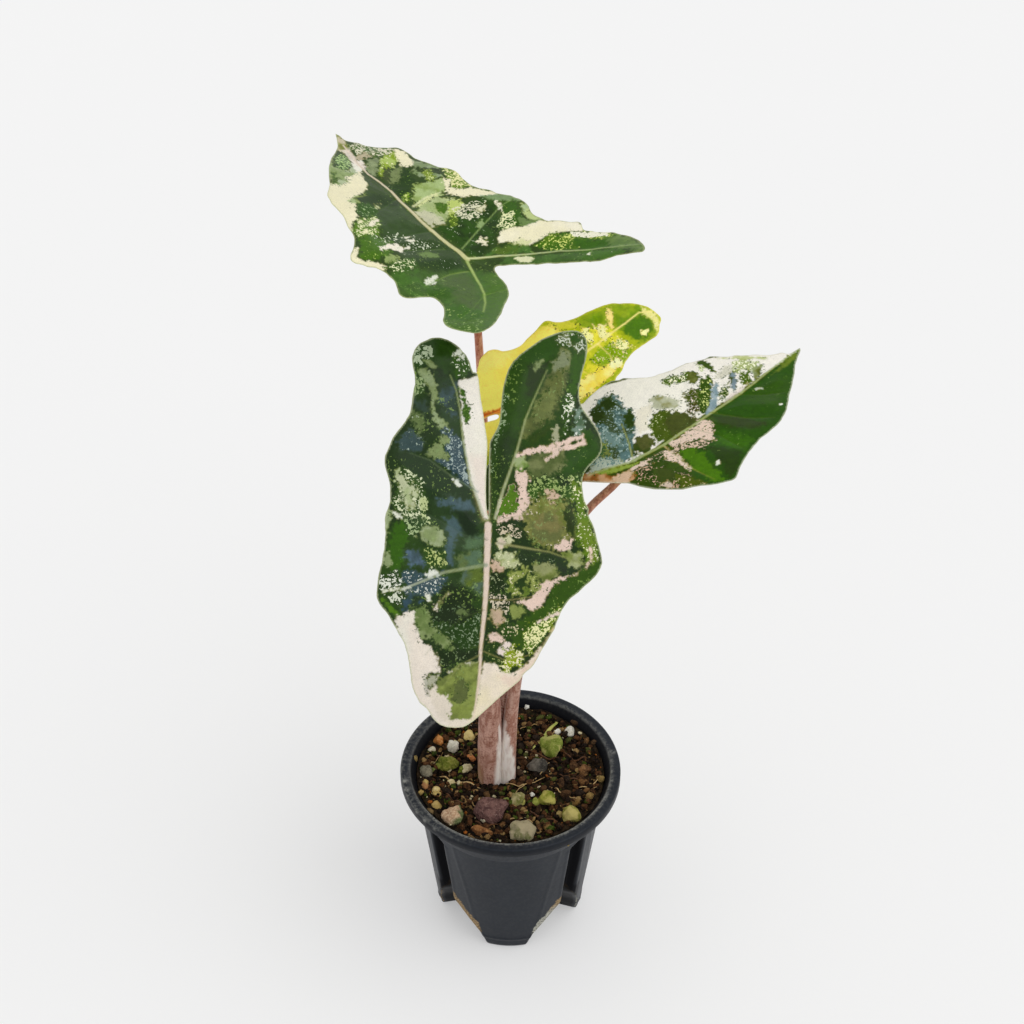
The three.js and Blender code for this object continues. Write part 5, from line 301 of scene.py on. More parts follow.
            ('poly', 'cfd59a', [[-2.13, -16.54], [-3.22, -21.03], [-6.87, -24.13], [-6.93, -20.48], [-4.59, -17.13]], {'rough': 0.8, 'soft': 0.4, 'op': 0.8}),
            ('poly', '4f7f48', [[-0.37, -10.75], [-2.56, -17.08], [-7.88, -21.43], [-10.37, -20.09], [-4.99, -12.7], [-1.69, -6.43]], {'rough': 1.0, 'soft': 0.8, 'spk': 0.2, 'sc': 'b8c67c', 'c2': '5b7c36'}),
            ('poly', '5f8a0a', [[-8.84, -22.36], [-7.87, -28.58], [-10.32, -32.55], [-14.67, -37.25], [-20.64, -40.14], [-27.92, -41.38], [-32.99, -37.0], [-27.45, -33.42], [-19.2, -28.63], [-13.23, -23.27]], {'rough': 1.1, 'soft': 0.5, 'spk': 0.4, 'sc': 'd3dc76', 'c2': '467a04'}),
            ('poly', None, [[-10.76, -34.77], [-23.16, -41.08], [-25.04, -38.38], [-20.06, -36.45], [-14.8, -33.67]], {'spk': 0.75, 'sc': 'f0edd6', 'rough': 0.8}),
            ('poly', '3d7206', [[-17.29, -32.64], [-25.57, -37.43], [-32.23, -39.05], [-33.21, -35.94], [-24.74, -31.87], [-19.8, -30.24]], {'rough': 1.0, 'soft': 0.8}),
            ('poly', '5f8458', [[-25.9, -37.53], [-27.92, -41.38], [-35.38, -39.47], [-42.8, -35.52], [-43.26, -33.36], [-36.45, -34.17], [-31.18, -33.85]], {'rough': 0.8, 'soft': 0.8, 'c2': '6f9160'}),
            ('poly', '4e7a42', [[-5.78, -12.01], [-13.18, -21.08], [-21.51, -28.57], [-28.34, -32.52], [-32.0, -28.75], [-24.44, -23.5], [-12.01, -13.19], [-7.51, -8.21]], {'rough': 0.8, 'soft': 0.8, 'c2': '456f36'}),
            ('poly', '467a1c', [[-23.0, -29.29], [-29.97, -32.98], [-38.6, -34.36], [-38.36, -32.12], [-34.61, -28.12], [-28.56, -25.86]], {'rough': 1.0, 'soft': 0.8, 'spk': 0.12, 'sc': 'e0e6c4'}),
            ('poly', 'dfe0b6', [[-8.8, -13.86], [-9.14, -15.81], [-11.52, -18.14], [-13.58, -18.48], [-13.6, -16.23], [-11.18, -13.95]], {'rough': 0.5, 'soft': 0.25}),
            ('poly', 'e9ebd2', [[-26.01, -29.31], [-26.5, -30.11], [-27.85, -28.74], [-26.91, -28.41]], {'rough': 0.3, 'soft': 0.25}),
        ],
        "vein_paint": [
            ([[0.36, 0.16], [5.02, 0.4], [13.13, 1.98], [20.93, 2.42], [28.05, 2.01], [35.44, 1.89], [42.18, 0.9], [47.43, 1.23], [52.89, 2.39], [59.48, 1.59], [66.08, -0.19], [72.08, -1.9]], (1.97, 0.6), ('c5c48c', 'dccabb'), 1.0),
            ([[0.76, -0.19], [-4.52, -10.84], [-12.56, -21.65], [-17.02, -26.34], [-27.9, -32.97], [-33.67, -35.46], [-39.87, -37.12]], (1.03, 0.43), ('cfd39c', '8aa87c'), 0.95),
            ([[-0.46, 0.88], [-5.53, 3.03], [-13.42, 6.63], [-18.73, 9.95], [-23.85, 14.67], [-28.64, 20.6]], (1.2, 0.51), ('a9bd74', '93b06c'), 0.9),
            ([[5.61, -1.99], [10.13, -14.14], [14.58, -27.1], [14.63, -31.69]], (0.6, 0.34), ('8fae84', '8fae84'), 0.8),
            ([[31.43, -0.94], [33.52, -8.4], [32.98, -15.0]], (0.94, 0.51), ('dfe0b0', 'dfe0b0'), 0.7),
            ([[-4.97, 4.45], [-4.04, 12.34], [-6.49, 26.5]], (0.6, 0.34), ('87a468', '6f9460'), 0.8),
            ([[7.56, 4.47], [11.0, 20.93]], (0.43, 0.26), ('6f9168', '6f9168'), 0.6),
            ([[36.94, 3.05], [32.63, 14.3], [27.48, 26.04]], (0.39, 0.21), ('557a48', '557a48'), 0.4),
            ([[17.53, 2.97], [17.98, 12.41], [18.0, 26.92]], (0.39, 0.21), ('557a48', '557a48'), 0.4),
            ([[-19.27, 10.49], [-25.55, 23.49], [-28.29, 33.2]], (0.43, 0.26), ('6f9a50', '5b8a3c'), 0.5),
            ([[-19.27, 10.49], [-19.67, 4.18], [-20.67, 0.44]], (0.43, 0.26), ('7fa458', '7fa458'), 0.5),
        ],
    },
    "C": {
        "P0": [41.581, -25.0, 255.773],
        "n": [-0.29453, -0.1884, 0.93689],
        "U": [0.81756, 0.45795, 0.34911],
        "V": [-0.49482, 0.86879, 0.01915],
        "q": [0.4, 0.4, 0.12, 0, 0, 0],
        "outline": [[0.78, 32.21], [1.54, 32.47], [2.3, 32.72], [3.07, 32.91], [3.85, 33.09], [4.63, 33.28], [5.42, 33.41], [6.21, 33.54], [7.0, 33.66], [7.79, 33.79], [8.58, 33.86], [9.38, 33.9], [10.18, 33.93], [10.98, 33.97], [11.77, 33.98], [12.57, 33.89], [13.36, 33.79], [14.13, 33.64], [14.8, 33.2], [15.47, 32.77], [16.17, 32.39], [16.96, 32.27], [17.74, 32.12], [18.37, 31.64], [18.98, 31.12], [19.59, 30.6], [20.18, 30.07], [20.81, 29.58], [21.51, 29.19], [22.17, 28.74], [22.8, 28.25], [23.43, 27.76], [24.07, 27.28], [24.74, 26.84], [25.46, 26.5], [26.2, 26.19], [26.94, 25.91], [27.74, 25.87], [28.52, 25.74], [29.26, 25.44], [30.02, 25.18], [30.81, 25.05], [31.59, 24.89], [32.36, 24.68], [33.13, 24.48], [33.93, 24.43], [34.73, 24.45], [35.53, 24.42], [36.33, 24.39], [37.12, 24.34], [37.92, 24.26], [38.71, 24.23], [39.45, 23.95], [40.18, 23.61], [40.93, 23.33], [41.69, 23.1], [42.47, 22.91], [43.24, 22.7], [43.99, 22.43], [44.77, 22.24], [45.56, 22.11], [46.35, 22.13], [47.15, 22.16], [47.85, 21.8], [48.48, 21.31], [49.13, 20.85], [49.75, 20.33], [50.38, 19.84], [51.02, 19.36], [51.67, 18.9], [52.35, 18.48], [53.08, 18.16], [53.85, 17.94], [54.62, 17.73], [55.3, 17.33], [55.9, 16.8], [56.57, 16.36], [57.26, 15.96], [57.94, 15.54], [58.63, 15.13], [59.35, 14.81], [60.1, 14.53], [60.77, 14.1], [61.42, 13.63], [62.02, 13.1], [62.67, 12.63], [63.33, 12.18], [63.96, 11.69], [64.66, 11.32], [65.42, 11.06], [66.18, 10.82], [66.94, 10.56], [67.72, 10.42], [68.52, 10.34], [69.16, 9.91], [69.57, 9.22], [70.1, 8.63], [70.83, 8.33], [71.63, 8.31], [72.41, 8.46], [73.2, 8.56], [73.99, 8.69], [74.77, 8.88], [75.46, 8.91], [75.13, 8.2], [74.59, 7.61], [73.99, 7.09], [73.37, 6.59], [72.73, 6.11], [72.11, 5.6], [71.54, 5.04], [70.98, 4.47], [70.38, 3.94], [69.77, 3.42], [69.2, 2.86], [68.68, 2.25], [68.2, 1.62], [67.72, 0.98], [67.23, 0.34], [66.75, -0.29], [66.25, -0.92], [65.72, -1.52], [65.19, -2.11], [64.67, -2.72], [64.13, -3.31], [63.6, -3.91], [63.1, -4.53], [62.6, -5.16], [62.08, -5.77], [61.55, -6.36], [61.0, -6.94], [60.45, -7.52], [59.9, -8.1], [59.34, -8.67], [58.78, -9.24], [58.22, -9.81], [57.69, -10.41], [57.2, -11.04], [56.73, -11.69], [56.25, -12.33], [55.73, -12.94], [55.2, -13.53], [54.66, -14.13], [54.14, -14.73], [53.63, -15.35], [53.12, -15.96], [52.55, -16.52], [51.94, -17.04], [51.34, -17.57], [50.73, -18.08], [50.06, -18.52], [49.39, -18.95], [48.78, -19.47], [48.17, -19.98], [47.45, -20.33], [46.73, -20.68], [46.02, -21.04], [45.28, -21.34], [44.51, -21.56], [43.73, -21.74], [42.96, -21.96], [42.21, -22.21], [41.44, -22.46], [40.67, -22.66], [39.88, -22.8], [39.1, -22.94], [38.3, -23.04], [37.53, -23.22], [36.8, -23.54], [36.09, -23.91], [35.38, -24.28], [34.64, -24.59], [33.89, -24.86], [33.2, -25.25], [32.51, -25.65], [31.75, -25.92], [31.02, -26.23], [30.34, -26.65], [29.68, -27.1], [29.01, -27.54], [28.32, -27.95], [27.65, -28.38], [26.98, -28.81], [26.32, -29.27], [25.66, -29.73], [25.0, -30.17], [24.38, -30.67], [23.79, -31.21], [23.21, -31.76], [22.61, -32.29], [22.0, -32.81], [21.4, -33.34], [20.75, -33.79], [19.98, -33.98], [19.19, -33.88], [18.45, -33.58], [17.75, -33.18], [17.05, -32.82], [16.31, -32.51], [15.62, -32.1], [14.9, -31.76], [14.24, -31.32], [13.6, -30.84], [12.91, -30.43], [12.3, -29.92], [11.71, -29.37], [11.12, -28.84], [10.53, -28.3], [9.9, -27.8], [9.23, -27.38], [8.57, -26.92], [7.89, -26.51], [7.18, -26.13], [6.51, -25.69], [5.81, -25.31], [5.11, -24.94], [4.53, -24.39], [4.0, -23.79], [3.47, -23.19], [2.94, -22.6], [2.41, -21.99], [1.88, -21.4], [1.35, -20.8], [0.84, -20.19], [0.32, -19.57], [-0.19, -18.96], [-0.71, -18.35], [-1.22, -17.74], [-1.71, -17.1], [-2.17, -16.45], [-2.54, -15.75], [-2.91, -15.04], [-3.34, -14.36], [-3.73, -13.67], [-4.08, -12.95], [-4.47, -12.25], [-4.8, -11.52], [-5.09, -10.78], [-5.39, -10.04], [-5.7, -9.3], [-6.02, -8.57], [-6.33, -7.83], [-6.72, -7.13], [-7.22, -6.51], [-7.75, -5.92], [-8.27, -5.3], [-8.76, -4.68], [-9.26, -4.05], [-9.76, -3.43], [-10.27, -2.81], [-10.77, -2.19], [-11.29, -1.58], [-11.81, -0.98], [-12.34, -0.38], [-12.86, 0.23], [-13.39, 0.83], [-13.93, 1.42], [-14.46, 2.02], [-15.0, 2.61], [-15.54, 3.2], [-16.07, 3.8], [-16.59, 4.4], [-17.12, 5.0], [-17.76, 5.45], [-18.48, 5.8], [-19.2, 6.14], [-19.92, 6.48], [-20.65, 6.81], [-21.39, 7.13], [-22.12, 7.44], [-22.86, 7.75], [-23.6, 8.04], [-24.35, 8.33], [-25.09, 8.62], [-25.84, 8.91], [-26.59, 9.19], [-27.34, 9.47], [-28.09, 9.74], [-28.84, 10.02], [-29.59, 10.3], [-30.34, 10.57], [-31.09, 10.85], [-31.83, 11.14], [-32.58, 11.42], [-33.33, 11.71], [-34.07, 12.01], [-34.81, 12.31], [-35.55, 12.61], [-36.29, 12.92], [-37.02, 13.24], [-37.75, 13.56], [-38.48, 13.89], [-39.21, 14.22], [-39.93, 14.57], [-40.65, 14.92], [-41.36, 15.28], [-42.07, 15.65], [-42.76, 16.04], [-43.45, 16.45], [-44.13, 16.87], [-44.8, 17.31], [-45.45, 17.78], [-46.08, 18.26], [-46.7, 18.77], [-47.29, 19.31], [-47.86, 19.87], [-48.39, 20.47], [-48.88, 21.1], [-49.31, 21.77], [-49.67, 22.48], [-49.93, 23.24], [-50.07, 24.02], [-50.1, 24.82], [-50.04, 25.62], [-49.89, 26.4], [-49.67, 27.17], [-49.37, 27.91], [-49.01, 28.63], [-48.61, 29.32], [-48.16, 29.97], [-47.65, 30.59], [-47.1, 31.17], [-46.51, 31.71], [-45.9, 32.22], [-45.26, 32.7], [-44.59, 33.13], [-43.9, 33.55], [-43.2, 33.93], [-42.49, 34.3], [-41.77, 34.65], [-41.04, 34.97], [-40.31, 35.28], [-39.56, 35.58], [-38.81, 35.85], [-38.06, 36.11], [-37.29, 36.35], [-36.53, 36.57], [-35.75, 36.78], [-34.98, 36.98], [-34.2, 37.16], [-33.42, 37.32], [-32.63, 37.47], [-31.84, 37.6], [-31.05, 37.72], [-30.26, 37.83], [-29.47, 37.92], [-28.67, 38.0], [-27.87, 38.06], [-27.08, 38.12], [-26.28, 38.16], [-25.48, 38.18], [-24.68, 38.2], [-23.88, 38.2], [-23.08, 38.19], [-22.28, 38.16], [-21.48, 38.13], [-20.69, 38.08], [-19.89, 38.02], [-19.09, 37.95], [-18.3, 37.86], [-17.51, 37.77], [-16.71, 37.66], [-15.92, 37.54], [-15.13, 37.41], [-14.35, 37.27], [-13.56, 37.11], [-12.78, 36.94], [-12.0, 36.77], [-11.23, 36.58], [-10.45, 36.37], [-9.68, 36.16], [-8.91, 35.94], [-8.15, 35.7], [-7.39, 35.46], [-6.63, 35.2], [-5.88, 34.93], [-5.14, 34.64], [-4.4, 34.34], [-3.66, 34.03], [-2.92, 33.73], [-2.18, 33.43], [-1.44, 33.12], [-0.7, 32.82], [0.04, 32.52]],
        "ground": '3a5f08',
        "spk_col": 'dfe3c8',
        "marg": 'e4e4cc',
        "marg_w": 0.4,
        "marg_op": 0.55,
        "quilt": 0.7,
        "wave": 0.35,
        "tints": [('3f6f1a', 0.5, 0.8)],
        "mid": [[0.0, 0.0], [6.42, -1.11], [13.01, -1.9], [23.07, -1.13], [30.95, -0.49], [40.7, 0.52], [52.06, 2.66], [62.75, 5.55], [70.24, 7.4], [74.64, 8.94]],
        "cost": [[[-0.12, -0.19], [-7.21, 3.14], [-14.77, 5.83]]],
        "lat": [[[0.61, 0.92], [3.4, 7.49], [5.87, 15.43]], [[32.81, -0.18], [39.7, -10.41], [47.22, -17.56]], [[11.73, -2.61], [12.26, -18.03], [15.1, -29.44]], [[23.07, -1.13], [28.31, -12.21], [31.14, -26.56]], [[45.46, 1.45], [51.73, -4.54], [58.61, -8.37]], [[8.44, -1.22], [13.14, 6.35], [17.73, 16.71]], [[23.07, -1.13], [29.02, 7.6], [33.33, 18.69]], [[38.69, 0.59], [42.98, 8.58], [46.46, 17.77]]],
        "patches": [
            ('poly', 'efece0', [[-1.86, 33.74], [5.82, 35.55], [22.64, 28.89], [43.64, 22.75], [62.79, 14.43], [76.43, 10.3], [71.08, 5.68], [60.47, 5.25], [46.01, 2.25], [28.33, 0.54], [10.99, -0.52], [0.38, -0.71], [-10.53, 5.15], [-19.32, 7.99], [-7.8, 24.92]], {'rough': 0.3, 'soft': 0.4, 'c2': 'f1ede4', 'f2': 0.05}),
            ('poly', '45645c', [[0.53, 26.41], [5.58, 28.81], [8.71, 28.38], [10.77, 28.91], [11.15, 25.7], [11.08, 20.59], [12.24, 17.32], [11.34, 13.54], [8.64, 10.21], [5.43, 7.38], [2.35, 1.63], [-2.65, 1.1], [-10.07, 5.82], [-15.36, 7.49], [-18.02, 6.74], [-16.27, 10.56], [-9.15, 12.17], [-4.71, 13.65], [-0.51, 21.09]], {'rough': 1.1, 'soft': 0.4, 'spk': 0.35, 'sc': '9cb4ae', 'c2': '5d7d7c'}),
            ('poly', '2c4e1c', [[6.41, 27.51], [9.05, 26.36], [8.89, 23.62], [6.31, 23.58], [5.19, 25.7]], {'rough': 1.0}),
            ('poly', '304f24', [[0.29, 26.06], [3.63, 25.93], [2.77, 22.13], [0.32, 19.78], [-0.8, 21.92]], {'rough': 1.0, 'spk': 0.2}),
            ('poly', '2f5420', [[7.83, 17.69], [11.17, 18.23], [11.3, 14.71], [8.33, 11.6], [6.21, 13.44]], {'rough': 1.0}),
            ('poly', '7c9a98', [[-2.59, 16.76], [1.54, 15.31], [2.75, 10.86], [-0.16, 7.86], [-4.31, 10.5], [-4.48, 13.99]], {'rough': 1.2, 'soft': 0.8, 'op': 0.8, 'spk': 0.3, 'sc': 'c0cfc4'}),
            ('poly', '86a070', [[-5.24, 14.13], [-3.37, 11.87], [-4.14, 7.01], [-7.63, 6.88], [-7.81, 10.37]], {'rough': 1.3, 'spk': 0.5, 'sc': '41643a'}),
            ('poly', 'b3bfae', [[-12.68, 8.27], [-8.22, 8.53], [-4.03, 4.68], [-2.39, 0.85], [-8.74, 4.02], [-13.3, 6.1]], {'rough': 0.8, 'soft': 0.4, 'spk': 0.4, 'sc': '6d8a84'}),
            ('poly', '8fae52', [[-13.53, 5.76], [-7.7, 3.04], [-1.62, -0.54], [1.63, -2.03], [-0.62, -2.94], [-8.36, 0.8], [-13.18, 3.77]], {'rough': 0.6, 'soft': 0.4}),
            ('poly', 'e7e2d0', [[12.77, 16.87], [18.51, 16.63], [18.09, 13.55], [14.0, 11.28], [12.08, 7.26], [7.98, 7.4], [8.86, 11.15]], {'rough': 0.8, 'soft': 0.4}),
            ('poly', 'b9bca0', [[19.79, 17.88], [22.97, 17.01], [25.96, 14.04], [27.1, 10.84], [23.98, 8.74], [20.26, 10.62], [18.09, 13.55]], {'rough': 1.0, 'soft': 0.6, 'c2': '98a388'}),
            ('poly', '3a5e26', [[5.43, 7.38], [9.03, 6.49], [12.16, 4.93], [10.22, 0.84], [7.18, 0.05], [3.14, 0.29], [3.08, 2.7]], {'rough': 1.1, 'c2': '5c7060'}),
            ('poly', '54763a', [[13.02, 9.85], [17.09, 12.1], [19.98, 11.43], [21.9, 8.15], [26.2, 3.51], [27.27, 0.21], [19.46, -0.32], [13.28, -0.84], [10.73, 0.36], [11.63, 5.38]], {'rough': 1.1, 'spk': 0.25, 'sc': 'cfd69c', 'c2': '4c7414'}),
            ('poly', '50684c', [[21.37, 8.58], [26.46, 3.88], [27.01, 0.44], [21.01, -0.48], [16.37, 0.04], [17.3, 5.11]], {'rough': 1.0, 'soft': 0.6}),
            ('poly', '4f8012', [[26.84, 21.43], [30.03, 22.41], [33.84, 20.64], [37.11, 19.32], [35.53, 17.02], [31.74, 17.59], [28.24, 18.58]], {'rough': 1.1, 'spk': 0.45, 'sc': 'eceac8'}),
            ('poly', '77907c', [[37.11, 19.32], [39.05, 17.29], [38.29, 13.78], [35.04, 13.9], [34.45, 16.67]], {'rough': 1.1, 'c2': '54713a'}),
            ('poly', '4d6a34', [[30.24, 12.97], [33.97, 13.55], [35.63, 11.14], [34.62, 7.28], [30.94, 4.36], [30.36, 7.12], [28.72, 9.56]], {'rough': 1.3, 'spk': 0.4, 'sc': 'e3d6c8', 'c2': '5f7a5c'}),
            ('poly', '3b6a10', [[38.27, 14.95], [41.0, 14.1], [41.05, 10.57], [37.86, 5.98], [34.15, 1.81], [30.43, -0.03], [29.9, 2.85], [32.99, 8.53]], {'rough': 1.2, 'spk': 0.35, 'sc': 'c7d27c'}),
            ('poly', '8198a0', [[39.97, 10.21], [42.15, 9.76], [40.56, 6.29], [36.82, 2.09], [32.53, -0.59], [29.37, -0.38], [34.67, 3.77]], {'rough': 0.9, 'soft': 0.5, 'c2': '9aabb0'}),
            ('poly', '54624c', [[29.28, 7.97], [30.9, 6.7], [29.63, 3.07], [26.75, 1.89], [27.23, 5.0]], {'rough': 1.2, 'spk': 0.4, 'sc': 'e6dccf'}),
            ('poly', '3f6a1c', [[40.89, 22.39], [43.37, 22.35], [45.32, 20.35], [45.63, 17.18], [44.83, 14.82], [43.17, 16.02], [42.3, 19.59]], {'rough': 0.7, 'soft': 0.3}),
            ('poly', 'a9bf6c', [[41.46, 20.79], [43.13, 19.58], [42.33, 17.22], [40.4, 18.05]], {'rough': 0.8, 'spk': 0.5, 'sc': 'f0efd8'}),
            ('poly', 'cfcdb8', [[43.75, 13.26], [48.7, 14.42], [51.49, 13.66], [48.73, 10.89], [44.33, 10.51]], {'rough': 1.0, 'soft': 0.6, 'op': 0.8}),
            ('poly', '3c6c12', [[42.71, 8.19], [44.9, 7.77], [43.29, 4.27], [40.04, 1.97], [38.43, 3.22], [40.56, 6.29]], {'rough': 1.2, 'spk': 0.4, 'sc': 'd9dca8'}),
            ('poly', '7d8f98', [[48.18, 10.1], [49.84, 10.11], [47.65, 5.79], [44.38, 2.27], [43.29, 3.09], [45.73, 7.17]], {'rough': 1.2, 'c2': '4f6a4c'}),
            ('poly', 'a8b77c', [[51.48, 14.84], [55.41, 14.53], [57.67, 11.84], [59.36, 9.54], [55.98, 7.07], [53.18, 8.97], [50.4, 9.72]], {'rough': 1.3, 'soft': 0.6, 'spk': 0.45, 'sc': 'eef0d2'}),
            ('poly', '4d7a24', [[49.3, 6.97], [52.07, 8.56], [54.02, 7.81], [52.63, 4.64], [49.86, 3.04], [47.66, 3.43]], {'rough': 1.2, 'spk': 0.3, 'sc': 'dfe2b8'}),
            ('poly', '8ea58c', [[54.3, 7.03], [58.23, 9.1], [60.49, 8.8], [57.66, 5.94], [53.74, 3.87]], {'rough': 1.0, 'c2': '5f7c54'}),
            ('poly', 'b4c072', [[48.38, 19.96], [52.87, 18.03], [57.67, 15.39], [64.21, 10.56], [62.77, 9.69], [57.39, 12.62], [52.03, 16.83]], {'rough': 0.8, 'soft': 0.5, 'op': 0.85}),
            ('poly', 'ded0c4', [[38.42, 0.8], [41.67, 3.12], [44.38, 3.46], [48.21, 4.22], [50.41, 3.83], [46.56, 1.84], [41.65, 0.7]], {'rough': 0.6, 'soft': 0.6, 'op': 0.6}),
            ('poly', '2f6a08', [[32.53, -0.59], [44.9, 0.63], [59.9, 4.44], [74.34, 8.52], [65.63, -5.2], [56.58, -12.64], [49.11, -20.8], [37.0, -23.81], [24.96, -32.88], [18.54, -36.51], [9.43, -28.78], [11.73, -18.85], [20.89, -10.98], [29.01, -8.57]], {'rough': 0.8, 'soft': 0.5}),
            ('poly', '3f8206', [[28.94, -9.95], [33.81, -16.32], [34.46, -22.75], [30.49, -24.49], [26.9, -19.41], [25.57, -15.17]], {'rough': 1.2, 'soft': 1.4, 'op': 0.85}),
            ('poly', '33511f', [[31.98, -1.43], [37.79, -7.06], [41.86, -13.97], [44.16, -19.11], [38.67, -18.21], [33.72, -13.32], [30.65, -7.31]], {'rough': 0.8, 'soft': 1.2, 'op': 0.85}),
            ('poly', '2b4c14', [[21.1, -11.92], [25.44, -17.9], [29.2, -24.6], [23.76, -31.65], [19.21, -32.43], [20.51, -25.48], [21.35, -17.91]], {'rough': 1.0, 'soft': 1.2, 'op': 0.8}),
            ('poly', '356c08', [[48.71, 0.18], [58.97, 0.15], [64.26, -1.13], [59.13, -8.82], [52.26, -11.78], [47.08, -8.5], [44.47, -3.11]], {'rough': 1.0, 'soft': 1.4}),
            ('poly', '6e9448', [[59.89, 3.25], [67.04, 5.79], [74.05, 8.69], [72.25, 6.17], [67.29, 3.23], [63.0, 2.99]], {'rough': 0.7, 'soft': 0.5}),
            ('poly', 'dcded0', [[50.65, 0.61], [53.09, -0.65], [53.01, -1.99], [50.6, -0.67]], {'rough': 0.3, 'soft': 0.25, 'op': 0.7}),
            ('poly', 'e6e9dc', [[20.12, -22.96], [21.11, -23.31], [20.27, -25.23], [19.04, -24.62]], {'rough': 0.3, 'soft': 0.25}),
            ('poly', 'e6e9dc', [[52.77, -12.24], [53.54, -12.93], [52.91, -13.87], [52.15, -13.18]], {'rough': 0.3, 'soft': 0.2}),
            ('poly', 'e6cfbd', [[13.26, -2.16], [19.94, -2.12], [27.25, -1.08], [29.84, -2.18], [29.65, -6.3], [26.33, -10.18], [26.2, -12.93], [23.12, -12.61], [22.26, -8.83], [18.16, -8.79], [14.63, -7.85], [12.13, -6.56]], {'rough': 1.2, 'soft': 0.35, 'spk': 0.3, 'sc': '5a6d2c'}),
            ('poly', '3e5c12', [[10.69, -3.58], [14.72, -5.1], [18.71, -7.94], [23.25, -9.86], [24.1, -13.64], [20.5, -14.15], [16.53, -11.34], [12.04, -9.31], [9.03, -8.83]], {'rough': 1.5, 'spk': 0.5, 'sc': 'd9bfa8'}),
            ('poly', 'e6cfbd', [[6.89, -3.65], [11.68, -4.65], [12.62, -7.1], [12.44, -12.59], [12.74, -18.56], [11.2, -19.68], [10.41, -13.18], [7.53, -8.58], [3.56, -6.94], [-0.4, -5.26], [-2.89, -5.2], [-2.86, -2.48]], {'rough': 1.0, 'soft': 0.35, 'spk': 0.3, 'sc': '4d6a1c'}),
            ('poly', '35600c', [[5.14, -3.12], [9.14, -4.71], [9.56, -8.0], [6.48, -10.23], [4.08, -6.12]], {'rough': 1.4, 'spk': 0.3, 'sc': 'cdb89c'}),
            ('poly', '4e9006', [[14.09, -8.7], [17.56, -11.02], [18.86, -16.69], [17.99, -25.61], [17.19, -33.04], [13.38, -28.96], [13.08, -23.12], [13.32, -16.37]], {'rough': 1.0, 'soft': 0.6, 'spk': 0.1, 'sc': 'b8d46a'}),
            ('poly', '2e5212', [[-4.37, -4.88], [-0.4, -5.26], [2.55, -7.21], [5.96, -11.06], [7.3, -16.76], [10.68, -20.49], [11.51, -25.56], [7.04, -26.15], [1.75, -21.6], [-2.04, -14.51], [-4.42, -8.99]], {'rough': 1.4, 'spk': 0.4, 'sc': 'c9a88c', 'c2': '3f6a0a'}),
            ('poly', '48663e', [[2.74, -10.23], [6.41, -12.96], [6.78, -17.58], [3.28, -19.2], [0.9, -15.12]], {'rough': 1.0, 'soft': 0.8}),
            ('poly', 'e6cfbd', [[0.37, -17.27], [3.31, -17.85], [3.73, -21.08], [1.52, -20.66]], {'rough': 0.6, 'soft': 0.3, 'op': 0.8}),
            ('poly', '54751c', [[6.78, -17.58], [11.07, -23.7], [13.33, -30.28], [9.43, -28.78], [4.88, -24.43]], {'rough': 1.1, 'spk': 0.3, 'sc': 'c9b78c'}),
            ('poly', '9c7060', [[-17.64, 8.57], [-12.75, 5.02], [-8.84, 0.07], [-4.36, -3.52], [-3.16, -6.97], [-7.6, -6.67], [-12.52, -1.01], [-17.92, 5.0]], {'rough': 0.8, 'soft': 0.5, 'c2': 'c9a184', 'f2': 0.25}),
            ('poly', 'd6b99a', [[-9.32, -0.66], [-5.84, -1.86], [-2.86, -2.48], [-2.89, -5.2], [-6.37, -6.72], [-9.8, -4.1]], {'rough': 0.8, 'soft': 0.5, 'op': 0.9}),
        ],
        "vein_paint": [
            ([[0.0, 0.0], [6.42, -1.11], [13.01, -1.9], [23.07, -1.13], [30.95, -0.49], [40.7, 0.52], [52.06, 2.66], [62.75, 5.55], [70.24, 7.4], [74.64, 8.94]], (1.37, 0.46), ('9db07e', 'a9b98a'), 0.95),
            ([[-0.12, -0.19], [-7.21, 3.14], [-14.77, 5.83]], (0.92, 0.53), ('a9b884', 'b6c08c'), 0.85),
            ([[0.61, 0.92], [3.4, 7.49], [5.87, 15.43]], (0.57, 0.38), ('b3c08c', '9db490'), 0.8),
            ([[32.81, -0.18], [39.7, -10.41], [47.22, -17.56]], (0.46, 0.23), ('5c7c44', '4f7834'), 0.7),
            ([[11.73, -2.61], [12.26, -18.03], [15.1, -29.44]], (0.61, 0.31), ('d9c6ae', '7c9c54'), 0.6),
            ([[23.07, -1.13], [28.31, -12.21], [31.14, -26.56]], (0.38, 0.19), ('4f7a2c', '4f7a2c'), 0.4),
            ([[45.46, 1.45], [51.73, -4.54], [58.61, -8.37]], (0.38, 0.19), ('4f7a2c', '4f7a2c'), 0.35),
        ],
    },
    "D": {
        "P0": [-3.461, 12.0, 249.669],
        "n": [-0.14942, -0.45258, 0.87911],
        "U": [0.85858, 0.3816, 0.34238],
        "V": [-0.49043, 0.80595, 0.33156],
        "q": [0.3, 0.3, 0.08, 0, 0, 0],
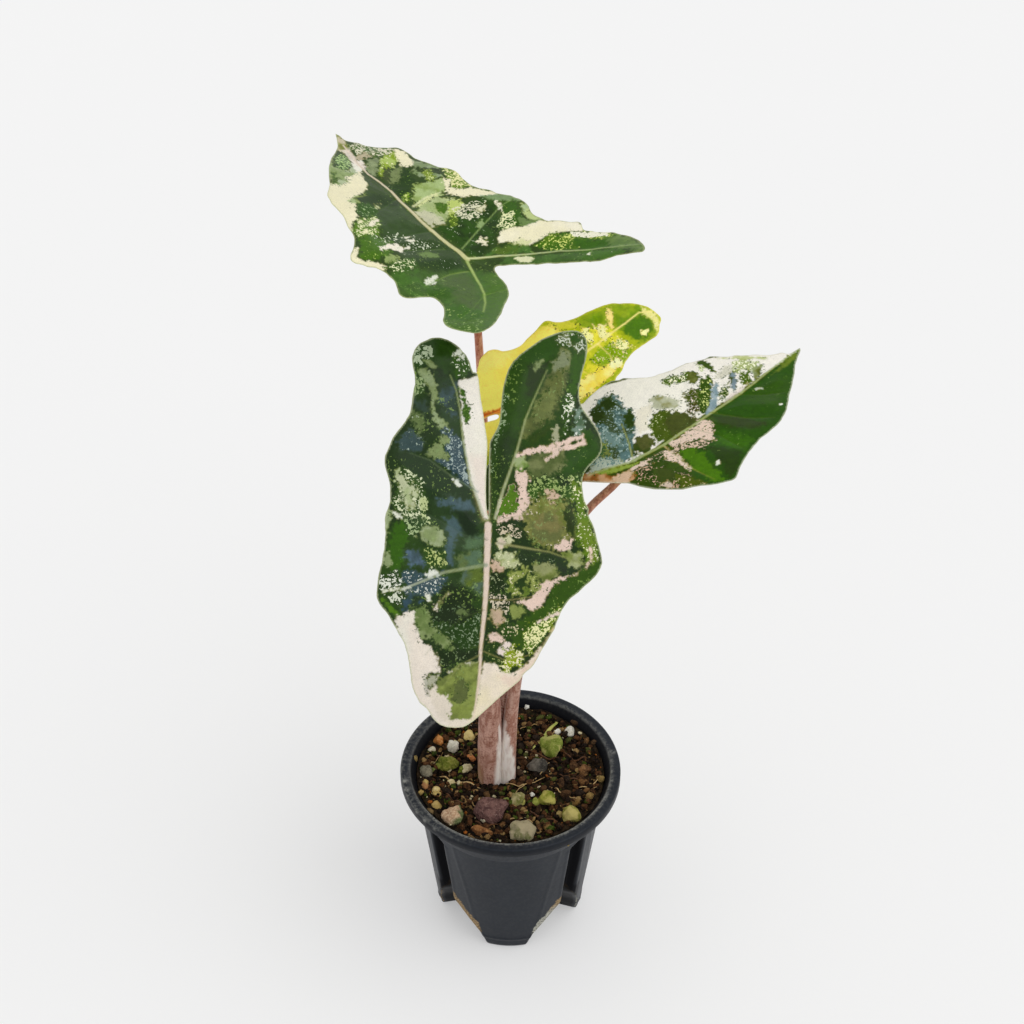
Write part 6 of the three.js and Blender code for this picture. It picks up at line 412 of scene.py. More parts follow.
        "outline": [[0.08, 18.07], [0.43, 18.79], [0.94, 19.38], [1.54, 19.91], [2.04, 20.53], [2.54, 21.16], [3.13, 21.68], [3.81, 22.1], [4.51, 22.46], [5.28, 22.69], [6.05, 22.89], [6.83, 23.09], [7.6, 23.18], [8.37, 22.98], [9.13, 22.76], [9.83, 22.36], [10.48, 21.9], [11.01, 21.31], [11.47, 20.65], [12.08, 20.14], [12.81, 19.82], [13.55, 19.5], [14.3, 19.25], [15.08, 19.05], [15.86, 18.87], [16.65, 18.77], [17.45, 18.75], [18.25, 18.74], [19.04, 18.87], [19.81, 19.08], [20.56, 19.35], [21.28, 19.7], [22.03, 19.97], [22.81, 20.15], [23.57, 20.39], [24.34, 20.62], [25.12, 20.81], [25.88, 21.05], [26.63, 21.31], [27.36, 21.65], [28.09, 21.99], [28.83, 22.27], [29.59, 22.54], [30.35, 22.77], [31.15, 22.81], [31.91, 22.58], [32.57, 22.14], [33.11, 21.55], [33.66, 20.97], [34.29, 20.47], [34.97, 20.05], [35.68, 19.68], [36.43, 19.39], [37.2, 19.2], [37.97, 18.98], [38.75, 18.8], [39.54, 18.66], [40.33, 18.53], [41.12, 18.42], [41.92, 18.36], [42.72, 18.37], [43.52, 18.36], [44.31, 18.4], [45.11, 18.47], [45.91, 18.51], [46.7, 18.44], [47.5, 18.4], [48.3, 18.33], [49.1, 18.31], [49.9, 18.3], [50.69, 18.2], [51.49, 18.17], [52.29, 18.12], [53.08, 18.0], [53.85, 17.8], [54.64, 17.64], [55.42, 17.47], [56.17, 17.2], [56.87, 16.82], [57.53, 16.36], [58.18, 15.91], [58.92, 15.61], [59.67, 15.32], [60.38, 14.95], [61.09, 14.58], [61.79, 14.2], [62.48, 13.79], [63.1, 13.29], [63.74, 12.81], [64.33, 12.27], [64.89, 11.7], [65.45, 11.12], [66.01, 10.56], [66.5, 9.93], [66.85, 9.21], [67.19, 8.48], [67.48, 7.74], [67.71, 6.97], [67.93, 6.2], [68.11, 5.42], [68.28, 4.64], [68.29, 3.85], [67.97, 3.12], [67.44, 2.53], [66.82, 2.02], [66.28, 1.44], [65.83, 0.78], [65.4, 0.1], [64.94, -0.56], [64.41, -1.15], [63.76, -1.62], [63.07, -2.02], [62.32, -2.28], [61.53, -2.4], [60.73, -2.49], [59.94, -2.61], [59.15, -2.75], [58.37, -2.91], [57.59, -3.07], [56.79, -3.13], [56.0, -3.22], [55.22, -3.42], [54.44, -3.57], [53.64, -3.68], [52.86, -3.85], [52.1, -4.08], [51.34, -4.34], [50.61, -4.66], [49.9, -5.03], [49.19, -5.41], [48.5, -5.8], [47.79, -6.18], [47.13, -6.63], [46.52, -7.15], [45.96, -7.71], [45.39, -8.28], [44.78, -8.79], [44.09, -9.2], [43.39, -9.58], [42.64, -9.87], [41.88, -10.11], [41.24, -10.55], [40.68, -11.1], [40.01, -11.54], [39.34, -11.97], [38.65, -12.39], [37.96, -12.79], [37.27, -13.18], [36.56, -13.57], [35.85, -13.93], [35.14, -14.29], [34.42, -14.64], [33.69, -14.97], [32.96, -15.3], [32.23, -15.61], [31.49, -15.92], [30.74, -16.21], [30.0, -16.5], [29.25, -16.78], [28.49, -17.04], [27.74, -17.31], [26.98, -17.56], [26.22, -17.81], [25.45, -18.05], [24.69, -18.29], [23.93, -18.52], [23.16, -18.76], [22.39, -18.98], [21.63, -19.21], [20.86, -19.43], [20.09, -19.64], [19.31, -19.85], [18.54, -20.05], [17.76, -20.25], [16.99, -20.43], [16.2, -20.61], [15.42, -20.77], [14.64, -20.93], [13.85, -21.08], [13.06, -21.22], [12.28, -21.35], [11.49, -21.47], [10.69, -21.59], [9.9, -21.7], [9.11, -21.8], [8.31, -21.89], [7.52, -21.97], [6.72, -22.05], [5.92, -22.12], [5.13, -22.17], [4.33, -22.22], [3.53, -22.26], [2.73, -22.3], [1.93, -22.32], [1.13, -22.34], [0.33, -22.34], [-0.47, -22.34], [-1.27, -22.33], [-2.07, -22.32], [-2.87, -22.3], [-3.67, -22.27], [-4.47, -22.24], [-5.27, -22.21], [-6.07, -22.17], [-6.86, -22.12], [-7.66, -22.07], [-8.46, -22.02], [-9.26, -21.96], [-10.06, -21.9], [-10.85, -21.84], [-11.65, -21.77], [-12.45, -21.69], [-13.24, -21.61], [-14.04, -21.51], [-14.83, -21.4], [-15.62, -21.28], [-16.41, -21.14], [-17.19, -20.98], [-17.97, -20.8], [-18.74, -20.6], [-19.51, -20.37], [-20.27, -20.12], [-21.02, -19.84], [-21.76, -19.53], [-22.48, -19.2], [-23.2, -18.83], [-23.89, -18.43], [-24.56, -18.0], [-25.2, -17.51], [-25.79, -16.97], [-26.33, -16.38], [-26.8, -15.74], [-27.2, -15.05], [-27.52, -14.32], [-27.77, -13.56], [-27.95, -12.78], [-28.06, -11.99], [-28.09, -11.19], [-28.04, -10.39], [-27.9, -9.6], [-27.7, -8.83], [-27.42, -8.08], [-27.07, -7.36], [-26.66, -6.67], [-26.19, -6.03], [-25.66, -5.43], [-25.08, -4.88], [-24.46, -4.37], [-23.8, -3.92], [-23.12, -3.5], [-22.41, -3.13], [-21.69, -2.79], [-20.95, -2.49], [-20.19, -2.22], [-19.43, -1.97], [-18.66, -1.75], [-17.89, -1.55], [-17.11, -1.37], [-16.33, -1.2], [-15.54, -1.05], [-14.75, -0.92], [-13.96, -0.8], [-13.17, -0.7], [-12.37, -0.61], [-11.58, -0.55], [-10.78, -0.51], [-9.98, -0.5], [-9.18, -0.52], [-8.38, -0.58], [-7.59, -0.67], [-6.8, -0.82], [-6.03, -1.02], [-5.27, -1.27], [-4.51, -1.53], [-3.75, -1.76], [-2.95, -1.82], [-2.21, -1.59], [-1.84, -0.95], [-2.13, -0.24], [-2.79, 0.19], [-3.55, 0.45], [-4.32, 0.67], [-5.1, 0.84], [-5.89, 0.91], [-6.69, 0.9], [-7.49, 0.88], [-8.29, 0.9], [-9.09, 0.95], [-9.89, 1.03], [-10.68, 1.13], [-11.47, 1.24], [-12.27, 1.35], [-13.06, 1.45], [-13.85, 1.56], [-14.64, 1.69], [-15.43, 1.83], [-16.21, 2.01], [-16.98, 2.22], [-17.73, 2.48], [-18.46, 2.81], [-19.13, 3.24], [-19.73, 3.77], [-20.2, 4.41], [-20.55, 5.13], [-20.79, 5.89], [-20.9, 6.68], [-20.89, 7.48], [-20.75, 8.27], [-20.5, 9.02], [-20.14, 9.74], [-19.71, 10.41], [-19.21, 11.03], [-18.65, 11.6], [-18.04, 12.12], [-17.39, 12.59], [-16.71, 13.01], [-16.01, 13.4], [-15.29, 13.75], [-14.56, 14.08], [-13.82, 14.39], [-13.08, 14.67], [-12.32, 14.94], [-11.56, 15.19], [-10.8, 15.43], [-10.04, 15.67], [-9.27, 15.89], [-8.5, 16.11], [-7.73, 16.32], [-6.95, 16.52], [-6.18, 16.71], [-5.4, 16.9], [-4.62, 17.07], [-3.83, 17.23], [-3.05, 17.39], [-2.26, 17.54], [-1.48, 17.71], [-0.7, 17.89]],
        "ground": '86a414',
        "spk_col": 'e9dfae',
        "marg": 'c3c877',
        "marg_w": 0.5,
        "marg_op": 0.5,
        "quilt": 0.6,
        "wave": 0.35,
        "tints": [('9cb21c', 0.5, 0.8)],
        "mid": [[0.0, 0.0], [17.09, 2.27], [30.12, 3.27], [42.91, 5.25], [49.59, 6.7], [55.59, 7.67], [62.38, 9.26], [66.74, 7.45]],
        "cost": [[[-0.8, 0.06], [-8.41, 1.35], [-15.4, 2.31]]],
        "lat": [[[42.91, 5.25], [44.32, -0.84], [43.35, -6.83]], [[42.91, 5.25], [46.25, 12.35], [47.31, 16.98]], [[30.12, 3.27], [30.9, 11.73], [32.3, 19.86]], [[17.09, 2.27], [13.54, 10.52], [12.5, 19.57]], [[49.59, 6.7], [52.76, 12.06], [54.37, 16.9]], [[55.59, 7.67], [59.46, 3.67], [63.76, 0.37]], [[30.12, 3.27], [33.95, -4.47], [34.22, -11.22]]],
        "patches": [
            ('poly', 'dac860', [[3.34, 26.27], [11.35, 21.22], [27.75, 20.66], [35.61, 19.83], [30.9, 11.73], [34.02, 2.85], [28.22, -10.89], [23.14, -12.58], [9.61, -11.01], [-6.31, -9.88], [-30.79, -16.6], [-27.39, 4.92], [-14.86, 19.47]], {'rough': 1.2, 'soft': 2.2, 'c2': 'd3cf70', 'f2': 0.08}),
            ('poly', 'cfcf7c', [[5.58, 25.78], [11.75, 21.91], [15.58, 17.66], [9.33, 14.07], [2.71, 16.38], [1.43, 19.99]], {'rough': 1.2, 'soft': 2}),
            ('poly', '9db42c', [[40.2, 13.4], [45.63, 14.12], [52.13, 12.41], [50.62, 2.8], [41.09, -6.44], [31.83, -8.18], [34.64, 2.48]], {'rough': 1.6, 'soft': 1.0, 'c2': 'b9c53c'}),
            ('poly', '5c8c0a', [[39.36, 17.67], [47.1, 18.05], [55.75, 17.11], [64.87, 12.73], [67.7, 6.95], [66.44, 1.36], [61.52, -3.42], [55.75, -2.61], [54.8, 1.43], [52.31, 5.67], [49.18, 10.24], [43.33, 11.62]], {'rough': 1.2, 'soft': 0.9, 'c2': '72981c'}),
            ('poly', '3f7408', [[53.36, 6.04], [59.08, 8.64], [63.86, 7.53], [65.51, 3.3], [60.86, -1.0], [55.8, -1.11], [53.54, 2.13]], {'rough': 1.0, 'soft': 0.9}),
            ('poly', '6c9a0c', [[41.04, 3.49], [47.07, 3.84], [50.77, -1.18], [52.35, -4.16], [45.61, -7.21], [38.84, -6.04], [37.3, -0.07]], {'rough': 1.5, 'soft': 0.7, 'spk': 0.3, 'sc': 'e6dc9c'}),
            ('poly', 'e2cf98', [[52.99, 16.7], [54.58, 15.84], [53.08, 11.89], [50.64, 8.48], [51.08, 12.04]], {'rough': 0.8, 'soft': 0.4, 'op': 0.8}),
            ('poly', 'e3d5b0', [[45.42, 12.34], [48.13, 9.87], [48.96, 5.63], [45.82, 4.55], [44.58, 8.08]], {'rough': 1.3, 'soft': 0.4, 'spk': 0.3, 'sc': 'a3b24c'}),
            ('poly', 'e6d7b6', [[48.12, 4.21], [51.24, 2.45], [53.06, -1.53], [50.33, -1.93], [47.67, 0.63]], {'rough': 1.3, 'soft': 0.4, 'spk': 0.4, 'sc': '93ab34'}),
            ('poly', 'e6d7a8', [[41.45, 12.69], [43.12, 9.85], [42.29, 5.61], [39.38, 6.33], [39.38, 9.15]], {'rough': 1.2, 'soft': 0.4}),
            ('poly', 'e0d08c', [[29.86, -4.39], [38.48, -3.79], [44.04, -4.2], [45.61, -7.21], [40.41, -9.06], [31.56, -11.54], [25.26, -12.47]], {'rough': 1.0, 'soft': 0.8, 'c2': 'd6c65c'}),
            ('poly', 'e8dcc0', [[42.2, -3.07], [46.13, -3.45], [46.66, -6.83], [42.92, -7.58]], {'rough': 1.0, 'soft': 0.4}),
            ('poly', 'c5cf9c', [[64.22, 11.64], [67.38, 7.11], [67.86, 3.03], [63.8, -1.67], [64.56, 3.81], [63.55, 9.12]], {'rough': 0.8, 'soft': 0.6, 'spk': 0.3, 'sc': 'eef0dc', 'op': 0.8}),
            ('poly', 'dfe0b0', [[58.6, 2.22], [61.55, 1.57], [59.61, -0.3], [57.83, 0.21]], {'rough': 0.6, 'soft': 0.3}),
            ('poly', 'a9b83c', [[31.87, 22.01], [35.2, 19.12], [40.3, 17.13], [40.2, 13.4], [33.97, 17.0]], {'rough': 1.2, 'soft': 0.7}),
            ('stroke', 'a7582c', [[-11.44, 3.37], [-6.92, 1.77], [-0.61, 0.4], [4.01, -0.27]], {'w': (2.63, 1.88), 'rough': 0.4, 'soft': 0.6}),
        ],
        "vein_paint": [
            ([[0.0, 0.0], [17.09, 2.27], [30.12, 3.27], [42.91, 5.25], [49.59, 6.7], [55.59, 7.67], [62.38, 9.26], [66.74, 7.45]], (1.28, 0.45), ('d9cf84', 'c9cf96'), 0.9),
            ([[-0.8, 0.06], [-8.41, 1.35], [-15.4, 2.31]], (1.13, 0.75), ('c48a48', 'c9a25c'), 0.8),
            ([[42.91, 5.25], [44.32, -0.84], [43.35, -6.83]], (0.53, 0.3), ('dcd0a0', 'dcd0a0'), 0.5),
            ([[30.12, 3.27], [30.9, 11.73], [32.3, 19.86]], (0.45, 0.26), ('d9d488', 'd9d488'), 0.5),
            ([[17.09, 2.27], [13.54, 10.52], [12.5, 19.57]], (0.53, 0.3), ('ddd890', 'ddd890'), 0.5),
            ([[30.12, 3.27], [33.95, -4.47], [34.22, -11.22]], (0.49, 0.26), ('d9d07c', 'd9d07c'), 0.5),
        ],
    },
}


# --------------------------------------------------------------- small tools
def lin(c):
    """sRGB 0..255 to linear."""
    c = np.asarray(c, float) / 255.0
    return np.where(c <= 0.04045, c / 12.92, ((c + 0.055) / 1.055) ** 2.4)


def hexlin(h):
    return lin([int(h[i:i + 2], 16) for i in (0, 2, 4)])


def sstep(a, b, x):
    t = np.clip((x - a) / (b - a), 0, 1)
    return t * t * (3 - 2 * t)


def hashn(ix, iy, seed):
    h = (ix.astype(np.int64) * 374761393 + iy.astype(np.int64) * 668265263 + seed * 1274126177) & 0xFFFFFFFF
    h = ((h ^ (h >> 13)) * 1274126177) & 0xFFFFFFFF
    return ((h ^ (h >> 16)) & 0xFFFF) / 65535.0


def vnoise(p, freq, seed):
    """Value noise, 0..1, of points p (n, 2)."""
    q = p * freq
    i = np.floor(q).astype(np.int64)
    f = q - i
    f = f * f * (3 - 2 * f)
    a = hashn(i[:, 0], i[:, 1], seed); b = hashn(i[:, 0] + 1, i[:, 1], seed)
    c = hashn(i[:, 0], i[:, 1] + 1, seed); d = hashn(i[:, 0] + 1, i[:, 1] + 1, seed)
    return (a + (b - a) * f[:, 0]) * (1 - f[:, 1]) + (c + (d - c) * f[:, 0]) * f[:, 1]


def fbm(p, freq, seed, octaves=3):
    s = np.zeros(len(p)); a = 1.0; t = 0.0
    for k in range(octaves):
        s += a * vnoise(p, freq * 2 ** k, seed + 17 * k); t += a; a *= 0.5
    return s / t


def seg_dist(P, line):
    """Distance of points to a polyline, and the share of its length at the nearest point."""
    L = np.asarray(line, float)
    seg = np.linalg.norm(np.diff(L, axis=0), axis=1)
    cum = np.r_[0, np.cumsum(seg)]
    best = np.full(len(P), 1e9); at = np.zeros(len(P)); side = np.zeros(len(P))
    for k in range(len(L) - 1):
        a, b = L[k], L[k + 1]
        ab = b - a; l2 = max(ab @ ab, 1e-9)
        t = np.clip(((P - a) @ ab) / l2, 0, 1)
        d = P - (a + t[:, None] * ab)
        dd = np.hypot(d[:, 0], d[:, 1])
        m = dd < best
        best[m] = dd[m]; at[m] = (cum[k] + t[m] * seg[k]) / cum[-1]
        side[m] = np.sign(ab[0] * d[m, 1] - ab[1] * d[m, 0])
    return best, at, side


def inside(P, poly):
    poly = np.asarray(poly, float)
    r = np.zeros(len(P), bool)
    a = poly; b = np.roll(poly, -1, axis=0)
    for (x1, y1), (x2, y2) in zip(a, b):
        if y1 == y2:
            continue
        c = ((P[:, 1] < y1) != (P[:, 1] < y2)) & (P[:, 0] < (x2 - x1) * (P[:, 1] - y1) / (y2 - y1) + x1)
        r ^= c
    return r


def poly_sd(P, poly):
    """Signed distance to a closed polygon, positive inside."""
    poly = np.asarray(poly, float)
    d, _, _ = seg_dist(P, np.vstack([poly, poly[:1]]))
    return np.where(inside(P, poly), d, -d)


def new_obj(name, verts, faces, mat, smooth=True):
    me = bpy.data.meshes.new(name)
    me.from_pydata([tuple(v) for v in verts], [], [tuple(int(i) for i in f) for f in faces])
    me.update()
    o = bpy.data.objects.new(name, me)
    scene.collection.objects.link(o)
    if mat is not None:
        me.materials.append(mat)
    if smooth:
        me.polygons.foreach_set("use_smooth", [True] * len(me.polygons))
    return o


def point_attr(o, name, data, kind="FLOAT"):
    a = o.data.attributes.new(name, "FLOAT_COLOR" if kind == "COLOR" else "FLOAT", "POINT")
    d = np.asarray(data, np.float32)
    if kind == "COLOR":
        if d.shape[1] == 3:
            d = np.hstack([d, np.ones((len(d), 1), np.float32)])
        a.data.foreach_set("color", d.ravel())
    else:
        a.data.foreach_set("value", d.ravel())


class N:
    """Short way to build a node material."""
    def __init__(self, name):
        self.m = bpy.data.materials.new(name)
        self.m.use_nodes = True
        self.t = self.m.node_tree
        self.t.nodes.clear()
        self.out = self.t.nodes.new("ShaderNodeOutputMaterial")
        self.b = self.t.nodes.new("ShaderNodeBsdfPrincipled")
        self.t.links.new(self.b.outputs[0], self.out.inputs["Surface"])
        self.b.location = (0, 0)

    def n(self, kind, **kw):
        x = self.t.nodes.new("ShaderNode" + kind)
        for k, v in kw.items():
            setattr(x, k, v)
        return x

    def put(self, sock, v):
        if hasattr(v, "is_output") or hasattr(v, "links"):
            self.t.links.new(v, sock)
        else:
            if hasattr(sock.default_value, "__len__") and not hasattr(v, "__len__"):
                v = [v] * len(sock.default_value)
            if hasattr(v, "__len__") and len(sock.default_value) == 4 and len(v) == 3:
                v = list(v) + [1.0]
            sock.default_value = v

    def coord(self, scale=1000.0):
        tc = self.n("TexCoord")
        mp = self.n("Mapping")
        self.put(mp.inputs["Vector"], tc.outputs["Object"])
        mp.inputs["Scale"].default_value = (scale, scale, scale) if not hasattr(scale, "__len__") else scale
        return mp.outputs[0]

    def noise(self, vec, scale, detail=3, rough=0.55, dist=0.0):
        x = self.n("TexNoise")
        self.put(x.inputs["Vector"], vec)
        x.inputs["Scale"].default_value = scale
        x.inputs["Detail"].default_value = detail
        x.inputs["Roughness"].default_value = rough
        x.inputs["Distortion"].default_value = dist
        return x.outputs["Fac"]

    def vor(self, vec, scale, feature="F1", out="Distance", rnd=1.0):
        x = self.n("TexVoronoi", feature=feature)
        self.put(x.inputs["Vector"], vec)
        x.inputs["Scale"].default_value = scale
        x.inputs["Randomness"].default_value = rnd
        return x.outputs[out]

    def math(self, op, a, b=0.0, c=None, clamp=False):
        x = self.n("Math", operation=op)
        x.use_clamp = clamp
        self.put(x.inputs[0], a)
        self.put(x.inputs[1], b)
        if c is not None:
            self.put(x.inputs[2], c)
        return x.outputs[0]

    def ss(self, v, a, b):
        x = self.n("MapRange", interpolation_type="SMOOTHSTEP")
        self.put(x.inputs["Value"], v)
        x.inputs["From Min"].default_value = a
        x.inputs["From Max"].default_value = b
        return x.outputs["Result"]

    def ramp(self, v, a, b, lo, hi):
        x = self.n("MapRange")
        self.put(x.inputs["Value"], v)
        x.inputs["From Min"].default_value = a
        x.inputs["From Max"].default_value = b
        x.inputs["To Min"].default_value = lo
        x.inputs["To Max"].default_value = hi
        return x.outputs["Result"]

    def mix(self, f, a, b, blend="MIX"):
        x = self.n("Mix", data_type="RGBA", blend_type=blend)
        self.put(x.inputs[0], f)
        self.put(x.inputs[6], a)
        self.put(x.inputs[7], b)
        return x.outputs[2]

    def attr(self, name, out="Color"):
        x = self.n("Attribute", attribute_name=name)
        return x.outputs[out]

    def bump(self, h, strength=0.3, dist=0.0003, normal=None):
        x = self.n("Bump")
        self.put(x.inputs["Height"], h)
        x.inputs["Strength"].default_value = strength
        x.inputs["Distance"].default_value = dist
        if normal is not None:
            self.put(x.inputs["Normal"], normal)
        return x.outputs[0]


# -------------------------------------------------------------------- leaves
def blade_h(q, u, v):
    a, b, t, c, d, e = q
    up = np.maximum(u, 0); um = np.minimum(u, 0)
    return (-0.5 * a * 0.01 * up * up - 0.5 * b * 0.01 * um * um + t * (np.sqrt(v * v + 9) - 3)
            - 0.5 * c * 0.01 * v * v + d * 0.01 * u * v + e * 0.0001 * v ** 3)


def leaf_material(name, spec=0.20):
    m = N(name)
    co = m.coord()
    base = m.attr("Col")
    spk = m.attr("Spk", "Fac")
    spc = m.attr("SpkCol")
    under = m.attr("Under", "Fac")
    # fine speckle: small cells scattered where the blade is marked as speckled
    n1 = m.noise(co, 1.15, 2, 0.6, 0.4)
    n2 = m.noise(co, 0.34, 2, 0.5)
    s = m.math("ADD", m.math("MULTIPLY", n1, 0.75), m.math("MULTIPLY", n2, 0.25))
    thr = m.math("SUBTRACT", 0.72, m.math("MULTIPLY", spk, 0.46))
    on = m.math("MULTIPLY", m.ss(m.math("SUBTRACT", s, thr), -0.012, 0.03), m.ss(spk, 0.02, 0.1))
    col = m.mix(on, base, spc)
    # dark green dots gathered along the borders of the patches
    dk = m.attr("Dk", "Fac")
    n4 = m.noise(co, 1.35, 2, 0.6, 0.5)
    n5 = m.noise(co, 0.5, 2, 0.5)
    s2 = m.math("ADD", m.math("MULTIPLY", n4, 0.7), m.math("MULTIPLY", n5, 0.3))
    on2 = m.ss(m.math("SUBTRACT", s2, m.math("SUBTRACT", 0.74, m.math("MULTIPLY", dk, 0.30))), -0.015, 0.025)
    col = m.mix(m.math("MULTIPLY", on2, m.math("MULTIPLY", m.ss(dk, 0.05, 0.25), 0.88)), col, m.mix(n5, (0.016, 0.042, 0.006), (0.045, 0.09, 0.008)))
    # blade texture: light and dark mottling, tiny cells
    n3 = m.noise(co, 0.55, 4, 0.6)
    tone = m.ramp(n3, 0.3, 0.7, 0.84, 1.14)
    bw = m.n("RGBToBW")
    m.put(bw.inputs[0], col)
    calm = m.math("SUBTRACT", 1.0, m.math("MULTIPLY", m.ss(bw.outputs[0], 0.28, 0.60), 0.72))
    col = m.mix(calm, col, m.mix(1.0, col, tone, "MULTIPLY"))
    cell = m.vor(co, 2.6, "F1")
    col = m.mix(1.0, col, m.ramp(cell, 0.1, 0.6, 0.94, 1.12), "MULTIPLY")
    m.put(m.b.inputs["Base Color"], col)
    rough = m.ramp(n3, 0.3, 0.7, 0.26, 0.40)
    rough = m.math("ADD", rough, m.math("MULTIPLY", under, 0.22))
    m.put(m.b.inputs["Roughness"], rough)
    m.b.inputs["Specular IOR Level"].default_value = spec
    m.b.inputs["Coat Weight"].default_value = 0.0
    h = m.math("ADD", m.math("MULTIPLY", m.noise(co, 1.6, 3), 0.5), m.math("MULTIPLY", cell, 0.35))
    m.put(m.b.inputs["Normal"], m.bump(h, 0.35, 0.00018))
    m.b.inputs["Subsurface Weight"].default_value = 0.0
    # thin leaf: a little light passes through
    tr = m.n("BsdfTranslucent")
    m.put(tr.inputs["Color"], m.mix(1.0, col, (1.25, 1.2, 0.7), "MULTIPLY"))
    mx = m.n("MixShader")
    mx.inputs[0].default_value = 0.10
    m.t.links.new(m.b.outputs[0], mx.inputs[1])
    m.t.links.new(tr.outputs[0], mx.inputs[2])
    m.t.links.new(mx.outputs[0], m.out.inputs["Surface"])
    return m.m


def build_leaf(key, name, node, spacing=0.46):
    L = LEAVES[key]
    outl = np.array(L["outline"], float)
    lo, hi = outl.min(0), outl.max(0)
    sx = spacing; sy = spacing * math.sqrt(3) / 2
    rows = []
    for j, y in enumerate(np.arange(lo[1] + 0.3, hi[1], sy)):
        x = np.arange(lo[0] + 0.3 + (0.5 * sx if j % 2 else 0), hi[0], sx)
        rows.append(np.stack([x, np.full(len(x), y)], 1))
    g = np.vstack(rows)
    sd = poly_sd(g, outl)
    g = g[sd > 0.42]
    pts = np.vstack([outl, g])
    no = len(outl)
    edges = [(i, (i + 1) % no) for i in range(no)]
    v2, _, f2, _, _, _ = delaunay_2d_cdt([Vector(p) for p in pts], edges, [list(range(no))], 1, 1e-5)
    uv = np.array([(p.x, p.y) for p in v2])
    tris = np.array([f for f in f2 if len(f) == 3])
    a, b, c = uv[tris[:, 0]], uv[tris[:, 1]], uv[tris[:, 2]]
    flip = ((b - a)[:, 0] * (c - a)[:, 1] - (b - a)[:, 1] * (c - a)[:, 0]) < 0
    tris[flip] = tris[flip][:, ::-1]
    # boundary edges, for the rim
    e = np.vstack([tris[:, [0, 1]], tris[:, [1, 2]], tris[:, [2, 0]]])
    key_e = np.sort(e, axis=1)
    _, inv, cnt = np.unique(key_e, axis=0, return_inverse=True, return_counts=True)
    bd = e[cnt[inv.ravel()] == 1]
    dist = np.maximum(poly_sd(uv, outl), 0)

    u, v = uv[:, 0], uv[:, 1]
    h = blade_h(L["q"], u, v)
    # quilting: the blade swells between the veins and dips along them
    dmid, tmid, _ = seg_dist(uv, L["mid"])
    dl = np.full(len(uv), 99.0)
    for ln in L["lat"]:
        d, t, _ = seg_dist(uv, ln)
        dl = np.minimum(dl, d + 5.0 * np.maximum(t - 0.85, 0))
    dcost = np.full(len(uv), 99.0)
    for ln in L["cost"]:
        d, t, _ = seg_dist(uv, ln)
        dcost = np.minimum(dcost, d)
    fade = sstep(0, 7, dist)
    dv = np.minimum(np.minimum(dmid, dl), dcost)
    swell = 1.35 * L.get("quilt", 0.8) * (1 - np.exp(-(dv / 4.5) ** 2)) * fade
    wave = L.get("wave", 0.5) * (fbm(uv, 0.045, 11) - 0.5) * 2 * sstep(0, 10, dist) \
        + 0.25 * (fbm(uv, 0.12, 5) - 0.5) * 2 * sstep(0, 5, dist)
    top = swell + wave
    top += 0.28 * np.exp(-(dmid / 0.9) ** 2) * (1 - 0.7 * tmid) + 0.16 * np.exp(-(dcost / 0.7) ** 2)
    top -= 0.22 * np.exp(-(dl / 0.6) ** 2) * fade
    bot = swell + wave
    bot -= 1.25 * np.exp(-(dmid / 1.1) ** 2) * (1 - 0.8 * tmid) * sstep(0, 3, dist + 1.0)
    bot -= 0.8 * np.exp(-(dcost / 0.9) ** 2) * sstep(0, 4, dist)
    bot -= 0.35 * np.exp(-(dl / 0.7) ** 2) * fade
    th = 0.10 + 0.20 * sstep(0, 2.0, dist)
    P0, n, U, V = (np.array(L[k]) for k in ("P0", "n", "U", "V"))
    def place(off):
        return (P0 + SH + u[:, None] * U + v[:, None] * V + (h + off)[:, None] * n) / 1000.0
    T = place(top + th); B = place(bot - th)
    nv = len(uv)
    orient = np.dot(np.cross(U, V), n) > 0
    ft = tris if orient else tris[:, ::-1]
    fb = (tris[:, ::-1] if orient else tris) + nv
    faces = [tuple(f) for f in ft] + [tuple(f) for f in fb]
    for i, j in bd:
        faces.append((i, i + nv, j + nv, j) if orient else (j, j + nv, i + nv, i))
    col, spk, spc, dk = paint(key, uv, dist, dmid, tmid, dcost, dl)
    under_c = 0.62 * col + 0.38 * lin((176, 184, 140))
    gl = 0.25 * np.exp(-(np.minimum(dmid, dcost) / 1.3) ** 2)[:, None]
    under_c = under_c * (1 - gl) + gl * lin((206, 196, 160))
    o = new_obj(name, np.vstack([T, B]), faces, leaf_material(name + "_mat", {"A": 0.19, "B": 0.17, "C": 0.10, "D": 0.14}[key]))
    point_attr(o, "Col", np.vstack([col, under_c]), "COLOR")
    point_attr(o, "SpkCol", np.vstack([spc, 0.5 * spc + 0.5 * under_c]), "COLOR")
    point_attr(o, "Spk", np.r_[spk, spk * 0.7])
    point_attr(o, "Dk", np.r_[dk, dk * 0.5])
    point_attr(o, "Under", np.r_[np.zeros(nv), np.ones(nv)])
    uvl = o.data.uv_layers.new(name="OFBake")
    li = np.zeros(len(o.data.loops), np.int64)
    o.data.loops.foreach_get("vertex_index", li)
    span = (hi - lo).max() * 1.04
    base_uv = (uv - lo) / span
    full = np.vstack([base_uv * [0.5, 0.5] + [0.0, 0.0], base_uv * [0.5, 0.5] + [0.5, 0.5]])
    full[:, 0] = np.clip(full[:, 0], 0.001, 0.999); full[:, 1] = np.clip(full[:, 1], 0.001, 0.999)
    uvl.data.foreach_set("uv", full[li].astype(np.float32).ravel())
    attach(o, "root"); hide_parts(node)
    return o


BASE_SPK = {"A": 0.31, "B": 0.26, "C": 0.16, "D": 0.12}


def lumi(c):
    return c @ np.array([0.2126, 0.7152, 0.0722])


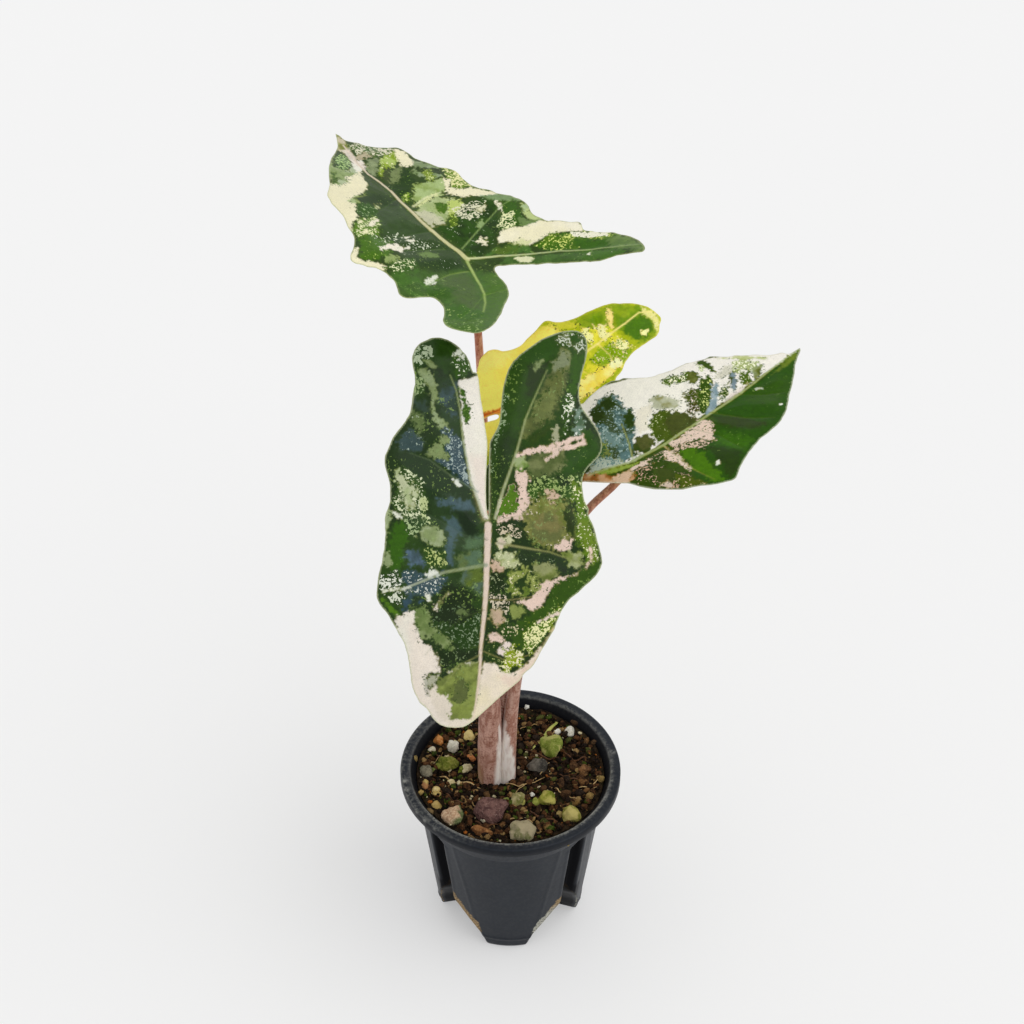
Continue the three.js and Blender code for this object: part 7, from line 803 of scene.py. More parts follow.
GAIN = {"A": (0.84, 0.90, 0.70), "B": (0.92, 0.93, 0.74), "C": (0.92, 0.75, 0.34), "D": (1.82, 1.46, 1.05)}


def paint(key, uv, dist, dmid, tmid, dcost, dl):
    L = LEAVES[key]
    n = len(uv)
    col = np.tile(hexlin(L["ground"]), (n, 1))
    dk = np.zeros(n); spk = np.zeros(n); spc = np.tile(hexlin(L["spk_col"]), (n, 1))
    nz = fbm(uv, 0.16, 3, 4) - 0.5
    nf = fbm(uv, 0.75, 9, 3) - 0.5
    ns = fbm(uv, 1.15, 17, 2) - 0.5     # gives the patches ragged, spotted borders
    tint = fbm(uv, 0.09, 21, 3)
    for k, (c2, lo_, hi_) in enumerate(L.get("tints", [])):
        f = sstep(lo_, hi_, fbm(uv, 0.07, 40 + 7 * k, 3))[:, None]
        col = col * (1 - f) + hexlin(c2) * f
    for pt in L["patches"]:
        kind, colour, shape = pt[0], pt[1], pt[2]
        opt = pt[3] if len(pt) > 3 else {}
        soft = opt.get("soft", 0.35); rough = opt.get("rough", 1.2); op = opt.get("op", 1.0)
        if kind == "poly":
            bb = np.array(shape); m = np.all((uv > bb.min(0) - 6) & (uv < bb.max(0) + 6), axis=1)
            if not m.any():
                continue
            d = poly_sd(uv[m], shape)
        else:
            bb = np.array(shape); m = np.all((uv > bb.min(0) - 8) & (uv < bb.max(0) + 8), axis=1)
            if not m.any():
                continue
            dd, t, _ = seg_dist(uv[m], shape)
            w0, w1 = opt.get("w", (1.0, 1.0))
            d = (w0 + (w1 - w0) * t) / 2 - dd
        d = d + rough * (nz[m] * 1.8 + nf[m] * 1.3) + min(rough, 1.6) * opt.get("rag", 1.0) * 2.3 * ns[m]
        f = sstep(-soft, soft, d) * op
        if colour is not None:
            c = hexlin(colour)
            if "c2" in opt:
                g = sstep(0.35, 0.65, fbm(uv[m], opt.get("f2", 0.35), 77, 3))[:, None]
                c = c * (1 - g) + hexlin(opt["c2"]) * g
            col[m] = col[m] * (1 - f[:, None]) + c * f[:, None]
        if colour is not None and soft < 0.9:
            dk[m] = np.maximum(dk[m] * (1 - 0.75 * f), np.exp(-(d / 1.7) ** 2) * opt.get("dk", 0.62) * min(1, 0.35 + rough * 0.6))
        if "spk" in opt:
            spk[m] = spk[m] * (1 - f) + opt["spk"] * f
            if "sc" in opt:
                spc[m] = spc[m] * (1 - f[:, None]) + hexlin(opt["sc"]) * f[:, None]
        elif colour is not None:
            spk[m] = spk[m] * (1 - f)
    # faint flecks over the whole blade, thick in some places and absent in others
    bs = BASE_SPK[key] * sstep(0.38, 0.66, fbm(uv, 0.11, 55, 3)) * (lumi(col) < 0.32)
    fl = (bs > spk)[:, None]
    spc = np.where(fl, 0.35 * col + 0.65 * hexlin("7f9848"), spc)
    spk = np.maximum(spk, bs)
    # veins
    for ln, w, c, op in L["vein_paint"]:
        d, t, _ = seg_dist(uv, ln)
        ww = w[0] + (w[1] - w[0]) * t
        f = (sstep(ww / 2 + 0.28, ww / 2 - 0.28, d) * op)[:, None]
        cc = hexlin(c[0]) * (1 - t[:, None]) + hexlin(c[1]) * t[:, None]
        col = col * (1 - f) + cc * f
        spk = spk * (1 - f[:, 0]); dk = dk * (1 - f[:, 0])
    # thin pale margin
    f = sstep(L.get("marg_w", 0.55), L.get("marg_w", 0.55) * 0.45, dist)[:, None] * L.get("marg_op", 0.75)
    col = col * (1 - f) + hexlin(L.get("marg", "d9dcb8")) * f
    # deepen and enrich: the studio light lifts and greys the dark greens
    lum = (col @ np.array([0.2126, 0.7152, 0.0722]))[:, None]
    green = sstep(0.0, 0.25, (col[:, 1:2] - col[:, 2:3]) / (lum + 1e-4)) * sstep(0.5, 0.2, lum)
    col = col * (1 - green * np.array([0.0, 0.08, 0.46]))
    col = np.clip(col, 0.0004, 1) * (0.74 + 0.24 * sstep(0.0, 0.35, lum)) * (1 + (np.array(GAIN[key]) - 1) * np.maximum(green, 1.0 if key == "D" else 0.0))
    dk = dk * sstep(0.0, 1.2, dist)
    return np.clip(col, 0, 1), np.clip(spk, 0, 1), np.clip(spc, 0, 1), np.clip(dk, 0, 1)


leaves = {}
for key, name, node in (("A", "blade_front", "leaf_front"), ("B", "blade_top", "leaf_top"),
                        ("C", "blade_right", "leaf_right"), ("D", "blade_rear", "leaf_rear")):
    leaves[key] = build_leaf(key, name, node)

# ----------------------------------------------------------------------- pot
RIM_R, LIP_IN, POT_H, LIP_H = 45.0, 40.9, 78.5, 3.93
YAW = -2.7
GR = np.array([49.5, 130.5, -130.5, -49.5])


def wall_r(z):
    return 30.09 + 0.1227 * z


ARCH_A = np.array([0, 3.0, 10.5, 16.5, 21.5, 25.5, 28.8, 30.2, 31.6, 33, 50.0])
ARCH_Z = np.array([28.9, 28.2, 22, 18, 14, 11, 8.5, 6, 3, 0, 0])


def pot_material():
    m = N("pot_plastic")
    co = m.coord()
    n1 = m.noise(co, 0.06, 4, 0.6)
    n2 = m.noise(co, 0.9, 4, 0.6)
    crust = m.attr("Crust", "Fac")
    dust_and_highlight = m.attr("DustAndHighlight", "Fac")
    base = m.mix(m.ss(n1, 0.3, 0.7), (0.0042, 0.0072, 0.0130), (0.0072, 0.0106, 0.0175))
    base = m.mix(m.math("MULTIPLY", m.ss(n2, 0.45, 0.75), 0.12), base, (0.035, 0.036, 0.042))
    # thin dusting and water marks, and a painted highlight along the lip's inner edge and on its top at the left
    d = m.math("MULTIPLY", m.ss(m.noise(co, 0.7, 5, 0.65), 0.42, 0.66), dust_and_highlight)
    base = m.mix(m.math("MULTIPLY", d, 0.75), base, (0.30, 0.30, 0.27))
    # pale rubbed marks, and a painted highlight along the lip's edges
    base = m.mix(m.math("MULTIPLY", m.attr("WearAndHighlight", "Fac"), m.ss(n2, 0.30, 0.52)), base, (0.27, 0.27, 0.25))
    # pale specks
    sp = m.ss(m.vor(co, 0.42), 0.11, 0.05)
    base = m.mix(m.math("MULTIPLY", sp, m.math("MULTIPLY", dust_and_highlight, 0.5)), base, (0.55, 0.52, 0.42))
    # mineral crust along the arches
    cn = m.ss(m.math("ADD", m.noise(co, 0.9, 4, 0.65), m.math("MULTIPLY", crust, 0.44)), 0.76, 0.90)
    cs = m.ss(m.noise(co, 1.7, 4, 0.7), 0.38, 0.62)
    cr = m.mix(m.attr("CrustPale", "Fac"), m.mix(cs, (0.13, 0.085, 0.035), (0.36, 0.25, 0.13)), m.mix(cs, (0.16, 0.16, 0.13), (0.50, 0.49, 0.42)))
    base = m.mix(m.math("MULTIPLY", cn, m.ss(crust, 0.02, 0.2)), base, cr)
    # painted shade: grooves, slits, side feet below the grooves, underside, inner rim wall and the lip's outer side go
    # to near black
    base = m.mix(m.attr("PaintedShade", "Fac"), base, (0.006, 0.006, 0.007))
    m.put(m.b.inputs["Base Color"], base)
    r = m.ramp(n2, 0.3, 0.7, 0.36, 0.46)
    m.put(m.b.inputs["Roughness"], m.math("ADD", r, m.math("MULTIPLY", cn, 0.3), clamp=True))
    # less specular where shade is painted, so the painted shade stays dark
    m.put(m.b.inputs["Specular IOR Level"], m.math("MULTIPLY", 0.22, m.math("SUBTRACT", 1.0, m.attr("PaintedShade", "Fac")), clamp=True))
    h = m.math("ADD", m.math("MULTIPLY", n2, 0.25), m.math("MULTIPLY", m.math("MULTIPLY", cn, crust), 2.0))
    m.put(m.b.inputs["Normal"], m.bump(h, 0.12, 0.0002))
    return m.m


def build_pot():
    NT = 432
    th = np.linspace(0, 360, NT, endpoint=False)         # 0 = front foot, grows to +X
    off = (th[:, None] - GR[None, :] + 180) % 360 - 180   # to each groove
    k = np.abs(off).argmin(1)
    da = off[np.arange(NT), k]
    gdeg = GR[k]
    toward_front = np.where(np.abs(gdeg) < 90, -np.sign(gdeg), np.sign(gdeg))
    sc = np.where(np.sign(da) == toward_front, 1.0, 0.75)
    zb = np.interp(np.abs(da) / sc, ARCH_A, ARCH_Z)
    zb = np.convolve(np.r_[zb[-3:], zb, zb[:3]], [0.05, 0.15, 0.2, 0.2, 0.2, 0.15, 0.05], "valid")
    zb[np.abs(da) / sc > 34.2] = 0.0
    world = np.radians(th + YAW)
    dx, dy = np.sin(world), -np.cos(world)
    rings = []   # list of (r, z) arrays
    NW = 92
    ztop = 64.0
    for j in range(NW + 1):
        t = j / NW
        z = zb + (ztop - zb) * t
        r = wall_r(z)
        s = np.radians(np.abs(da)) * r
        fz = 1 - sstep(60.5, 62.8, z + 0.25 * s)
        dep = 3.7 * (1 - sstep(2.3, 4.6, s)) * fz
        lipn = 0.25 * np.exp(-((s - 5.2) / 0.9) ** 2) * fz
        slot = 3.5 * (1 - sstep(1.1, 1.5, s)) * (1 - sstep(34.5, 35.5, z))
        # soft creases of the wide panels
        crease = 0.16 * np.exp(-((np.abs(da) - (15 + 9 * (62 - z) / 40)) / 1.4) ** 2)
        foot = (0.28 * np.exp(-((z - 6.3) / 0.55) ** 2) - 0.35 * sstep(6.0, 5.2, z)) * (zb < 4)
        edge = 0.5 * np.exp(-(z - zb) / 0.35)
        r = r - dep + lipn - slot + crease + foot - edge
        r = r - 0.7 * np.exp(-z / 0.5) * (zb < 0.5)
        # painted shade: the groove floors and walls, the side feet below the grooves and the slits are darkened where
        # shade falls
        shade = np.where(np.sign(da) == toward_front, 1 - sstep(1.5, 4.6, s), 1 - sstep(3.9, 4.6, s)) * sstep(64, 60, z)
        shade = np.maximum(shade, 0.9 * (np.sign(da) != toward_front) * sstep(30, 27, z) * sstep(16, 12, np.abs(da)))
        rings.append((r, z, np.clip(0.95 * shade + np.clip(slot / 3.5, 0, 1), 0, 1)))
    up = [(wall_r(64.3) + 0.30, 64.4), (wall_r(66.3) + 0.34, 66.3), (wall_r(66.6) + 0.62, 66.7), (39.6, 72.5),
          (39.9, 74.3), (40.6, 75.4), (42.0, 76.9), (43.6, 77.0), (43.75, 76.6), (43.75, 74.75), (43.95, 74.57), (44.8, 74.57), (45.0, 74.8),
          (45.0, 76.4), (45.0, 77.7), (44.86, 78.15), (44.5, 78.43), (44.0, 78.5), (42.6, 78.5), (41.6, 78.46), (41.15, 78.25), (40.85, 77.9),
          (40.4, 77.3), (39.3, 76.0), (38.7, 75.0), (38.35, 73.5), (38.2, 71.0), (30.0, 70.6), (0.01, 70.5)]
    for r, z in up:
        rr = np.full(NT, r); zz = np.full(NT, z)
        if r > 40.5:   # the lip isn't perfectly even
            rr = rr + 0.10 * np.sin(np.radians(2 * th + 40)); zz = zz + 0.10 * np.sin(np.radians(2 * th + 100))
        rings.append((np.minimum(rr, 45.05), np.minimum(zz, 78.6), np.zeros(NT)))
    # underside, from the wall's lower edge to the hub
    under = []
    rb = rings[0][0]
    for j in range(1, 15):
        t = j / 14.0
        r = rb * (1 - t) + 4.0 * t
        s = np.clip(r / wall_r(zb), 0, 1)
        z = np.where(zb > 0.01, 6 + (zb - 6) * s, 0.0)
        under.append((r, np.maximum(z, 0.0)))
    under.append((np.full(NT, 4.0), np.full(NT, 6.0)))
    under.append((np.full(NT, 2.2), np.full(NT, 6.05)))
    under.append((np.full(NT, 2.2), np.full(NT, 9.0)))
    under.append((np.full(NT, 0.01), np.full(NT, 9.0)))
    V, D = [], []
    # painted shade: the underside of the pot is darkened throughout
    for r, z in under[::-1]:
        V.append(np.stack([dx * r, dy * r, z], 1)); D.append(np.full(NT, 0.75))
    for r, z, dk in rings:
        V.append(np.stack([dx * r, dy * r, z], 1)); D.append(dk)
    M = len(V)
    V = np.vstack(V); D = np.concatenate(D)
    i = np.arange(NT); i2 = (i + 1) % NT
    faces = []
    for j in range(M - 1):
        a = j * NT
        faces += list(zip(a + i, a + i2, a + NT + i2, a + NT + i))
    P = (V + SH) / 1000.0
    o = new_obj("pot_body", P, faces, pot_material())
    nu = len(under)
    z = V[:, 2]; r = np.hypot(V[:, 0], V[:, 1])
    zbt = np.tile(zb, M); dat = np.tile(da, M); tht = np.tile(th, M)
    isw = np.arange(len(V)) >= nu * NT
    front = np.cos(np.radians(tht)) > -0.2
    tft = np.tile(toward_front, M)
    sft = np.tile(np.abs(np.cos(world)) > 0.55, M)
    panel = np.sign(dat) == tft
    wob = 0.9 * (fbm(np.stack([tht * 0.7 + 50, z + 50], 1), 0.5, 91, 3) - 0.5)
    band = np.where(panel, 1 - sstep(4.2, 7.4, z - zbt + 5.0 * wob), 0.75 * (1 - sstep(0.3, 1.0, z - zbt + wob)))
    band = band * sstep(33, 27, np.abs(dat)) * (zbt > 0.8) * isw
    apex = (1 - sstep(1.5, 3.2, z - zbt + wob)) * sstep(8, 4.5, np.abs(dat)) * (zbt > 15) * isw
    cr = np.maximum(band, 0.9 * apex)
    right = (np.sin(np.radians(tht)) > 0).astype(float)
    point_attr(o, "Crust", np.clip(cr, 0, 1))
    point_attr(o, "CrustPale", np.clip(right * sstep(26, 20, z), 0, 1))
    # pale band on the lip's inner edge: partly dusting, partly painted highlight
    inner_dust_and_highlight = np.exp(-((r - 41.3) / 0.9) ** 2) * (z > 77) * isw
    fr = np.cos(np.radians(tht - 12))
    # pale lip marks: the inner edge, stronger toward the front, is partly wear and partly painted highlight; the outer
    # top edge on the left is a painted highlight
    wear_and_highlight = np.exp(-((r - 41.0) / 0.55) ** 2) * (z > 77.6) * isw * (0.24 + 0.76 * sstep(0.1, 0.85, fr)) + 0.30 * np.exp(-((r - 44.6) / 0.3) ** 2) * (z > 77.9) * isw * sstep(0.1, 0.9, -np.sin(np.radians(tht)))
    # pale mineral specks on the lip
    for sx, sy, sk in [(-42.66, -8.21, 0.9), (-42.07, -12.58, 0.7), (-37.95, -24.92, 0.7), (-34.21, -29.13, 0.6), (-30.48, -33.83, 0.6), (42.15, 8.36, 0.6)]:
        wear_and_highlight = np.maximum(wear_and_highlight, sk * 1.5 * np.exp(-((V[:, 0] - sx) ** 2 + (V[:, 1] - sy) ** 2) / 0.9) * (z > 76.5) * isw)
    point_attr(o, "WearAndHighlight", np.clip(wear_and_highlight, 0, 1))
    # light dusting over the whole pot, plus painted highlight on the lip's inner edge toward the front and along its
    # top on the left
    d = 1.0 * inner_dust_and_highlight * (0.25 + 0.75 * sstep(-0.1, 0.8, np.cos(np.radians(tht - 20)))) + 0.35 * np.exp(-((z - 78.4) / 0.35) ** 2) * (r > 43.4) * isw * sstep(0.2, 0.9, -np.sin(np.radians(tht))) + 0.03 * isw + 0.08 * (z > 78.3) * isw * sstep(0.0, 1, -np.sin(np.radians(tht)))
    point_attr(o, "DustAndHighlight", np.clip(d, 0, 1))
    # painted shade: the inner wall above the mix and the outer side of the lip are darkened
    D = np.maximum(D, 0.85 * isw * (z > 69) * sstep(41.0, 40.2, r))
    D = np.maximum(D, 0.45 * isw * (z > 74.5) * (z < 77.9) * (r > 44.0))
    point_attr(o, "PaintedShade", np.clip(D, 0, 1))
    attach(o, "root"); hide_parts("nursery_pot")
    return o


pot = build_pot()

# ------------------------------------------------------------------- the mix
rng = np.random.default_rng(7)


def mix_height(x, y):
    p = np.stack([x + 100, y + 100], 1)
    h = 73.3 + 1.9 * (fbm(p, 0.10, 61, 3) - 0.5) + 2.4 * (fbm(p, 0.30, 63, 3) - 0.5)
    r = np.hypot(x, y)
    return h + 1.3 * sstep(31, 38, r)


def soil_material():
    m = N("mix_soil")
    co = m.coord()
    n1 = m.noise(co, 0.35, 6, 0.7)
    n2 = m.noise(co, 1.6, 5, 0.7)
    c = m.mix(m.ss(n1, 0.35, 0.65), (0.0026, 0.0019, 0.0015), (0.040, 0.025, 0.013))
    c = m.mix(m.math("MULTIPLY", m.ss(n2, 0.5, 0.75), 0.5), c, (0.07, 0.047, 0.026))
    c = m.mix(m.math("MULTIPLY", m.attr("Low", "Fac"), 0.75), c, (0.0022, 0.0016, 0.0012))
    g = m.ss(m.noise(co, 0.09, 3), 0.55, 0.72)
    c = m.mix(m.math("MULTIPLY", g, 0.4), c, (0.035, 0.045, 0.012))
    m.put(m.b.inputs["Base Color"], c)
    m.b.inputs["Roughness"].default_value = 0.92
    m.b.inputs["Specular IOR Level"].default_value = 0.06
    m.put(m.b.inputs["Normal"], m.bump(m.math("ADD", n1, n2), 0.9, 0.0008))
    return m.m


def build_soil():
    NR, NT = 70, 220
    rr = np.linspace(0, 38.3, NR); tt = np.linspace(0, 2 * np.pi, NT, endpoint=False)
    R, T = np.meshgrid(rr, tt, indexing="ij")
    x, y = (R * np.cos(T)).ravel(), (R * np.sin(T)).ravel()
    z = mix_height(x, y) + 0.5 * (vnoise(np.stack([x + 90, y + 90], 1), 1.3, 5) - 0.5)
    V = np.stack([x, y, z], 1)
    faces = []
    i = np.arange(NT); i2 = (i + 1) % NT
    for j in range(NR - 1):
        a = j * NT
        faces += list(zip(a + i, a + NT + i, a + NT + i2, a + i2))
    o = new_obj("mix_surface", (V + SH) / 1000, faces, soil_material())
    point_attr(o, "Low", sstep(73.5, 72.7, z))
    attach(o, "root"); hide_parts("potting_mix")
    return o


soil = build_soil()

ICO = None


def ico(sub):
    bm = bmesh.new()
    bmesh.ops.create_icosphere(bm, subdivisions=sub, radius=1.0)
    v = np.array([tuple(x.co) for x in bm.verts]); f = np.array([[q.index for q in p.verts] for p in bm.faces])
    bm.free()
    return v, f


def rot(ax, ay, az):
    cx, sx, cy, sy, cz, sz = math.cos(ax), math.sin(ax), math.cos(ay), math.sin(ay), math.cos(az), math.sin(az)
    return np.array([[cy * cz, sx * sy * cz - cx * sz, cx * sy * cz + sx * sz],
                     [cy * sz, sx * sy * sz + cx * cz, cx * sy * sz - sx * cz],
                     [-sy, sx * cy, cx * cy]])


def lump(v, seed, amp=0.22, sharp=1.0):
    """Unit sphere points pushed in and out, with flattened facets, as a broken stone."""
    r = np.random.default_rng(seed)
    k = np.ones(len(v))
    for _ in range(9):
        d = r.normal(size=3); d /= np.linalg.norm(d)
        c = r.uniform(0.62, 0.92)
        t = v @ d
        k = np.minimum(k, np.where(t > c * k, c / np.maximum(t, 1e-6), k))
    for f, a in ((2.1, amp), (4.7, amp * 0.45)):
        ph = r.uniform(0, 6.28, 3)
        k = k * (1 + a * 0.5 * np.sin(f * v[:, 0] * 1.7 + ph[0]) * np.sin(f * v[:, 1] * 1.7 + ph[1]) * np.cos(f * v[:, 2] * 1.5 + ph[2]))
    return v * k[:, None]


def stone_material(name, cols, kind="rock"):
    m = N(name)
    co = m.coord()
    n1 = m.noise(co, 0.30, 4, 0.6, 0.3)
    n2 = m.noise(co, 1.3, 4, 0.65)
    c = m.mix(m.ss(n1, 0.36, 0.62), hexlin(cols[0]), hexlin(cols[1]))
    if kind == "rock" and name.startswith("m_stone"):
        # moss on one side, bare and dusty on the other
        c = m.mix(m.math("MULTIPLY", m.ss(m.noise(co, 0.16, 2), 0.46, 0.56), 0.8), c, hexlin(cols[2]))
    c = m.mix(m.math("MULTIPLY", m.ss(n2, 0.5, 0.72), 0.75), c, hexlin(cols[2]))
    if name.endswith("green_pink"):
        g = m.mix(m.ss(n2, 0.4, 0.65), (0.10, 0.13, 0.045), (0.20, 0.22, 0.10))
        c = m.mix(m.attr("Half", "Fac"), g, m.mix(m.ss(n2, 0.4, 0.62), (0.42, 0.25, 0.15), (0.62, 0.46, 0.30)))
    m.put(m.b.inputs["Base Color"], c)
    m.b.inputs["Roughness"].default_value = 0.82 if kind != "pebble" else 0.6
    m.b.inputs["Specular IOR Level"].default_value = 0.10 if kind != "pebble" else 0.25
    h = m.math("ADD", m.math("MULTIPLY", n1, 0.5), n2)
    if kind == "lava":
        h = m.math("SUBTRACT", h, m.math("MULTIPLY", m.ss(m.vor(co, 0.8), 0.45, 0.15), 1.2))
    m.put(m.b.inputs["Normal"], m.bump(h, 0.8, 0.0006 if kind != "pebble" else 0.0003))
    return m.m


STONES = [
    ("pebble_orange", -29.80, 18.30, 2.40, 2.40, 2.10, ('a8662c', 'c88a4a', 'd9b07c'), "pebble"),
    ("gravel_white", -24.00, 15.20, 2.60, 2.90, 2.30, ('b9b3a0', 'd6d0c0', 'e6e2d6'), "rock"),
    ("pebble_cream", -17.36, 21.47, 2.65, 3.24, 2.12, ('b39c58', 'cdb878', 'dccf9c'), "pebble"),
    ("gravel_mossy", -25.89, 5.16, 4.08, 3.73, 2.99, ('56601c', '7d7f36', 'a59a58'), "rock"),
    ("pebble_grey_left", -34.20, 0.86, 2.65, 2.99, 2.12, ('5d584a', '86806c', 'a29a84'), "rock"),
    ("gravel_cream_small", -18.23, 2.67, 2.45, 2.49, 1.96, ('a89c78', 'c9bd96', 'dcd4b4'), "rock"),
    ("gravel_tan", -34.50, -7.00, 1.70, 2.30, 1.70, ('8a5c36', 'a9794c', 'c9a274'), "pebble"),
    ("pebble_cream_front", -30.30, -10.00, 1.90, 2.20, 1.63, ('b59a5c', 'd0b87c', 'e2d2a4'), "pebble"),
    ("pebble_tan_front", -29.79, -17.69, 2.04, 2.55, 1.63, ('8f7a3e', 'b69a5c', 'cdb47c'), "pebble"),
    ("stone_green_pink", -22.28, -23.28, 4.69, 4.98, 3.76, ('6f7d3c', '9a8a64', 'c2a48c'), "rock"),
    ("lava_rock", -7.70, -21.50, 7.00, 5.50, 4.60, ('4f3634', '74554f', '94766c'), "lava"),
    ("bark_chip_front", -10.90, -31.60, 4.40, 2.50, 2.10, ('5f3b22', '8d6038', 'b5895a'), "rock"),
    ("stone_grey_green", 4.45, -31.58, 5.31, 4.73, 3.78, ('5f6238', '847c60', 'a79a7c'), "rock"),
    ("stone_tan_green", 3.10, -14.29, 2.86, 3.57, 2.29, ('6a6c36', '948a5c', 'b3a67c'), "rock"),
    ("stone_yellow_green", 14.41, -14.23, 3.88, 3.73, 2.99, ('5f6a1c', '8f8f3c', 'b3a95c'), "rock"),
    ("stone_yellow_right", 24.24, -22.87, 3.88, 3.73, 2.99, ('6a6a26', '98924a', 'bcae6c'), "rock"),
    ("stone_green", 17.22, 15.30, 4.49, 5.48, 3.59, ('57661e', '7c883a', 'a8a560'), "rock"),
    ("perlite_right", 24.88, 23.75, 2.24, 2.81, 1.80, ('c4c0b0', 'dcd9cc', 'ecebe4'), "rock"),
    ("stone_dark", 10.91, 4.50, 4.08, 3.48, 2.79, ('35322e', '524d46', '706a60'), "rock"),
    ("bark_chip_right", 30.58, 2.36, 2.86, 2.24, 1.79, ('4a2f1c', '7a5636', '9c7850'), "rock"),
]

sv3, sf3 = ico(4)
for idx, (node, x, y, a, b, c, cols, kind) in enumerate(STONES):
    v = lump(sv3, 100 + idx, 0.10 if kind == "pebble" else 0.30)
    v = v * np.array([a, b, c]) * 1.06
    if kind == "lava":
        n = np.sin(v[:, 0] * 3.1) * np.sin(v[:, 1] * 2.7 + 1) * np.sin(v[:, 2] * 3.3 + 2)
        v = v * (1 + 0.06 * n[:, None])
    v = v @ rot(0.15 * math.sin(idx * 2.1), 0.15 * math.cos(idx * 1.7), 0.4 * math.sin(idx * 3.3)).T
    P = v + np.array([x, y, 74 + c * 0.22]) + SH
    o = new_obj("v_" + node, P / 1000, sf3, stone_material("m_" + node, cols, kind))
    if node == "stone_green_pink":
        f = -0.8 * v[:, 0] / a + 0.5 * v[:, 2] / c + 0.25 * np.sin(v[:, 1] * 1.7)
        point_attr(o, "Half", sstep(-0.2, 0.3, f))
    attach(o, "root"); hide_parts(node)

# loose grit: many small broken grains of bark, soil, pumice and clay
GRIT = [("grit_dark", 1100, (0.4, 1.9), ("090705", "1d130d", "47301d"), 0), ("grit_brown", 700, (0.5, 2.3), ("24150c", "4f321c", "85603a"), 0),
        ("grit_tan", 300, (0.4, 1.9), ("6b5232", "8d7247", "b59a6a"), 0.4), ("grit_cream", 90, (0.35, 1.35), ("b0a27c", "cfc49c", "e4dcc6"), 0.45),
        ("grit_moss", 210, (0.5, 2.2), ("20290b", "3d4a14", "6b7330"), 0.25), ("grit_orange", 70, (0.35, 1.4), ("6d3b16", "98571f", "bd8246"), 0.3)]
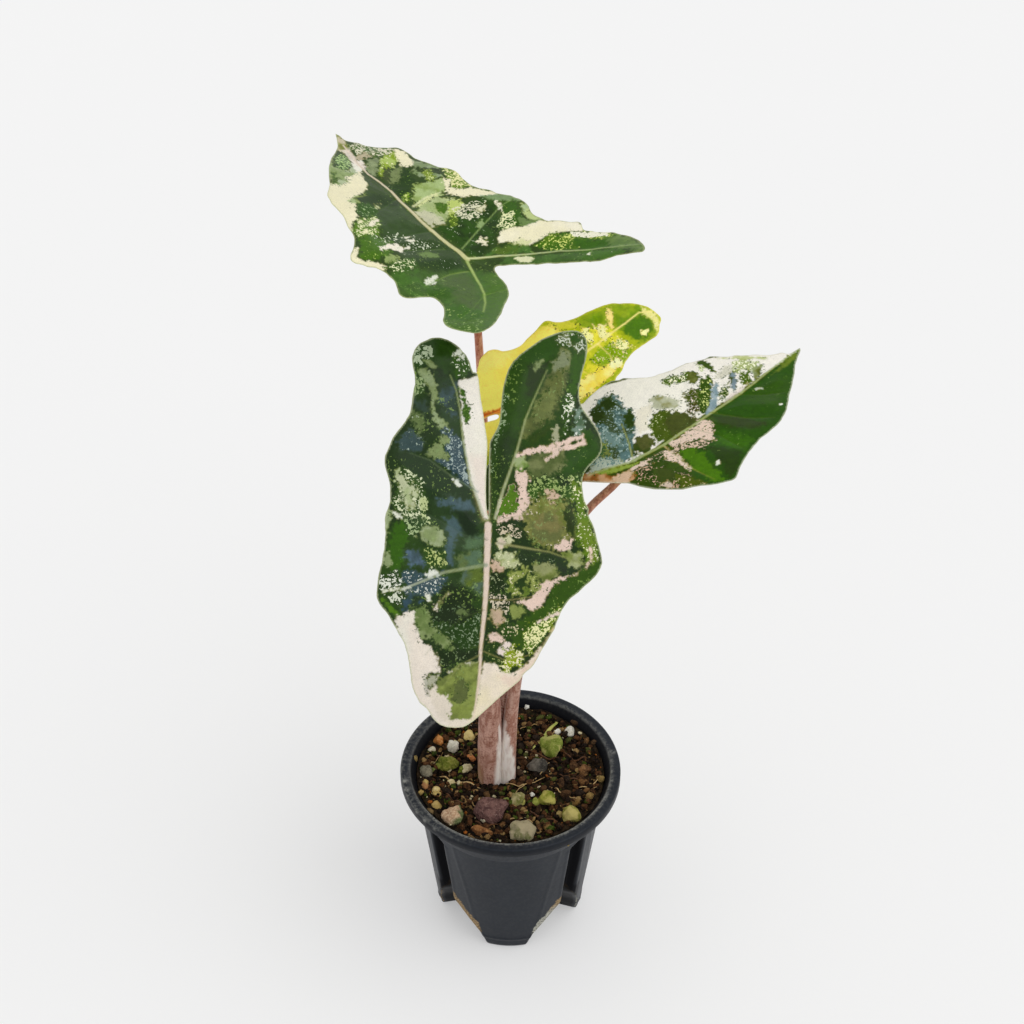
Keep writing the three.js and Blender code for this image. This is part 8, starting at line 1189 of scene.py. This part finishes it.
# single pieces seen in the photograph: place, half size and colours
BITS = [
    (-32.51, 12.95, 1.56, 1.60, 1.30, ('b8ad90', 'd9d0b6', 'ece6d6')),
    (-16.08, 9.06, 1.40, 2.14, 1.30, ('8a4f2c', 'b57444', 'cf9a68')),
    (-25.19, 2.26, 1.25, 1.25, 1.01, ('a89a70', 'c9bd92', 'ded4b2')),
    (-31.74, 2.23, 1.40, 1.25, 1.01, ('4a5428', '6f7a3c', '98a066')),
    (-24.19, -4.40, 1.40, 1.96, 1.30, ('b9a878', 'd5c79a', 'e6dcba')),
    (-36.15, -11.59, 1.09, 1.42, 1.01, ('8d7440', 'b0955a', 'cdb680')),
    (-34.32, -6.11, 1.25, 1.42, 1.15, ('a08548', 'c2a868', 'dac690')),
    (-4.41, -35.90, 1.09, 1.07, 0.86, ('c2b88e', 'ded5b0', 'eee8d2')),
    (8.77, -10.82, 1.25, 1.07, 0.86, ('cfccc0', 'e4e2d8', 'f2f1ea')),
    (19.62, 23.59, 1.40, 1.60, 1.30, ('c9c6ba', 'e0ddd2', 'efede4')),
    (6.91, 37.66, 1.09, 1.25, 1.01, ('cfccc0', 'e4e2d8', 'f2f1ea')),
    (8.13, 25.27, 1.25, 1.07, 0.86, ('7d7048', 'a39664', 'c4b88a')),
    (-26.57, 7.87, 1.87, 1.78, 1.44, ('9a8a5c', 'c0b184', 'ddd2b0')),
    (-19.85, 1.73, 1.87, 1.78, 1.44, ('4f5a16', '7c8428', 'a9aa58')),
    (-28.94, 4.48, 1.87, 1.78, 1.44, ('5c651f', '858a3a', 'b0a961')),
    (-23.04, 15.29, 1.56, 1.42, 1.15, ('b3a888', 'd2c9ae', 'e8e2d0')),
    (-9.44, -11.46, 1.87, 1.42, 1.15, ('3a2a1a', '5a4228', '7d6040')),
    (3.91, -15.19, 2.18, 1.78, 1.44, ('6d6a2c', '948f4a', 'b8b070')),
    (10.36, -14.62, 1.87, 1.78, 1.44, ('66702a', '8f9544', 'b5b06a')),
    (15.04, -29.01, 2.18, 1.78, 1.44, ('5a4426', '83683c', 'ab8f5c')),
    (26.08, -15.08, 2.18, 1.78, 1.44, ('4c3a22', '75592f', '9f8250')),
    (32.21, -12.34, 2.18, 1.78, 1.44, ('5a4728', '836a3c', 'ae945e')),
    (30.11, 0.30, 2.18, 1.78, 1.44, ('3d2a18', '64462a', '8e6b42')),
    (35.53, 17.31, 2.18, 1.42, 1.15, ('33241a', '4f3b28', '745a3c')),
    (14.99, 40.70, 1.87, 1.42, 1.15, ('3e2d1c', '5c442a', '7d6242')),
    (27.05, 28.88, 2.18, 1.42, 1.15, ('2f2217', '4b3826', '6f573c')),
    (0.72, -31.18, 1.87, 1.42, 1.15, ('4c5420', '737a38', '9a9c5c')),
    (-10.48, -24.90, 1.56, 1.42, 1.15, ('b5ab8c', 'd2cab0', 'e6e0d0')),
    (-32.16, -21.82, 1.87, 1.42, 1.15, ('4f3f26', '756040', '9c865e')),
    (-26.64, -32.36, 1.87, 1.42, 1.15, ('3f3a22', '625c38', '88805a')),
    (19.93, -21.56, 1.56, 1.42, 1.15, ('7d6a3c', 'a28c56', 'c4b080')),
    (36.92, -4.10, 1.87, 1.78, 1.44, ('5c4a2c', '86703f', 'b19a66')),
    (-39.30, 6.68, 1.25, 1.42, 1.15, ('6b5a34', '95804e', 'bba775')),
    (-30.04, -12.65, 1.56, 1.78, 1.44, ('a58c50', 'c6ae70', 'ddca98')),
    (3.92, 1.29, 1.87, 1.42, 1.15, ('2a1f16', '443325', '665040')),
    (-1.74, -14.68, 1.56, 1.42, 1.15, ('59622a', '858c46', 'aeb070')),
    (22.44, -37.33, 1.56, 1.07, 0.86, ('6a5a34', '94814e', 'baa878')),
    (-15.88, -35.44, 1.87, 1.42, 1.15, ('4a3a22', '70593a', '977e56')),
]
gv, gf = ico(1)
for gi, (name, count, (s0, s1), cols, lean) in enumerate(GRIT):
    VV, FF, n0 = [], [], 0
    r = np.random.default_rng(300 + gi)
    made = 0
    while made < count:
        rad = 37.6 * math.sqrt(r.uniform(0, 1)); t = r.uniform(0, 2 * math.pi)
        x, y = rad * math.cos(t), rad * math.sin(t)
        if r.uniform(0, 1) < lean and x > -8:     # more of these lie on the left
            continue
        s = s0 + (s1 - s0) * r.uniform(0, 1) ** 2.2
        if math.hypot(x + 5.2, y - 0.6) < 7.6 or rad + s > 38.0:
            continue
        if any(abs(x - q[1]) < q[3] * 0.9 and abs(y - q[2]) < q[4] * 0.9 for q in STONES):
            continue
        v = lump(gv, int(r.integers(1 << 30)), 0.3) * s * np.array([1, r.uniform(0.5, 1), r.uniform(0.4, 0.8)])
        v = v @ rot(*r.uniform(-0.7, 0.7, 2), r.uniform(0, 6.28)).T
        z = mix_height(np.array([x]), np.array([y]))[0] + s * r.uniform(0.05, 0.5)
        VV.append(v + [x, y, z]); FF.append(gf + n0); n0 += len(gv); made += 1
    o = new_obj(name, (np.vstack(VV) + SH) / 1000, np.vstack(FF), stone_material("m_" + name, cols), smooth=False)
    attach(o, "root")


bv, bf = ico(3)
rb = np.random.default_rng(41)
CHUNK = [("1f150d", "3a2718", "5c4129"), ("2a1b10", "4c341f", "74553a"), ("17110c", "2b2018", "46362a"), ("3c2a18", "6a4a2b", "93704a"),
         ("2c2f14", "4b4e22", "77743c")]
while len(BITS) < 38 + 85:      # broken bark, mostly behind and on the right
    rad = 36.0 * math.sqrt(rb.uniform(0, 1)); tt = rb.uniform(0, 2 * math.pi)
    x, y = rad * math.cos(tt), rad * math.sin(tt)
    if math.hypot(x + 5.2, y - 0.6) < 8.5 or (x < 0 and rb.uniform() < 0.45):
        continue
    a = rb.uniform(1.1, 2.7); b = a * rb.uniform(0.45, 0.9); c = a * rb.uniform(0.35, 0.7)
    if any(abs(x - q[0]) < q[2] * 0.8 + a * 0.5 and abs(y - q[1]) < q[3] * 0.8 + a * 0.5 for q in BITS) or \
            any(abs(x - q[1]) < q[3] + a * 0.4 and abs(y - q[2]) < q[4] + a * 0.4 for q in STONES):
        if rb.uniform() < 0.85:
            continue
    BITS.append((x, y, a, b, c, CHUNK[int(rb.integers(5))]))
bm2 = N("m_chunks")
co = bm2.coord()
n1 = bm2.noise(co, 0.45, 4, 0.6, 0.3); n2 = bm2.noise(co, 1.5, 4, 0.65)
c = bm2.mix(bm2.ss(n1, 0.36, 0.62), bm2.attr("CA"), bm2.attr("CB"))
c = bm2.mix(bm2.math("MULTIPLY", bm2.ss(n2, 0.5, 0.72), 0.75), c, bm2.attr("CC"))
bm2.put(bm2.b.inputs["Base Color"], c)
bm2.b.inputs["Roughness"].default_value = 0.85
bm2.b.inputs["Specular IOR Level"].default_value = 0.10
bm2.put(bm2.b.inputs["Normal"], bm2.bump(bm2.math("ADD", n1, n2), 0.8, 0.0005))
cv, cf = ico(2)
VV, FF, CA, CB, CC, n0 = [], [], [], [], [], 0
for bi, (x, y, a, b, c, cols) in enumerate(BITS):
    sv, sf = (bv, bf) if bi < 38 else (cv, cf)
    v = lump(sv, 700 + bi, 0.28) * np.array([a, b, c]) * 1.08
    v = v @ rot(0.5 * math.sin(bi * 1.9), 0.4 * math.cos(bi * 1.3), bi * 1.1).T
    z = mix_height(np.array([x]), np.array([y]))[0] + c * 0.45
    VV.append(v + [x, y, z]); FF.append(sf + n0); n0 += len(sv)
    for lst, h in ((CA, cols[0]), (CB, cols[1]), (CC, cols[2])):
        lst.append(np.tile(hexlin(h), (len(sv), 1)))
o = new_obj("chunks", (np.vstack(VV) + SH) / 1000, np.vstack(FF), bm2.m)
point_attr(o, "CA", np.vstack(CA), "COLOR"); point_attr(o, "CB", np.vstack(CB), "COLOR"); point_attr(o, "CC", np.vstack(CC), "COLOR")
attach(o, "root")


# ------------------------------------------------------------ tubes and stems
def catmull(pts, n):
    P = np.array(pts, float)
    seg = np.sqrt(np.linalg.norm(np.diff(P, axis=0), axis=1))
    t = np.r_[0, np.cumsum(seg)]
    Q = np.vstack([2 * P[0] - P[1], P, 2 * P[-1] - P[-2]])
    tt = np.r_[t[0] - seg[0], t, t[-1] + seg[-1]]
    out = []
    u = np.linspace(t[0], t[-1], n)
    for x in u:
        i = min(max(int(np.searchsorted(t, x, "right")) - 1, 0), len(P) - 2)
        p0, p1, p2, p3 = Q[i:i + 4]; t0, t1, t2, t3 = tt[i:i + 4]
        A1 = (t1 - x) / (t1 - t0) * p0 + (x - t0) / (t1 - t0) * p1
        A2 = (t2 - x) / (t2 - t1) * p1 + (x - t1) / (t2 - t1) * p2
        A3 = (t3 - x) / (t3 - t2) * p2 + (x - t2) / (t3 - t2) * p3
        B1 = (t2 - x) / (t2 - t0) * A1 + (x - t0) / (t2 - t0) * A2
        B2 = (t3 - x) / (t3 - t1) * A2 + (x - t1) / (t3 - t1) * A3
        out.append((t2 - x) / (t2 - t1) * B1 + (x - t1) / (t2 - t1) * B2)
    C = np.array(out)
    d = np.r_[0, np.cumsum(np.linalg.norm(np.diff(C, axis=0), axis=1))]
    e = np.linspace(0, d[-1], n)
    return np.stack([np.interp(e, d, C[:, k]) for k in range(3)], 1)


def tube(C, radii, sides, cross=None, ref=(0, -1, 0.001), cap=True):
    """Tube along C; cross(angle, t) multiplies the radius. Returns verts, faces, t, angle."""
    n = len(C)
    T = np.gradient(C, axis=0); T /= np.linalg.norm(T, axis=1)[:, None]
    ref = np.array(ref, float)
    t = np.linspace(0, 1, n)
    r = np.interp(t, np.linspace(0, 1, len(radii)), radii)
    a = np.linspace(0, 2 * np.pi, sides, endpoint=False)
    V = []
    for i in range(n):
        n1 = ref - (ref @ T[i]) * T[i]; n1 /= np.linalg.norm(n1)
        n2 = np.cross(T[i], n1)
        k = np.ones(sides) if cross is None else cross(a, t[i])
        V.append(C[i] + (r[i] * k * np.cos(a))[:, None] * n1 + (r[i] * k * np.sin(a))[:, None] * n2)
    V = np.vstack(V)
    F = []
    i = np.arange(sides); i2 = (i + 1) % sides
    for j in range(n - 1):
        b = j * sides
        F += list(zip(b + i, b + i2, b + sides + i2, b + sides + i))
    if cap:
        F.append(tuple(range(sides))[::-1]); F.append(tuple((n - 1) * sides + i))
    return V, F, np.repeat(t, sides), np.tile(a, n)


PATHS = {
    "front": [(-8.3, -0.8, 66), (-8.3, -1.2, 90), (-8.1, -5, 120), (-8, -16, 165), (-8, -30, 207), (-7.9, -40, 234)],
    "top": [(-5.4, 3.0, 66), (-6.2, 4.6, 92), (-7.2, 8.6, 125), (-8.4, 17.5, 175), (-10, 26.5, 222), (-11.6, 32.6, 257), (-13.0, 32.8, 280)],
    "right": [(-1.6, -0.2, 66), (-1.0, -0.6, 90), (1.0, -1.6, 120), (7, -6, 165), (16.5, -14, 205), (27.4, -21, 231.8), (35.7, -23.6, 244.6)],
    "rear": [(-3.4, 2.4, 66), (-2.6, 3.6, 92), (-1.6, 5.4, 122), (-1.6, 8.8, 175), (-2.4, 11.6, 222)],
}
RAD = {"front": [5.3, 5.2, 4.5, 3.05, 2.35, 1.9, 1.65, 1.5], "top": [4.2, 3.3, 2.6, 2.2, 1.9, 1.7, 1.55, 1.4],
       "right": [4.0, 3.4, 2.6, 2.1, 1.8, 1.6, 1.5, 1.4], "rear": [3.6, 3.0, 2.4, 2.0, 1.75, 1.6, 1.45, 1.35]}
LK = {"front": "A", "top": "B", "right": "C", "rear": "D"}


def stalk_material(name, pale, mid, dark, green=None):
    m = N(name)
    tc = m.n("TexCoord")
    mp = m.n("Mapping")
    m.put(mp.inputs["Vector"], tc.outputs["Object"])
    mp.inputs["Scale"].default_value = (1000, 1000, 260)
    st = mp.outputs[0]
    co = m.coord()
    n1 = m.noise(st, 0.55, 4, 0.6, 0.5)
    n2 = m.noise(co, 1.1, 4, 0.65)
    n3 = m.noise(co, 0.16, 3, 0.5)
    c = m.mix(m.ss(m.math("ADD", m.math("MULTIPLY", n1, 0.6), m.math("MULTIPLY", n2, 0.4)), 0.40, 0.58), hexlin(pale), hexlin(mid))
    c = m.mix(m.math("MULTIPLY", m.ss(n2, 0.54, 0.70), 0.8), c, hexlin(dark))
    c = m.mix(m.math("MULTIPLY", m.ss(n3, 0.5, 0.72), 0.5), c, hexlin(pale))
    if green:
        c = m.mix(m.attr("Tip", "Fac"), c, hexlin(green))
    if name == "stalk_rear":
        c = m.mix(m.attr("Low", "Fac"), c, m.mix(m.ss(n2, 0.4, 0.6), hexlin("c9a797"), hexlin("8e5c50")))
    c = m.mix(m.attr("Warm", "Fac"), c, m.mix(1.0, c, (1.12, 0.86, 0.66), "MULTIPLY"))
    c = m.mix(m.attr("Cream", "Fac"), c, m.mix(m.ss(n1, 0.4, 0.65), (0.80, 0.74, 0.68), (0.66, 0.56, 0.50)))
    c = m.mix(m.math("MULTIPLY", m.attr("Tan", "Fac"), m.ss(n2, 0.36, 0.56)), c, (0.40, 0.25, 0.12))
    m.put(m.b.inputs["Base Color"], c)
    m.b.inputs["Roughness"].default_value = 0.42
    m.b.inputs["Specular IOR Level"].default_value = 0.22
    m.put(m.b.inputs["Normal"], m.bump(m.math("ADD", n1, m.math("MULTIPLY", n2, 0.6)), 0.3, 0.00025))
    m.b.inputs["Subsurface Weight"].default_value = 0.08
    m.b.inputs["Subsurface Radius"].default_value = (0.003, 0.0015, 0.001)
    m.b.inputs["Subsurface Scale"].default_value = 0.6
    return m.m


STALK = {"front": ("bb9484", "8f6252", "6b3c32", "b6c07e"), "top": ("c99a86", "a86a52", "7e3f32", "b4b878"),
         "right": ("bd9a8a", "986a59", "724438", "b6b478"), "rear": ("c9cf8c", "a4b45a", "7d913c", "b9c468")}
stalks = {}
for nm in PATHS:
    L = LEAVES[LK[nm]]
    nrm = np.array(L["n"]); P0 = np.array(L["P0"])
    path = [np.array(p, float) for p in PATHS[nm]] + [P0 - nrm * 0.9]
    C = catmull(path, 150)
    V, F, t, a = tube(C, RAD[nm], 28, cross=lambda a, t: 1 + 0.05 * np.cos(2 * a) - 0.10 * np.exp(-((a - np.pi) / 0.5) ** 2) * (1 - t))
    z = V[:, 2]
    full = (np.arange(len(V)))
    mat = stalk_material("stalk_" + nm, *STALK[nm])
    # cut in two at the height where the free petiole begins in the frame
    k = int(np.argmin(np.abs(C[:, 2] - 118.2))); S = 28
    for part, i0, i1, node in (("low", 0, k + 1, "stem_base"), ("high", k, len(C), "petiole_" + nm)):
        vv = V[i0 * S:i1 * S]
        n = i1 - i0
        ii = np.arange(S); i2 = (ii + 1) % S
        ff = []
        for j in range(n - 1):
            b = j * S
            ff += list(zip(b + ii, b + i2, b + S + i2, b + S + ii))
        if part == "high":
            ff.append(tuple((n - 1) * S + ii))
        o = new_obj(("sheath_" if part == "low" else "stalk_") + nm, (vv + SH) / 1000, ff, mat)
        zz = vv[:, 2]; aa = a[i0 * S:i1 * S]; tt = t[i0 * S:i1 * S]
        point_attr(o, "Tip", sstep(0.93, 1.0, tt))
        cream = np.zeros(len(vv)); tan = np.zeros(len(vv))
        if nm == "front":
            # torn papery margin of the outer sheath, on the right of the front side
            side = (aa + np.pi) % (2 * np.pi) - np.pi
            w = np.interp(zz, [74, 90, 104, 112], [0.62, 0.42, 0.2, 0.0])
            cream = sstep(1.25, 0.75, np.abs(side - 0.98) / np.maximum(w, 1e-3)) * (zz < 112)
            tan = sstep(88, 76, zz) * sstep(0.35, 0.9, -side) * 0.9
        if nm == "right":
            # the same margin laps over the foot of the next stalk, wider toward the mix
            side = (aa + np.pi) % (2 * np.pi) - np.pi
            lim = np.interp(zz, [72, 86, 98, 108, 118], [1.3, 0.9, 0.1, -0.8, -1.6])
            cream = sstep(0.12, -0.12, side - lim - 0.15 * np.sin(zz * 0.9)) * (side > -2.2) * (zz < 121) * 0.95
        point_attr(o, "Cream", cream); point_attr(o, "Tan", tan)
        point_attr(o, "Low", sstep(150, 120, zz))
        point_attr(o, "Warm", sstep(120, 180, zz) * (1.0 if nm == "right" else 0.35 if nm == "top" else 0.0))
        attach(o, "root"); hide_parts(node)

# hidden parts below the mix are not seen; the mix surface covers them
for nd in ("corm", "root_1", "root_2", "root_3", "root_4"):
    mm = N("m_" + nd)
    co = mm.coord()
    mm.put(mm.b.inputs["Base Color"], mm.mix(mm.noise(co, 0.8, 4), (0.30, 0.20, 0.12), (0.55, 0.42, 0.28)))
    mm.b.inputs["Roughness"].default_value = 0.85
    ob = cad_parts[nd]
    ob.data.materials.clear(); ob.data.materials.append(mm.m)

# fibres, thin roots and a dry blade lying on the mix
FIB = {
    "fibre_tan": (("9a7a4c", "c2a471", "d9c08c"), [
        ([(-2, -5.5), (3, -6.5), (9, -4), (14, -2)], 0.22), ([(2, -11), (6, -6), (12, 0), (16, 6)], 0.2),
        ([(28, -7), (33, -6.5), (36, -4)], 0.22), ([(27, -9), (31, -9.5), (35.5, -8)], 0.18), ([(-29, -1), (-24, -4), (-17, -6), (-12, -8)], 0.35),
        ([(12, 18), (17, 22), (22, 27)], 0.25), ([(-33, 5), (-30, 9), (-28, 12)], 0.2), ([(4, 26), (10, 28), (15, 27)], 0.2),
        ([(18, -8), (22, -12), (27, -13)], 0.25), ([(-20, -12), (-16, -15), (-13, -20)], 0.22), ([(0, -25), (5, -24), (9, -26)], 0.25)]),
    "fibre_dark": (("3a2314", "5b3a22", "70482a"), [
        ([(-33, 12), (-27, 9), (-22, 10), (-18, 13)], 0.35), ([(6, 14), (10, 12), (15, 9), (20, 10)], 0.4), ([(22, 12), (27, 8), (31, 9)], 0.4),
        ([(8, -20), (13, -24), (19, -26)], 0.45), ([(-14, -26), (-10, -28), (-4, -27)], 0.4), ([(20, 0), (24, -3), (29, -3)], 0.35),
        ([(-26, -12), (-22, -15), (-17, -16)], 0.35), ([(-12, 20), (-8, 24), (-2, 27)], 0.35)]),
    "blade_dry": (("8f9a48", "b0ac58", "c9c07c"), [([(19.5, 29.5), (16, 24), (12, 17.5), (8.5, 13)], 0.6)]),
}
for nm, (cols, lines) in FIB.items():
    VV, FF, n0 = [], [], 0
    for li, (pts, r) in enumerate(lines):
        pp = np.array([(x, y, 0) for x, y in pts], float)
        C = catmull(pp, 40)
        C[:, 2] = mix_height(C[:, 0], C[:, 1]) + 0.9 + 0.5 * np.sin(np.linspace(0, 7 + li, 40))
        V, F, t, a = tube(C, [r * 0.7, r, r, r * 0.45], 6, ref=(0, 0, 1))
        if nm == "blade_dry":
            V = C.repeat(6, 0) + (V - C.repeat(6, 0)) * np.array([1.7, 1.0, 0.5])
        VV.append(V); FF += [tuple(int(q) + n0 for q in f) for f in F]; n0 += len(V)
    o = new_obj(nm, (np.vstack(VV) + SH) / 1000, FF, stone_material("m_" + nm, cols, "pebble"))
    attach(o, "root")

# --------------------------------------------------------- floor and lighting
fm = N("floor_matt")
co = fm.coord(1.0)
fm.put(fm.b.inputs["Base Color"], fm.mix(fm.noise(co, 3.0, 2), (0.56, 0.56, 0.56), (0.57, 0.57, 0.57)))
fm.b.inputs["Emission Color"].default_value = (1, 1, 1, 1)
fm.b.inputs["Emission Strength"].default_value = 0.318
fm.b.inputs["Roughness"].default_value = 1.0
fm.b.inputs["Specular IOR Level"].default_value = 0.0
floor = new_obj("floor", [(-6, -6, -0.0001), (6, -6, -0.0001), (6, 6, -0.0001), (-6, 6, -0.0001)], [(0, 1, 2, 3)], fm.m, smooth=False)

world = bpy.data.worlds.new("studio")
scene.world = world
world.use_nodes = True
wt = world.node_tree
wt.nodes.clear()
wo = wt.nodes.new("ShaderNodeOutputWorld"); wb = wt.nodes.new("ShaderNodeBackground")
wb.inputs[0].default_value = (1.0, 1.0, 1.0, 1.0)
wb.inputs[1].default_value = 0.83
wt.links.new(wb.outputs[0], wo.inputs[0])


def sun(name, direction, strength, angle, colour=(1, 1, 1)):
    d = bpy.data.lights.new(name, "SUN")
    d.energy = strength; d.angle = math.radians(angle); d.color = colour
    o = bpy.data.objects.new(name, d)
    scene.collection.objects.link(o)
    o.rotation_euler = Vector(direction).to_track_quat("Z", "Y").to_euler()
    return o


# a large soft source from the upper right and front
sun("key", (0.55, -0.28, 0.80), 0.84, 60)

cam_d = bpy.data.cameras.new("view")
cam_d.sensor_width = 36.0; cam_d.lens = 70.3125; cam_d.clip_start = 0.05; cam_d.clip_end = 20
cam = bpy.data.objects.new("view", cam_d)
scene.collection.objects.link(cam)
right = np.array([0.99999, 0.00233, 0.00283]); upv = np.array([-0.00367, 0.63429, 0.77309])
back = np.cross(right, upv)
right = right / np.linalg.norm(right); back = back / np.linalg.norm(back); upv = np.cross(back, right)
Mx = Matrix(((right[0], upv[0], back[0]), (right[1], upv[1], back[1]), (right[2], upv[2], back[2]))).to_4x4()
Mx.translation = Vector(((np.array([0.2549, -564.953, 676.244]) + SH) / 1000).tolist())
cam.matrix_world = Mx
scene.camera = cam
scene.view_settings.view_transform = "Standard"
scene.view_settings.look = "None"
scene.view_settings.exposure = 0.0
scene.view_settings.gamma = 1.0
